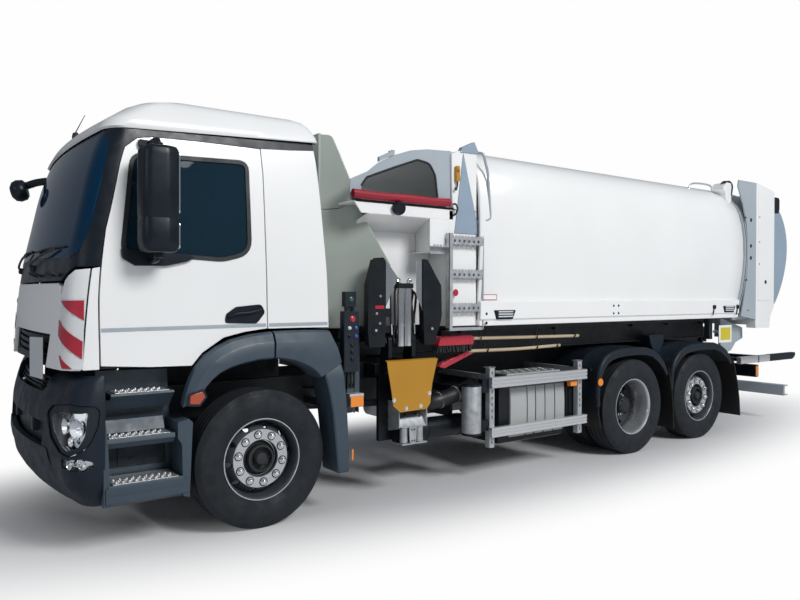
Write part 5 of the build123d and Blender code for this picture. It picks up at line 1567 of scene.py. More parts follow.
# %% Guard, curtain and lamp
ARCH = rounded([(0.745, 2.466), (0.750, 2.630), (0.909, 2.702), (1.023, 2.790), (1.172, 2.865),
                (1.343, 2.924), (1.521, 2.954), (1.785, 2.970), (1.788, 2.466)],
               [0, 0.02, 0.1, 0.1, 0.2, 0.3, 0.3, 0.01, 0])
GUARD_OPENING = rounded([(0.850, 2.472), (0.855, 2.592), (0.905, 2.656), (1.172, 2.762),
                   (1.413, 2.852), (1.545, 2.835), (1.606, 2.741), (1.632, 2.560),
                   (1.632, 2.472)], [0, 0.03, 0.06, 0.3, 0.08, 0.09, 0.12, 0.1, 0])


def flat_side(x):
    """A surface for laid panels that stands flat at x; s is y from the front axle."""
    return lambda s, z, out=0.0: Vector((x + out, FRONT + s, z))


bm = bmesh.new()
laid(bm, ARCH, flat_side(1.165), 0.008, step=0.08, holes=[GUARD_OPENING], lined=False)
laid(bm, [(1.020, 2.795), (1.172, 2.868), (1.172, 2.905), (1.020, 2.832)], flat_side(1.175),
     0.030, step=0.1, lined=False)
for y, z in ((1.140, 2.868), (1.165, 2.876)):
    bar(bm, (1.150, FRONT + y, z - 0.045), (1.150, FRONT + y, z + 0.030), 0.012, sides=12)
fit("hopper_guard", bm, LIGHT_GREY, "load_body", bevel=0.003)
bm = bmesh.new()
pipe(bm, [(1.163, FRONT + y, z) for y, z in GUARD_OPENING[1:-1]], 0.010, sides=8, steps=2)
fit("hopper_guard_edge", bm, SEAL, "load_body")
bm = bmesh.new()
CURTAIN_WIDTH, TURNS, STEPS = 0.985, 3.25, 78
coil = []
for i in range(STEPS + 1):
    a = math.tau * (TURNS * i / STEPS) - 0.5 * math.pi
    radius = 0.010 + 0.030 * i / STEPS
    coil.append((0.82 * radius * math.cos(a), radius * math.sin(a), math.cos(a), math.sin(a)))
stations = []
for i in range(25):
    t = i / 24
    sag = 0.006 * math.sin(math.pi * t) + 0.003 * math.sin(9.0 * t)
    wave = 1.0 + 0.05 * math.sin(13.0 * t)
    ring = []
    for thick, line in ((0.0, coil), (0.0024, coil[::-1])):
        for u, w, du, dw in line:
            ring.append((1.205 + wave * (u - thick * du), FRONT + 0.748 + CURTAIN_WIDTH * t,
                         2.514 - sag + wave * (w - thick * dw)))
    stations.append(ring)
swept(bm, stations)
curtain = fit("curtain_roll", bm, CURTAIN, "load_body", smooth=60.0,
              replaces=("hopper_curtain",))
bm = bmesh.new()
slab(bm, (1.180, 1.200), behind(0.750, 1.790), (2.458, 2.470))
fit("curtain_rail", bm, BLACK_STEEL, "load_body", bevel=0.003)
bm = bmesh.new()
turned(bm, [(0, 0), (0, 0.040), (0.018, 0.054), (0.050, 0.056), (0.056, 0.050), (0.050, 0.044),
            (0.046, 0)], (1.190, FRONT + 1.192, 2.428), (1.0, -0.35, -0.25), 36, closed=False)
slab(bm, (1.188, 1.196), behind(1.165, 1.219), (2.42, 2.475))
fit("work_lamp", bm, BLACK, "load_body", bevel=0.002)
print("guard and curtain fitted")

# %% [markdown]
# ## The ladder
# Each tread is a folded channel with round holes along its face and a saw edge on top for grip.
# The front upright is a deep channel, and the rear one a plain strip.

# %% Ladder
TREAD_HEIGHTS = (2.228, 1.935, 1.641)
bm = bmesh.new()
slab(bm, (1.196, 1.250), behind(1.700, 1.706), (1.400, 2.245))
slab(bm, (1.242, 1.250), behind(1.700, 1.738), (1.400, 2.245))
slab(bm, (1.196, 1.250), behind(2.092, 2.098), (1.405, 2.240))
slab(bm, (1.196, 1.240), behind(1.700, 2.098), (1.398, 1.424))
for top in TREAD_HEIGHTS:
    for i in range(10):
        y = FRONT + 1.724 + 0.037 * i
        prism(bm, [(y, top - 0.012), (y + 0.006, top), (y + 0.024, top), (y + 0.030, top - 0.012)],
              1.243, 1.249)
    slab(bm, (1.200, 1.249), behind(1.706, 2.092), (top - 0.017, top - 0.012))
    slab(bm, (1.200, 1.204), behind(1.706, 2.092), (top - 0.085, top - 0.012))
    holes = [circle(12, 1.760 + 0.055 * i, top - 0.048, 0.013) for i in range(6)]
    laid(bm, rectangle((1.706, 2.092), (top - 0.078, top - 0.016)), flat_side(1.249), 0.004,
         step=0.05, holes=holes, lined=False)
fit("ladder_treads", bm, GALVANISED, "load_body", bevel=0.0015,
    replaces=("ladder",))
bm = bmesh.new()
slab(bm, (1.190, 1.246), behind(1.520, 1.700), (2.118, 2.126))
for i in range(5):
    slab(bm, (1.240, 1.246), behind(1.530 + 0.034 * i, 1.550 + 0.034 * i), (2.126, 2.140))
slab(bm, (1.190, 1.194), behind(1.530, 1.700), (2.062, 2.126))
fit("ladder_side_step", bm, GALVANISED, "load_body", bevel=0.002)
bm = bmesh.new()
pipe(bm, placed([(1.196, 2.080, 2.985), (1.235, 2.098, 2.965), (1.238, 2.125, 2.890),
                 (1.238, 2.152, 2.800), (1.238, 2.168, 2.620), (1.238, 2.182, 2.430),
                 (1.238, 2.165, 2.392), (1.232, 2.110, 2.374), (1.196, 2.068, 2.366)]), 0.0125,
     sides=12, steps=4)
fit("grab_rail", bm, LIGHT_GREY, "load_body")
bm = bmesh.new()
prism(bm, rounded(aft(rectangle((1.800, 1.840), (2.700, 2.838))), 0.015), 1.190, 1.222)
peg(bm, (1.222, 1.236), FRONT + 1.82, 2.80, 0.014, sides=14)
fit("guard_latch", bm, YELLOW, "load_body", bevel=0.004)
bm = bmesh.new()
pipe(bm, placed([(1.205, 1.826, 2.700), (1.212, 1.815, 2.660), (1.215, 1.800, 2.625),
                 (1.212, 1.790, 2.645)]), 0.007, sides=8)
pipe(bm, placed([(1.200, 1.775, 2.500), (1.222, 1.790, 2.500), (1.228, 1.806, 2.460),
                 (1.222, 1.790, 2.415), (1.200, 1.772, 2.400)]), 0.008, sides=8)
fit("latch_hooks", bm, SEAL, "load_body")
print("ladder fitted")

# %% [markdown]
# ## The side lifter
# The lifter is three bodies deep: a carriage slides out across the frame, an arm turns on the
# carriage, and two jaws close on a bin. The yellow shield and the bright valve head hang from
# the carriage, so they travel with it and stay upright while the arm swings up.

# %% Carriage, shield and valve head
LIFT = 1.260
PIN_X, PIN_Z = 1.12, 1.325
JAW_PIN_Z = 1.425


def bolts(bm, places, x, radius=0.012, high=0.008, sides=6):
    """Bolt heads on a face that looks to the left, at (y from the front axle, z) places."""
    for y, z in places:
        turned(bm, [(0, 0), (0, radius * 1.5), (0.002, radius * 1.5), (0.002, radius),
                    (high, radius * 0.94), (high, 0)], (x, FRONT + y, z), sides=sides,
               closed=False)


bm = bmesh.new()
slab(bm, (-0.56, 1.06), behind(LIFT - 0.2, LIFT + 0.2), (1.04, 1.13))
for y in (LIFT - 0.14, LIFT + 0.10):
    prism(bm, rounded([(1.035, 1.045), (1.12, 1.045), (1.166, 1.19), (1.166, 1.365),
                       (1.074, 1.365), (1.035, 1.20)], 0.035), *behind(y, y + 0.04), axis="y")
slab(bm, (1.0, 1.04), behind(LIFT - 0.15, LIFT + 0.24), (0.48, 1.10))
bar(bm, (PIN_X, FRONT + LIFT - 0.165, PIN_Z), (PIN_X, FRONT + LIFT + 0.165, PIN_Z), 0.024)
for y in (LIFT - 0.165, LIFT + 0.145):
    bar(bm, (PIN_X, FRONT + y, PIN_Z), (PIN_X, FRONT + y + 0.02, PIN_Z), 0.040, sides=6)
fit("lifter_carriage_frame", bm, BLACK_STEEL, "lifter_carriage", bevel=0.004,
    replaces=("lifter_carriage",))
SHIELD = [(-0.262, 1.165), (-0.250, 1.085), (-0.232, 1.000), (-0.214, 0.900), (-0.198, 0.800),
          (-0.130, 0.742), (0.148, 0.748), (0.186, 0.795), (0.194, 0.880), (0.208, 0.970),
          (0.236, 1.070), (0.265, 1.168)]
bm = bmesh.new()
prism(bm, [(FRONT + LIFT + 0.06 + y, z) for y, z in SHIELD], 1.231, 1.237)
prism(bm, [(1.237, 1.163), (1.205, 1.175), (1.205, 1.169), (1.231, 1.158)],
      *behind(LIFT - 0.200, LIFT + 0.322), axis="y")
slab(bm, (1.055, 1.231), behind(LIFT + 0.02, LIFT + 0.10), (1.065, 1.115))
fit("lifter_shield_plate", bm, YELLOW, "lifter_carriage", bevel=0.002,
    replaces=("lifter_shield",))
bm = bmesh.new()
bolts(bm, [(1.128, 0.848), (1.252, 0.770), (1.402, 0.778), (1.494, 0.878)], 1.237, 0.013)
fit("lifter_shield_bolts", bm, CHROME, "lifter_carriage")
bm = bmesh.new()
for y in (1.206, 1.494):
    prism(bm, rounded([(1.036, 0.820), (1.110, 0.820), (1.198, 0.735), (1.198, 0.600),
                       (1.036, 0.560)], 0.012), *behind(y, y + 0.007), axis="y")
prism(bm, [(1.040, 0.705), (1.150, 0.672), (1.185, 0.612), (1.185, 0.604), (1.145, 0.664),
           (1.040, 0.697)], *behind(1.213, 1.494), axis="y")
slab(bm, (1.040, 1.200), behind(1.240, 1.500), (0.455, 0.466))
slab(bm, (1.040, 1.196), behind(1.240, 1.500), (0.598, 0.606))
prism(bm, rounded([(FRONT + 1.326, 0.466), (FRONT + 1.388, 0.466), (FRONT + 1.396, 0.598),
                   (FRONT + 1.318, 0.598)], 0.008), 1.180, 1.192)
for y, radius in ((1.280, 0.032), (1.438, 0.036)):
    bar(bm, (1.160, FRONT + y, 0.470), (1.160, FRONT + y, 0.595), radius, sides=28)
    bar(bm, (1.160, FRONT + y, 0.486), (1.160, FRONT + y, 0.492), radius + 0.004, sides=28)
fit("valve_head_frame", bm, GALVANISED, "lifter_carriage", bevel=0.0015)
bm = bmesh.new()
slab(bm, (1.040, 1.120), behind(1.245, 1.495), (0.466, 0.598))
bolts(bm, [(y, z) for y in (1.345, 1.370) for z in (0.484, 0.578)], 1.192, 0.005, 0.002, 12)
bolts(bm, [(1.250, 0.690), (1.455, 0.676)], 1.150, 0.007, 0.004)
for y in (1.270, 1.330, 1.440):
    pipe(bm, placed([(1.090, y, 0.600), (1.100, y + 0.01, 0.720), (1.070, y, 0.860),
                     (1.060, y - 0.02, 0.980)]), 0.010, sides=10)
fit("valve_head_parts", bm, BLACK, "lifter_carriage", bevel=0.001)
print("lifter dressed")

# %% [markdown]
# The arm's foot carries a crossbar with a pin for each jaw, and two polished tubes rise from it
# to a dark head. Short hoses run down beside the tubes and stay clipped to the arm.

# %% Arm
bm = bmesh.new()
prism(bm, aft(rounded(rectangle((LIFT - 0.09, LIFT + 0.09), (1.285, 1.455), across_first=True),
                      0.02)), 1.085, 1.155)
bar(bm, (PIN_X, FRONT + LIFT - 0.09, PIN_Z), (PIN_X, FRONT + LIFT + 0.09, PIN_Z), 0.050)
slab(bm, (1.075, 1.150), behind(LIFT - 0.370, LIFT + 0.310), (1.395, 1.455))
for y in (LIFT - 0.315, LIFT + 0.255):
    peg(bm, (1.145, 1.158), FRONT + y, JAW_PIN_Z, 0.045)
    peg(bm, (1.145, 1.243), FRONT + y, JAW_PIN_Z, 0.0195)
slab(bm, (1.100, 1.222), behind(LIFT - 0.08, LIFT + 0.075), (1.765, 1.806))
prism(bm, aft(rectangle((LIFT + 0.055, LIFT + 0.085), (1.30, 1.78), across_first=True)), 1.10,
      1.16)
fit("lifter_arm_frame", bm, BLACK_STEEL, "lifter_arm", bevel=0.004,
    replaces=("lifter_arm",))
bm = bmesh.new()
for y in (LIFT - 0.035, LIFT + 0.040):
    bar(bm, (1.185, FRONT + y, 1.285), (1.185, FRONT + y, 1.764), 0.034, sides=28)
    bar(bm, (1.185, FRONT + y, 1.700), (1.185, FRONT + y, 1.722), 0.0365, sides=28)
    bar(bm, (1.185, FRONT + y, 1.445), (1.185, FRONT + y, 1.465), 0.0365, sides=28)
for y, lean in ((LIFT - 0.045, -0.018), (LIFT + 0.045, 0.008)):
    pipe(bm, placed([(1.180, y, 1.800), (1.185, y + lean * 0.4, 1.830), (1.190, y + lean, 1.835),
                     (1.195, y + lean * 1.8, 1.815)]), 0.017, sides=12)
fit("lifter_tubes", bm, CHROME, "lifter_arm", bevel=0.002)
bm = bmesh.new()
for y in (LIFT - 0.105, LIFT + 0.130):
    prism(bm, [(FRONT + y - 0.006, 1.47), (FRONT + y + 0.006, 1.47), (FRONT + y + 0.010, 1.38),
               (FRONT + y - 0.002, 1.38)], 1.157, 1.163)
fit("lifter_arm_strips", bm, ALUMINIUM, "lifter_arm", bevel=0.001)
bm = bmesh.new()
for k, y in enumerate((0.095, 0.122, 0.148)):
    sway = 0.008 * (-1) ** k
    pipe(bm, placed([(1.140, LIFT + 0.050, 1.790 - 0.012 * k), (1.145, LIFT + y, 1.760 - 0.02 * k),
                     (1.140, LIFT + y + sway, 1.640), (1.139, LIFT + y - sway, 1.500),
                     (1.138, LIFT + y, 1.380), (1.135, LIFT + 0.080, 1.310)]), 0.0105, sides=10)
for x, y in ((1.176, -0.083), (1.140, -0.100)):
    pipe(bm, placed([(1.165, LIFT - 0.060, 1.790), (x, LIFT + y, 1.740),
                     (x, LIFT + y - 0.002, 1.600), (x, LIFT + y, 1.470),
                     (1.140, LIFT - 0.080, 1.330)]), 0.009, sides=10)
fit("lifter_hoses", bm, HOSE, "lifter_arm")
print("arm dressed")

# %% [markdown]
# Each jaw is a dark shell with a cut-off top and a bright inner wing that guides the bin. The
# wings are narrow enough to stay apart when the jaws have closed.

# %% Jaws
JAWS = {
    "front": (LIFT - 0.315, [(-0.060, 1.290), (0.090, 1.290), (0.098, 1.600), (0.098, 1.975),
                             (0.076, 2.012), (-0.011, 2.005), (-0.072, 1.790), (-0.075, 1.420)],
              [(0.080, 1.660), (0.098, 1.600), (0.120, 1.640), (0.150, 1.700), (0.224, 1.850),
               (0.214, 1.866), (0.092, 2.006), (0.080, 2.006)]),
    "rear": (LIFT + 0.255, [(-0.078, 1.290), (0.020, 1.290), (0.100, 1.480), (0.108, 1.530),
                            (0.102, 1.790), (-0.046, 2.006), (-0.090, 2.014), (-0.090, 1.600)],
             [(-0.080, 1.560), (-0.080, 2.010), (-0.146, 1.996), (-0.158, 1.960),
              (-0.152, 1.700), (-0.118, 1.640)]),
}
RIVETS = ((0.045, 1.700), (0.010, 1.560), (0.040, 1.480))
for name, (pivot, outer, wing) in JAWS.items():
    shell = rounded(aft(outer, FRONT + pivot), 0.010, 2)
    bm = bmesh.new()
    prism(bm, shell, 1.212, 1.240)
    prism(bm, shrunk(shell, 0.012), 1.160, 1.212)
    turned(bm, [(0, 0), (0, 0.040), (0.006, 0.036), (0.006, 0)], (1.240, FRONT + pivot, JAW_PIN_Z),
           closed=False)
    fit(f"jaw_{name}_shell", bm, BLACK_STEEL, f"jaw_{name}", bevel=0.005,
        segments=3, replaces=(f"jaw_{name}",))
    bm = bmesh.new()
    prism(bm, aft(wing, FRONT + pivot), 1.2235, 1.2275)
    fit(f"jaw_{name}_wing", bm, CHROME, f"jaw_{name}", bevel=0.001)
    bm = bmesh.new()
    for y, z in RIVETS if name == "front" else ():
        turned(bm, rectangle((0, 0.002), (0.005, 0.010)), (1.240, FRONT + pivot + y, z), sides=20)
    peg(bm, (1.238, 1.248), FRONT + pivot, JAW_PIN_Z, 0.012, sides=6)
    fit(f"jaw_{name}_fixings", bm, GALVANISED, f"jaw_{name}")
pivot = FRONT + JAWS["front"][0]
bm = bmesh.new()
slab(bm, (1.175, 1.214), (pivot + 0.080, pivot + 0.160), (1.530, 1.730))
fit("jaw_front_box", bm, BLACK, "jaw_front", bevel=0.006)
bm = bmesh.new()
slab(bm, (1.2145, 1.216), (pivot + 0.102, pivot + 0.152), (1.600, 1.705))
fit("jaw_front_plate", bm, PLATE, "jaw_front", bevel=0.0005)
bm = bmesh.new()
slab(bm, (1.240, 1.241), (pivot - 0.005, pivot + 0.080), (1.598, 1.624))
fit("jaw_front_strip", bm, RED, "jaw_front")
print("jaws dressed")

# %% [markdown]
# ## Beside the frame
# Behind the cab stands the lifter's control panel on its post. Further back come an air tank, a
# thick ribbed intake hose, a round can, a stowage box with five panels and the grooved rails of
# the side guard. All of them ride on the chassis.

# %% Control panel
bm = bmesh.new()
prism(bm, rounded(rectangle((1.130, 1.200), (FRONT + 0.675, FRONT + 0.815), across_first=True),
                  0.010), 1.100, 1.580, axis="z")
prism(bm, rounded(rectangle((1.140, 1.196), (FRONT + 0.685, FRONT + 0.790), across_first=True),
                  0.008), 1.615, 1.735, axis="z")
slab(bm, (1.155, 1.185), behind(0.700, 0.770), (1.575, 1.620))
fit("control_panel_case", bm, DARK_PAINTED_SHADE, "chassis", bevel=0.003,
    replaces=("control_panel",))
bm = bmesh.new()
slab(bm, (1.100, 1.128), behind(0.745, 0.812), (0.780, 1.560))
prism(bm, aft(rectangle((0.820, 0.868), (0.830, 1.390), across_first=True)), 1.090, 1.120)
slab(bm, (0.420, 1.110), behind(0.745, 0.805), (0.762, 0.818))
fit("control_panel_post", bm, SLATE, "chassis", bevel=0.003)
KNOBS = {"red_button": (RED, [(0.749, 1.520, 0.026)]),
         "blue_buttons": (finish("blue_button", (0.03, 0.08, 0.35), rough=0.3, coat=0.4),
                          [(0.782, 1.448, 0.015), (0.782, 1.384, 0.015)]),
         "white_button": (PLATE, [(0.722, 1.448, 0.015)]),
         "green_button": (finish("green_button", (0.02, 0.10, 0.07), rough=0.3, coat=0.4),
                          [(0.738, 1.675, 0.022)]),
         "dark_buttons": (BLACK, [(0.722, 1.384, 0.015), (0.749, 1.314, 0.017),
                                  (0.749, 1.260, 0.017), (0.749, 1.204, 0.017)])}
for name, (material, places) in KNOBS.items():
    bm = bmesh.new()
    for y, z, radius in places:
        face = 1.196 if z > 1.6 else 1.200
        turned(bm, [(0, 0), (0, radius), (0.005, radius), (0.006, radius * 0.82),
                    (0.014, radius * 0.78), (0.017, radius * 0.55), (0.018, 0)],
               (face, FRONT + y, z), sides=24, closed=False)
    fit(f"panel_{name}", bm, material, "chassis")
bm = bmesh.new()
for k in range(4):
    y = 0.700 + 0.030 * k
    pipe(bm, placed([(1.165, y, 1.105), (1.165, y, 1.040), (1.120, y + 0.02, 0.960),
                     (1.040, y + 0.03, 0.930), (0.900, y + 0.03, 0.925),
                     (0.430, y + 0.03, 0.900)]), 0.009, sides=8)
pipe(bm, placed([(1.170, 0.735, 1.612), (1.206, 0.760, 1.606), (1.206, 0.752, 1.590),
                 (1.168, 0.740, 1.584)]), 0.006, sides=8)
fit("panel_cables", bm, HOSE, "chassis")
print("panel dressed")

# %% [markdown]
# Boxes and cans are the simplest forms on a truck, so each is a prism or a turned section. The
# intake hose is a bent pipe too: every other ring is a little wider, and that makes its ribs. The
# tread plate's raised marks are small lozenges that turn one way and then the other.

# %% Stowage box, can, tank and hose
bm = bmesh.new()
PANELS = (2.565, 2.796, 2.912, 3.045, 3.185, 3.335)
for low, high in zip(PANELS, PANELS[1:]):
    prism(bm, rounded([(0.60, 0.830), (1.108, 0.830), (1.116, 0.640), (1.114, 0.400),
                       (1.050, 0.292), (0.60, 0.292)], 0.014, 3),
          *behind(low + 0.006, high - 0.006), axis="y")
fit("side_box_panels", bm, BOX_GREY, "chassis", bevel=0.006, segments=3,
    replaces=("side_boxes",))
bm = bmesh.new()
slab(bm, (0.560, 1.085), behind(2.430, 3.330), (0.305, 0.820))
slab(bm, (0.600, 1.105), behind(2.425, 2.545), (0.400, 0.850))
prism(bm, rounded([(0.70, 0.820), (1.090, 0.820), (1.110, 0.780), (1.110, 0.480), (1.080, 0.450),
                   (0.70, 0.450)], 0.010), *behind(3.350, 3.490), axis="y")
prism(bm, aft(rounded(rectangle((3.385, 3.455), (0.760, 0.500), across_first=True), 0.015)), 1.108,
      1.122)
for y in (2.53, 3.07):
    slab(bm, (0.410, 0.600), behind(y, y + 0.08), (0.762, 0.818))
for x in (0.70, 1.02):
    slab(bm, (x, x + 0.05), behind(2.430, 3.470), (0.830, 0.850))
fit("side_box_frame", bm, BLACK_STEEL, "chassis", bevel=0.005)
bm = bmesh.new()
CAN = (1.12, FRONT + 2.07)
turned(bm, [(0.455, 0), (0.455, 0.084), (0.462, 0.089), (0.470, 0.0895), (0.660, 0.0895),
            (0.664, 0.0905), (0.668, 0.0895), (0.875, 0.0895), (0.885, 0.086), (0.888, 0)],
       (*CAN, 0), axis=(0, 0, 1), sides=48, closed=False)
fit("air_can", bm, GALVANISED, "chassis")
bm = bmesh.new()
for low, high in ((0.436, 0.464), (0.880, 0.908)):
    turned(bm, [(low, 0), (low, 0.076), (low + 0.006, 0.093), (high - 0.006, 0.093),
                (high, 0.076), (high, 0)], (*CAN, 0), axis=(0, 0, 1), closed=False)
for low, high in ((0.470, 0.570), (0.820, 0.940)):
    slab(bm, (1.128, 1.180), behind(2.150, 2.224), (low, high))
slab(bm, (0.410, 1.060), behind(2.040, 2.100), (0.800, 0.860))
fit("air_can_caps", bm, BLACK, "chassis", bevel=0.002)
bm = bmesh.new()
turned(bm, [(1.560, 0), (1.560, 0.030), (1.572, 0.070), (1.600, 0.090), (1.640, 0.096),
            (2.160, 0.096), (2.200, 0.090), (2.228, 0.070), (2.240, 0.030), (2.240, 0)],
       (0.880, FRONT, 0.500), axis=(0, 1, 0), sides=40, closed=False)
for y in (1.700, 2.080):
    turned(bm, rectangle((y, y + 0.035), (0.095, 0.101)), (0.880, FRONT, 0.500), axis=(0, 1, 0),
           sides=40)
    slab(bm, (0.400, 0.800), behind(y, y + 0.035), (0.560, 0.740))
fit("air_tank", bm, BLACK_STEEL, "chassis", bevel=0.002)
bm = bmesh.new()
HOSE_LINE = [(0.560, 1.600, 0.640), (0.800, 1.640, 0.690), (0.960, 1.740, 0.745),
             (0.985, 1.900, 0.780), (0.975, 2.080, 0.820), (0.900, 2.260, 0.860),
             (0.620, 2.340, 0.880), (0.400, 2.350, 0.880)]
pipe(bm, placed(HOSE_LINE), 0.066, sides=24, steps=12, ribs=0.007)
fit("intake_hose", bm, HOSE, "chassis", smooth=60.0)
bm = bmesh.new()
for x, y, z, heading in ((0.972, 1.800, 0.758, (0.1, 1, 0.22)),
                         (0.981, 1.985, 0.798, (0, 1, 0.22))):
    turned(bm, rectangle((0, 0.014), (0.070, 0.077)), (x, FRONT + y, z), axis=heading, sides=32)
fit("intake_hose_clips", bm, GALVANISED, "chassis")
bm = bmesh.new()
slab(bm, (0.900, 1.186), behind(2.450, 3.180), (0.960, 0.972))
for i in range(3):
    for j in range(14):
        x, y = 0.945 + 0.085 * i, FRONT + 2.49 + 0.05 * j
        turn = math.radians(45 if (i + j) % 2 else -45)
        du, dv = math.cos(turn) * 0.018, math.sin(turn) * 0.018
        wu, wv = -math.sin(turn) * 0.006, math.cos(turn) * 0.006
        prism(bm, [(x + du, y + dv), (x + wu, y + wv), (x - du, y - dv), (x - wu, y - wv)],
              0.9715, 0.9755, axis="z")
fit("tread_plate", bm, ALUMINIUM, "chassis", bevel=0.0008)
print("side equipment dressed")

# %% [markdown]
# A side guard keeps people away from the rear wheels. Its rails are extruded aluminium with two
# grooves, so one section pushed along the truck gives the real form. The posts are channels with
# a row of slots, drawn as thin dark plates where the rails leave them open.

# %% Side guards
RAILS = ((0.410, 0.500), (0.860, 0.960))
GUARD_Y = (2.220, 3.530)
POSTS = (2.260, 3.470)


def rail_section(low, high):
    """An extruded rail's (x, z) outline with two grooves in its outer face."""
    points = [(1.190, low), (1.231, low), (1.236, low + 0.005)]
    for part in (0.34, 0.66):
        z = low + part * (high - low)
        points += [(1.236, z - 0.006), (1.228, z - 0.003), (1.228, z + 0.003), (1.236, z + 0.006)]
    return points + [(1.236, high - 0.005), (1.231, high), (1.190, high)]


bm = bmesh.new()
for low, high in RAILS:
    prism(bm, rail_section(low, high), *behind(*GUARD_Y), axis="y")
twin(bm)
fit("side_guard_rails", bm, ALUMINIUM, "chassis", bevel=0.0015,
    replaces=("side_guards",))
bm = bmesh.new()
for y in POSTS:
    prism(bm, [(1.132, FRONT + y - 0.030), (1.190, FRONT + y - 0.030),
               (1.190, FRONT + y + 0.030), (1.132, FRONT + y + 0.030),
               (1.132, FRONT + y + 0.026), (1.185, FRONT + y + 0.026),
               (1.185, FRONT + y - 0.026), (1.132, FRONT + y - 0.026)], 0.310, 1.050, axis="z")
    slab(bm, (0.410, 1.186), behind(y - 0.020, y + 0.020), (0.925, 0.975))
    slab(bm, (1.120, 1.190), behind(y - 0.040, y + 0.040), (1.040, 1.048))
twin(bm)
fit("side_guard_posts", bm, GALVANISED, "chassis", bevel=0.001)
bm = bmesh.new()
# Each slot is a thin dark plate on the post's face: painted shade for the dark inside an opening.
for y in POSTS:
    for k in range(12):
        z = 0.345 + 0.058 * k
        if not any(low - 0.02 < z < high + 0.02 for low, high in RAILS):
            prism(bm, aft(rounded(rectangle((y - 0.006, y + 0.006), (z, z + 0.026),
                                            across_first=True), 0.006, 3)), 1.1895, 1.1908)
twin(bm)
fit("side_guard_slots", bm, SEAL, "chassis")
print("side guards built")

# %% [markdown]
# ## Rear mudguards
# Each guard is a curved shell: a top, a rounded shoulder and a short skirt that follows the
# wheel. Rings of the same section are swept along the outline. Rubber flaps hang where the
# shells end.

# %% Rear mudguards and flaps
GUARDS = {
    DRIVE: [(-0.606, 0.560), (-0.610, 0.700), (-0.604, 0.820), (-0.585, 0.920), (-0.545, 1.005),
            (-0.480, 1.070), (-0.390, 1.112), (-0.270, 1.136), (-0.120, 1.147), (0.080, 1.148),
            (0.230, 1.138), (0.350, 1.110), (0.450, 1.060), (0.530, 0.990), (0.590, 0.910),
            (0.630, 0.830)],
    TAG: [(-0.668, 0.640), (-0.664, 0.760), (-0.648, 0.870), (-0.600, 0.970), (-0.520, 1.050),
          (-0.415, 1.105), (-0.290, 1.134), (-0.140, 1.147), (0.080, 1.148), (0.240, 1.138),
          (0.370, 1.105), (0.480, 1.050), (0.570, 0.975), (0.630, 0.890)],
}
FLAPS = ((DRIVE, [(-0.606, 0.640), (-0.592, 0.470), (-0.560, 0.330)]),
         (DRIVE, [(0.622, 0.900), (0.690, 0.640), (0.718, 0.400), (0.732, 0.190)]),
         (TAG, [(0.624, 0.930), (0.680, 0.800), (0.740, 0.600), (0.782, 0.400), (0.800, 0.200)]))


def shell_rings(axle, line):
    """Rings of the guard's section along its outline, skirt and shoulder included."""
    rings = []
    points = [Vector((axle + y, z)) for y, z in line]
    for i, point in enumerate(points):
        run = (points[min(i + 1, len(points) - 1)] - points[max(i - 1, 0)]).normalized()
        inwards = Vector((run.y, -run.x))
        skirt = 0.036 + 0.050 * max(0.0, min(1.0, (point.y - 0.78) / 0.25))
        if i < len(points) / 2 and axle == TAG and point.y < 0.9:
            skirt = 0.030
        ring = []
        for x, depth in ((0.610, 0.012), (0.610, 0.0), (0.955, 0.0), (0.972, -0.006),
                         (0.990, -0.006), (1.006, 0.004), (1.196, 0.004), (1.212, 0.0),
                         (1.232, 0.006), (1.242, 0.018), (1.244, 0.030), (1.240, skirt),
                         (1.228, skirt), (1.228, 0.030), (1.205, 0.016)):
            p = point + inwards * depth
            ring.append((x, p.x, p.y))
        rings.append(ring)
    return rings


for side, right in SIDES:
    bm = bmesh.new()
    for axle, line in GUARDS.items():
        swept(bm, shell_rings(axle, line))
    fit(f"rear_mudguards_{side}", bm, DARK_PAINTED_SHADE, "chassis", bevel=0.0015,
        smooth=50.0, mirrored=right, replaces=("mudguards",) if not right else ())
    bm = bmesh.new()
    for axle, rows in FLAPS:
        swept(bm, [[(0.700, y, z), (1.236, y, z), (1.243, y + 0.006, z), (1.236, y + 0.012, z),
                    (0.700, y + 0.012, z)] for y, z in aft(rows, axle)])
    fit(f"mudflaps_{side}", bm, HOSE, "chassis", bevel=0.002, mirrored=right)
    bm = bmesh.new()
    for y in (DRIVE - 0.66, DRIVE + 0.60, TAG + 0.60):
        peg(bm, (0.405, 0.640), y + 0.02, 0.92, 0.021)
        bar(bm, (0.640, y + 0.02, 0.92), (1.180, y + 0.02, 0.94), 0.016)
    for axle in (DRIVE, TAG):
        peg(bm, (0.420, 1.180), axle, 1.125, 0.012)
    fit(f"mudguard_stays_{side}", bm, BLACK_STEEL, "chassis", mirrored=right)
    bm = bmesh.new()
    prism(bm, rounded(aft([(0.520, 1.255), (0.800, 1.255), (0.790, 1.150), (0.730, 1.050),
                           (0.620, 1.050), (0.550, 1.150)], DRIVE), 0.02), 0.930, 1.060)
    slab(bm, (0.400, 0.930), (DRIVE + 0.640, DRIVE + 0.700), (1.100, 1.150))
    fit(f"valve_box_{side}", bm, DARK_PAINTED_SHADE, "chassis", bevel=0.006, mirrored=right)
print("rear mudguards built")

# %% [markdown]
# Amber lamps mark the truck's side for traffic. They are plain slabs and one short turned lens on
# bright brackets, and they share two pieces because nothing moves between them.

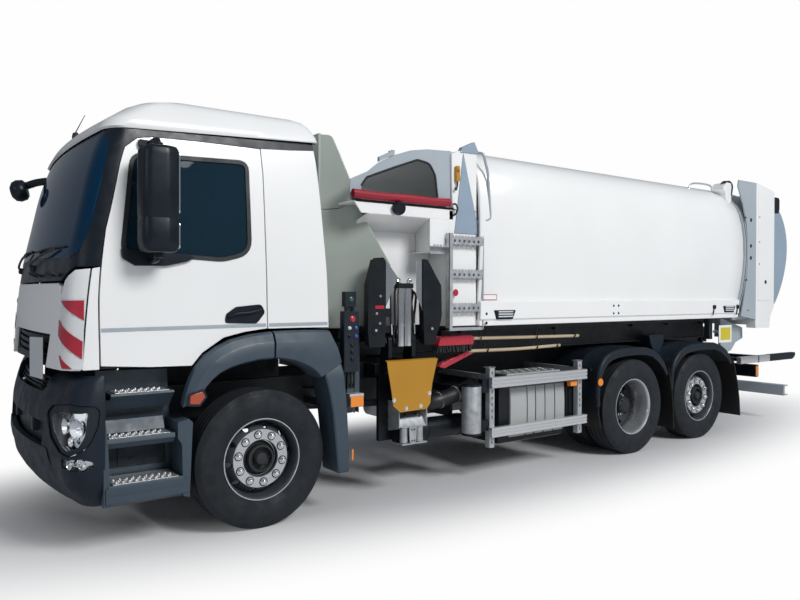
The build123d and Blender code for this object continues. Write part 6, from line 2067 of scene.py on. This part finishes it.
# %% Side markers
bm = bmesh.new()
slab(bm, (1.196, 1.204), behind(0.735, 0.855), (0.822, 0.905))
turned(bm, [(0, 0), (0, 0.040), (0.006, 0.040), (0.010, 0.030), (0.010, 0)],
       (1.244, DRIVE - 0.575, 0.812), sides=32, closed=False)
slab(bm, (1.150, 1.196), behind(3.325, 3.425), (0.795, 0.845))
slab(bm, (1.238, 1.243), behind(0.722, 0.738), (0.415, 0.500))
fit("amber_markers", bm, AMBER, "chassis", bevel=0.003)
bm = bmesh.new()
slab(bm, (1.110, 1.196), behind(0.730, 0.862), (0.900, 0.925))
slab(bm, (1.120, 1.196), behind(0.735, 0.855), (0.822, 0.900))
fit("amber_marker_brackets", bm, ALUMINIUM, "chassis", bevel=0.002)
print("markers placed")

# %% [markdown]
# ## Under and behind the load body
# Deep side beams close the view under the body's sill. They ride with the body, and so do the
# sill's lamps, the brooms on their hooks and the legs that reach down to the tipping hinge.

# %% Body underside, sill fittings and brooms
bm = bmesh.new()
prism(bm, [(0.845, 1.175), (0.900, 1.175), (0.900, 1.187), (0.857, 1.187), (0.857, 1.380),
           (0.930, 1.380), (0.930, 1.428), (0.845, 1.428)], *behind(1.930, 6.250), axis="y")
twin(bm)
fit("body_side_beams", bm, STEEL, "load_body", bevel=0.002)
bm = bmesh.new()
prism(bm, aft(rounded([(6.335, 1.424), (6.700, 1.330), (6.860, 1.290), (6.870, 1.150),
                       (6.700, 1.100), (6.590, 1.000), (6.420, 0.960), (6.335, 1.060)], 0.020)),
      1.010, 1.040)
prism(bm, aft(rectangle((6.345, 6.380), (1.180, 1.428), across_first=True)), 0.950, 1.010)
twin(bm)
fit("body_rear_legs", bm, LIGHT_GREY, "load_body", bevel=0.003)
SILL_PLATES = ((2.218, 2.496, 1.487, 1.572), (6.020, 6.300, 1.500, 1.580))
bm = bmesh.new()
for y0, y1, low, high in SILL_PLATES:
    outline = [(y0, high), (y1, high), (y1 - 0.040, low), (y0 + 0.030, low)]
    prism(bm, aft(rounded(outline, 0.008)), 1.244, 1.254)
for places in ([(2.131, 1.541), (2.131, 1.458)],
               [(y, z) for y in (3.925, 4.005) for z in (1.520, 1.600)], [(6.600, 1.520)]):
    bolts(bm, places, 1.250, 0.010, 0.008)
for y in (5.820, 6.345):
    peg(bm, (1.249, 1.268), FRONT + y, 1.568, 0.026, sides=24)
    bar(bm, (1.258, FRONT + y, 1.560), (1.258, FRONT + y - 0.030, 1.470), 0.007, sides=12)
fit("sill_fittings", bm, BLACK, "load_body", bevel=0.001)
bm = bmesh.new()
for y0, y1, low, high in SILL_PLATES:
    for k in range(3):
        z = low + 0.020 + 0.022 * k
        outline = [(y0 + 0.055, z + 0.013), (y1 - 0.030, z + 0.013), (y1 - 0.045, z),
                   (y0 + 0.060, z)]
        prism(bm, aft(outline), 1.254, 1.2575)
fit("sill_lamps", bm, PLATE, "load_body", bevel=0.0015)
bm = bmesh.new()
for z in (1.690, 1.840):
    prism(bm, aft(rounded(rectangle((2.105, 2.280), (z - 0.026, z + 0.026), across_first=True),
                          0.006)), 1.2255, 1.2265)
turned(bm, rectangle((0, 0.001), (0, 0.030)), (1.2255, FRONT + 1.79, 1.73), closed=False)
fit("body_sticker_edges", bm, RED, "load_body")
bm = bmesh.new()
for z in (1.690, 1.840):
    prism(bm, aft(rounded(rectangle((2.112, 2.273), (z - 0.020, z + 0.020), across_first=True),
                          0.005)), 1.2262, 1.2272)
fit("body_stickers", bm, WHITE, "load_body")
POLES = {"upper": [(1.085, 1.980, 1.316), (1.085, 2.700, 1.302), (1.085, 3.565, 1.290)],
         "lower": [(1.065, 2.080, 1.196), (1.065, 2.700, 1.190), (1.065, 3.305, 1.200)]}
for name, line in POLES.items():
    bm = bmesh.new()
    pipe(bm, placed(line), 0.0155, sides=16)
    fit(f"broom_{name}_pole", bm, BEIGE, "load_body")
bm = bmesh.new()
prism(bm, aft(rounded([(1.655, 1.262), (1.690, 1.345), (2.040, 1.352), (2.078, 1.330),
                       (2.070, 1.262)], 0.018)), 1.040, 1.150)
prism(bm, aft([(2.110, 1.215), (2.150, 1.175), (1.800, 1.052), (1.742, 1.068), (1.772, 1.100)]),
      1.045, 1.066)
prism(bm, aft([(2.110, 1.215), (2.150, 1.205), (1.800, 1.078), (1.742, 1.068), (1.772, 1.100)]),
      1.000, 1.048)
fit("broom_heads", bm, RED, "load_body", bevel=0.008, segments=3)
bm = bmesh.new()
random.seed(7)
for i in range(26):
    for j in range(4):
        y = 1.675 + 0.0155 * i + random.uniform(-0.003, 0.003)
        x = 1.060 + 0.024 * j + random.uniform(-0.003, 0.003)
        lean = random.uniform(-0.012, 0.012)
        bar(bm, (x, FRONT + y, 1.266), (x + lean, FRONT + y + lean, 1.200 + random.random() * 0.01),
            0.006, sides=5, end_radius=0.008)
fit("broom_bristles", bm, SEAL, "load_body")
bm = bmesh.new()
for y in (2.190, 2.930, 3.490):
    pipe(bm, placed([(1.100, y, 1.432), (1.102, y, 1.350), (1.062, y, 1.300), (1.085, y, 1.270),
                     (1.112, y, 1.296), (1.116, y, 1.325)]), 0.006, sides=8)
for y in (2.300, 2.960, 3.250):
    pipe(bm, placed([(1.090, y, 1.432), (1.040, y, 1.300), (1.038, y, 1.200), (1.062, y, 1.170),
                     (1.090, y, 1.195), (1.094, y, 1.225)]), 0.006, sides=8)
fit("broom_hooks", bm, SEAL, "load_body")
print("body underside dressed")

# %% [markdown]
# At the body's top rear corners, white cowls cover the tailgate's hinges and their hoses. The
# tailgate carries a dark lamp on each side, and blank plates hang where a truck shows its signs.

# %% Tailgate corners, signs and rear bars
for side, right in SIDES:
    bm = bmesh.new()
    prism(bm, aft(rounded([(6.150, 3.040), (6.255, 3.118), (6.345, 3.118), (6.358, 3.040),
                           (6.350, 2.880), (6.290, 2.850), (6.235, 2.900), (6.215, 2.990)],
                          0.030)), 0.990, 1.165)
    fit(f"hinge_cowl_{side}", bm, WHITE, "load_body", bevel=0.010, segments=3,
        mirrored=right)
    bm = bmesh.new()
    for k in range(3):
        x = 1.100 + 0.022 * k
        pipe(bm, placed([(x - 0.02, 6.215, 3.068), (x, 6.265, 3.131 - 0.004 * k),
                         (x + 0.01, 6.330, 3.133), (x + 0.03, 6.352, 3.078),
                         (x + 0.02, 6.345, 3.010 - 0.02 * k), (x, 6.330, 2.960)]), 0.009, sides=8)
    fit(f"hinge_hoses_{side}", bm, HOSE, "load_body", mirrored=right)
    bm = bmesh.new()
    pipe(bm, placed([(1.000, 5.660, 2.960), (1.005, 5.700, 3.050), (1.010, 5.800, 3.082),
                     (1.010, 6.080, 3.088), (1.005, 6.180, 3.062)]), 0.011, sides=12)
    fit(f"roof_hoop_{side}", bm, ALUMINIUM, "load_body", mirrored=right)
    bm = bmesh.new()
    prism(bm, aft(rounded([(7.262, 3.010), (7.400, 3.010), (7.424, 2.980), (7.424, 2.850),
                           (7.396, 2.800), (7.262, 2.800)], 0.016)), 1.140, 1.235)
    fit(f"tail_lamp_{side}", bm, BLACK, "tailgate", bevel=0.008, segments=3,
        mirrored=right)
    bm = bmesh.new()
    slab(bm, (1.155, 1.222), behind(7.4235, 7.428), (2.850, 2.985))
    fit(f"tail_lamp_{side}_lens", bm, RED, "tailgate", bevel=0.002, mirrored=right)
    bm = bmesh.new()
    slab(bm, (1.172, 1.228), behind(6.482, 7.200), (0.842, 0.928))
    prism(bm, [(1.228, 0.842), (1.234, 0.852), (1.234, 0.880), (1.228, 0.885), (1.234, 0.890),
               (1.234, 0.918), (1.228, 0.928)], *behind(6.482, 7.200), axis="y")
    fit(f"rear_rail_{side}", bm, ALUMINIUM, "chassis", bevel=0.002, mirrored=right)
    bm = bmesh.new()
    prism(bm, [(FRONT + 7.200, 0.840), (FRONT + 7.820, 0.840), (TAIL - 0.020, 0.870),
               (TAIL, 0.905), (TAIL - 0.015, 0.930), (FRONT + 7.200, 0.930)], 1.170, 1.230)
    slab(bm, (1.169, 1.2355), behind(6.900, 6.925), (0.839, 0.931))
    for y in (6.600, 7.150):
        slab(bm, (0.412, 1.180), behind(y, y + 0.06), (0.862, 0.908))
    slab(bm, (0.860, 1.165), behind(6.960, 7.040), (0.640, 0.800))
    slab(bm, (0.412, 0.880), behind(6.980, 7.020), (0.760, 0.790))
    fit(f"rear_rail_end_{side}", bm, BLACK, "chassis", bevel=0.005,
        mirrored=right)
    bm = bmesh.new()
    slab(bm, (1.040, 1.150), behind(7.040, 7.052), (0.655, 0.785))
    slab(bm, (1.1645, 1.172), behind(6.968, 7.032), (0.655, 0.785))
    fit(f"rear_lamp_{side}_amber", bm, AMBER, "chassis", bevel=0.003,
        mirrored=right)
    bm = bmesh.new()
    slab(bm, (0.880, 1.034), behind(7.040, 7.052), (0.655, 0.785))
    fit(f"rear_lamp_{side}_red", bm, RED, "chassis", bevel=0.003, mirrored=right)
bm = bmesh.new()
C_BEAM = [(-0.260, 0.345), (-0.140, 0.345), (-0.140, 0.359), (-0.246, 0.359), (-0.246, 0.471),
          (-0.140, 0.471), (-0.140, 0.485), (-0.260, 0.485)]
prism(bm, aft(C_BEAM, TAIL), -1.200, 1.200)
for x in (-1.16, -0.6, 0.0, 0.6, 1.16):
    slab(bm, (x - 0.004, x + 0.004), (TAIL - 0.247, TAIL - 0.150), (0.360, 0.460))
BRACKET = [(-1.090, 0.880), (-1.090, 0.735), (-0.255, 0.352), (-0.150, 0.352), (-0.150, 0.468),
           (-0.830, 0.880)]
for x in (0.421, -0.439):
    prism(bm, aft(BRACKET, TAIL), x, x + 0.018)
fit("underrun_beam", bm, LIGHT_GREY, "chassis", bevel=0.003,
    replaces=("rear_underrun",))
bm = bmesh.new()
slab(bm, (1.190, 1.196), behind(6.035, 6.320), (1.125, 1.340))
slab(bm, (1.040, 1.190), behind(6.160, 6.190), (1.240, 1.270))
fit("side_sign", bm, WHITE, "load_body", bevel=0.002)
bm = bmesh.new()
slab(bm, (1.1955, 1.1975), behind(6.070, 6.290), (1.158, 1.312))
fit("side_sign_face", bm, finish("sign_yellow", (0.62, 0.52, 0.03), rough=0.4, blotch=0.05),
    "load_body", bevel=0.0005)
bm = bmesh.new()
slab(bm, (1.060, 1.130), behind(5.930, 6.000), (1.170, 1.428))
fit("side_sign_post", bm, STEEL, "load_body", bevel=0.003)
print("rear dressed")

# %% [markdown]
# ## Small parts of the cab
# Wipers rest at the foot of the windscreen, an aerial leans back from the roof's front edge and
# a small mirror looks down past the far corner.

# %% Wipers, aerial and corner mirror
bm = bmesh.new()
for start, tip in ((-0.62, -0.02), (0.16, 0.84)):
    pipe(bm, [cab_point(start, 1.895, 0.012), cab_point(start + 0.02, 1.925, 0.030),
              cab_point((start + tip) / 2, 1.975, 0.034), cab_point(tip - 0.10, 2.010, 0.024)],
         0.009, sides=8)
    pipe(bm, [cab_point(start + 0.08, 2.010, 0.012), cab_point((start + tip) / 2, 2.022, 0.014),
              cab_point(tip + 0.06, 2.024, 0.012)], 0.008, sides=8)
    turned(bm, [(0, 0), (0, 0.026), (0.020, 0.024), (0.026, 0.012), (0.026, 0)],
           cab_point(start, 1.895, 0.0), (0, -1, 0.15), closed=False)
for s in (0.30, 0.72):
    pipe(bm, [cab_point(s, 1.835, 0.0), cab_point(s + 0.01, 1.850, 0.050),
              cab_point(s + 0.12, 1.852, 0.055), cab_point(s + 0.14, 1.835, 0.0)], 0.009,
         sides=8)
fit("wipers", bm, SEAL, "cab")
bm = bmesh.new()
AERIAL = Vector((-0.150, FRONT - 1.000, 2.950))
turned(bm, [(0, 0), (0, 0.034), (0.020, 0.030), (0.045, 0.018), (0.050, 0)], AERIAL,
       (0.0, -0.25, 1), closed=False)
bar(bm, AERIAL + Vector((0, -0.012, 0.035)), AERIAL + Vector((0.0, 0.063, 0.195)), 0.0045,
    sides=10, end_radius=0.0025)
fit("aerial", bm, SEAL, "cab")
bm = bmesh.new()
turned(bm, [(-0.050, 0), (-0.050, 0.068), (-0.030, 0.092), (0.020, 0.100), (0.060, 0.086),
            (0.085, 0.050), (0.092, 0)], (-1.347, FRONT - 1.235, 2.655), (-0.25, -0.75, -0.20), 32,
       closed=False)
pipe(bm, placed([(-1.100, -0.950, 2.725), (-1.160, -1.030, 2.735), (-1.245, -1.120, 2.725),
                 (-1.317, -1.190, 2.700)]), 0.034, sides=16)
fit("corner_mirror", bm, BLACK, "door_right", smooth=50.0)
print("cab parts fitted")

# %% [markdown]
# ## Inside the cab
# The dashboard is one moulding with a hood over the instruments. The steering wheel leans back
# on its column.

# %% Dashboard and steering wheel
bm = bmesh.new()
DASH = rounded([(-1.070, 1.300), (-1.070, 1.800), (-1.000, 1.835), (-0.900, 1.825),
                (-0.830, 1.760), (-0.826, 1.600), (-0.880, 1.480), (-0.900, 1.300)], 0.030)
prism(bm, aft(DASH), -1.060, 1.060)
prism(bm, aft(rounded([(-0.990, 1.810), (-0.985, 1.885), (-0.900, 1.885), (-0.835, 1.835),
                       (-0.835, 1.790)], 0.020)), 0.400, 0.840)
prism(bm, aft(rounded([(-0.900, 1.500), (-0.820, 1.620), (-0.740, 1.740), (-0.780, 1.780),
                       (-0.900, 1.780)], 0.020)), -0.180, 0.240)
for k in range(6):
    z = 1.560 + 0.028 * k
    slab(bm, (-0.120, 0.180), behind(-0.835 + 0.022 * k, -0.800 + 0.022 * k), (z, z + 0.010))
fit("dashboard", bm, TRIM, "cab", bevel=0.006, segments=3,
    replaces=("cab_interior",))
WHEEL_CENTRE = Vector((0.620, FRONT - 0.640, 1.880))
WHEEL_NORMAL = Vector((0, 0.700, 0.720)).normalized()
bm = bmesh.new()
turned(bm, [(0.016 * math.sin(a), 0.215 + 0.016 * math.cos(a))
            for a in (math.tau * k / 14 for k in range(14))], WHEEL_CENTRE, WHEEL_NORMAL, 64)
turned(bm, [(-0.030, 0), (-0.030, 0.060), (-0.005, 0.072), (0.004, 0.064), (0.008, 0)],
       WHEEL_CENTRE, WHEEL_NORMAL, 32, closed=False)
across = Vector((1, 0, 0))
upward = WHEEL_NORMAL.cross(across)
for turn in (-15, 195, 270):
    a = math.radians(turn)
    out = across * math.cos(a) + upward * math.sin(a)
    bar(bm, WHEEL_CENTRE + out * 0.050, WHEEL_CENTRE + out * 0.205, 0.013, 10)
bar(bm, (0.620, FRONT - 0.850, 1.690), WHEEL_CENTRE - WHEEL_NORMAL * 0.020, 0.030, 24)
fit("steering_wheel", bm, SEAL, "cab", smooth=50.0)
bm = bmesh.new()
for x in (-0.620, 0.620):
    prism(bm, rectangle((x - 0.190, x + 0.190), (FRONT - 0.410, FRONT + 0.050), across_first=True),
          1.440, 1.510, axis="z")
    for k in range(3):
        z = 1.452 + 0.018 * k
        slab(bm, (x - 0.197, x + 0.197), behind(-0.417, 0.057), (z, z + 0.008))
fit("seat_boxes", bm, TRIM, "cab", bevel=0.004)
print("cab inside fitted")

# %% [markdown]
# The seats are padded cloth. A rough pad is remeshed into even faces, a cloth simulation blows
# it up a little, and each point's movement is capped. Then sewn channels are pressed in. One
# seat is made and its mesh mirrored, so both take the same time as one.

# %% Seats
VOXEL = 0.011
CHANNEL_WIDTH, CHANNEL_DEPTH = 0.009, 0.008


def swollen(name, bm, cap):
    """Blows a rough pad up like a stuffed cover and returns its points and faces."""
    pad = in_scene(name, mesh_of(name, bm))
    even = pad.modifiers.new("even", "REMESH")
    even.mode = "VOXEL"
    even.voxel_size = VOXEL
    graph = bpy.context.evaluated_depsgraph_get()
    pad.data = bpy.data.meshes.new_from_object(pad.evaluated_get(graph))
    pad.modifiers.remove(even)
    before = [v.co.copy() for v in pad.data.vertices]
    cover = pad.modifiers.new("cover", "CLOTH")
    cover.settings.quality = 4
    cover.settings.use_pressure = True
    cover.settings.uniform_pressure_force = 4.0
    cover.settings.effector_weights.gravity = 0.0
    for step in range(1, 21):
        bpy.context.scene.frame_set(step)
    graph = bpy.context.evaluated_depsgraph_get()
    blown = bpy.data.meshes.new_from_object(pad.evaluated_get(graph))
    for vertex, start, end in zip(pad.data.vertices, before, blown.vertices):
        move = end.co - start
        vertex.co = start + move * min(1.0, cap / max(move.length, 1e-9))
    pad.modifiers.remove(cover)
    bpy.context.scene.frame_set(1)
    return pad


def ride_padded(pad):
    """Rounds a pad off and lets it ride in the cab as padded cloth."""
    pad.modifiers.new("fine", "SUBSURF").levels = 1
    pad.modifiers["fine"].render_levels = 1
    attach(pad, "cab")


def seat_pad(name, bm, cap, along, lines=(), floor=0.0):
    """A blown pad with channels pressed across it, one at each of lines measured along."""
    pad = swollen(name, bm, cap)
    mesh = pad.data
    mesh.update()
    normals = [v.normal.copy() for v in mesh.vertices]
    for vertex, normal in zip(mesh.vertices, normals):
        place = vertex.co.dot(along)
        dip = sum(math.exp(-((place - line) / CHANNEL_WIDTH) ** 2) for line in lines)
        vertex.co -= normal * CHANNEL_DEPTH * min(1.0, dip)
        vertex.co.z = max(vertex.co.z, floor)
    mesh.materials.clear()
    mesh.materials.append(CLOTH)
    mesh.shade_smooth()
    ride_padded(pad)
    return pad


bm = bmesh.new()
prism(bm, aft(rounded([(-0.405, 1.520), (-0.405, 1.600), (-0.360, 1.618), (-0.060, 1.604),
                       (0.020, 1.600), (0.020, 1.520)], 0.025)), 0.400, 0.840)
cushion = seat_pad("seat_cushion_left", bm, 0.018, Vector((0, 1, 0)),
                   behind(-0.310, -0.210, -0.110), floor=1.512)
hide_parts("cab_seats")
bm = bmesh.new()
prism(bm, aft(rounded([(-0.030, 1.650), (0.045, 1.650), (0.165, 2.180), (0.075, 2.180)], 0.020)),
      0.410, 0.830)
back = seat_pad("seat_back_left", bm, 0.018, Vector((0, 0, 1)), (1.760, 1.870, 1.980, 2.090))
bm = bmesh.new()
prism(bm, aft(rounded([(0.090, 2.205), (0.165, 2.205), (0.190, 2.345), (0.130, 2.345)], 0.020)),
      0.500, 0.740)
headrest = seat_pad("seat_headrest_left", bm, 0.012, Vector((0, 0, 1)))
for pad in (cushion, back, headrest):
    mesh = pad.data.copy()
    for vertex in mesh.vertices:
        vertex.co.x = -vertex.co.x
    mesh.flip_normals()
    ride_padded(in_scene(pad.name.replace("left", "right"), mesh))
bm = bmesh.new()
pipe(bm, placed([(0.405, 0.046, 1.668), (0.402, 0.100, 1.900), (0.410, 0.160, 2.160),
                 (0.620, 0.172, 2.192), (0.830, 0.160, 2.160), (0.838, 0.100, 1.900),
                 (0.835, 0.046, 1.668)]), 0.006, sides=8)
for x in (0.560, 0.680):
    bar(bm, (x, FRONT + 0.125, 2.170), (x, FRONT + 0.138, 2.225), 0.008, 12)
for x, bulge in ((0.400, 0.396), (0.840, 0.844)):
    pipe(bm, placed([(x, -0.400, 1.560), (bulge, -0.200, 1.562), (x, 0.015, 1.560)]), 0.006,
         sides=8)
twin(bm)
fit("seat_piping", bm, SEAL, "cab")
print("seats made")

# %% [markdown]
# ## Carried-over parts
# Frame, axles, knuckles, engine and hoist already have their shapes, so they only need their
# finish. The tank gets straps and a cap.

# %% Finishes for the frame's own parts
FINISHES = {"chassis_frame": STEEL, "engine_block": CAST, "front_axle": CAST,
            "drive_axle": CAST, "tag_axle": CAST, "lifter_base": BLACK_STEEL,
            "body_subframe": STEEL, "hoist_barrel": BLACK_STEEL, "hoist_rod": CHROME,
            "fuel_tank": ALUMINIUM, "knuckle_front_left": CAST, "knuckle_front_right": CAST,
            "knuckle_tag_left": CAST, "knuckle_tag_right": CAST}
for name, material in FINISHES.items():
    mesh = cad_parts[name].data
    mesh.materials.clear()
    mesh.materials.append(material)
bm = bmesh.new()
for y in (2.600, 3.100):
    inner, outer = [rounded(rectangle((-1.120 - push, -0.560 + push), (0.300 - push, 0.850 + push),
                                      across_first=True), 0.090 + push, 8)
                    for push in (0.000, 0.006)]
    for (a, b), (d, c) in zip(edges_of(inner), edges_of(outer)):
        prism(bm, [a, b, c, d], *behind(y, y + 0.05), axis="y")
bmesh.ops.remove_doubles(bm, verts=bm.verts[:], dist=0.0001)
bar(bm, (-1.000, FRONT + 2.440, 0.840), (-1.000, FRONT + 2.440, 0.880), 0.045, 32)
fit("tank_straps", bm, BLACK_STEEL, "chassis")
print("carried-over parts finished")

# %% [markdown]
# ## Floor and light
# The floor is pale and matt, and it brightens away from the truck until it meets the white of
# the sky. Only the camera and rays through glass see that white: the light itself comes from a
# softer sky, one broad lamp beside the cab and a weaker one ahead, kept low enough that white
# paint still shows its form.

# %% Floor, lamps and sky
floor_material = bpy.data.materials.new("studio_floor")
floor_material.use_nodes = True
tree = floor_material.node_tree
matt = tree.nodes["Principled BSDF"]
matt.inputs["Base Color"].default_value = (0.70, 0.70, 0.71, 1.0)
matt.inputs["Roughness"].default_value = 0.95
place = tree.nodes.new("ShaderNodeTexCoord").outputs["Object"]
stretched = shader_node(tree, "Mapping", {"Scale": (1 / 1.6, 1 / 4.9, 1.0), "Vector": place})
reach = shader_node(tree, "VectorMath", {0: stretched.outputs["Vector"]}, operation="LENGTH")
fade = shader_node(tree, "MapRange", {"From Min": 0.80, "From Max": 1.6,
                                      "Value": reach.outputs["Value"]},
                   interpolation_type="SMOOTHSTEP")
rays = tree.nodes.new("ShaderNodeLightPath").outputs
seen = shader_node(tree, "Math", {0: fade.outputs["Result"], 1: rays["Is Camera Ray"]},
                   operation="MULTIPLY")
blank = shader_node(tree, "Emission", {"Strength": 0.99})
blended = shader_node(tree, "MixShader", {0: seen.outputs["Value"], 1: matt.outputs["BSDF"],
                                          2: blank.outputs["Emission"]})
tree.links.new(blended.outputs["Shader"], tree.nodes["Material Output"].inputs["Surface"])
bm = bmesh.new()
bmesh.ops.create_grid(bm, x_segments=1, y_segments=1, size=90.0)
floor_mesh = mesh_of("studio_floor", bm)
floor_mesh.materials.append(floor_material)
in_scene("studio_floor", floor_mesh)

world = bpy.data.worlds.new("studio")
bpy.context.scene.world = world
world.use_nodes = True
tree = world.node_tree
sky = tree.nodes["Background"]
sky.inputs["Color"].default_value = (0.84, 0.91, 1.0, 1.0)
sky.inputs["Strength"].default_value = 0.26
backdrop = shader_node(tree, "Background", {"Color": (1.0, 1.0, 1.0, 1.0), "Strength": 0.99})
rays = tree.nodes.new("ShaderNodeLightPath").outputs
through = shader_node(tree, "Math", {0: rays["Is Camera Ray"], 1: rays["Is Transmission Ray"]},
                      operation="MAXIMUM")
blended = shader_node(tree, "MixShader", {0: through.outputs["Value"],
                                          1: sky.outputs["Background"],
                                          2: backdrop.outputs["Background"]})
tree.links.new(blended.outputs["Shader"], tree.nodes["World Output"].inputs["Surface"])


def lamp(name, place, aim, size, power):
    """A soft area lamp that looks at a point."""
    data = bpy.data.lights.new(name, "AREA")
    data.shape = "RECTANGLE"
    data.size, data.size_y = size
    data.energy = power
    source = in_scene(name, data)
    source.location = place
    source.rotation_euler = (Vector(aim) - Vector(place)).to_track_quat("-Z", "Y").to_euler()


lamp("key", (16.5, 1.5, 13.0), (0.0, 0.0, 1.0), (6.0, 6.0), 2780.0)
lamp("front", (4.0, -14.0, 6.0), (0.0, -3.0, 1.4), (6.0, 4.0), 110.0)
bpy.context.scene.view_settings.view_transform = "Standard"
print("lamps", len(bpy.data.lights))
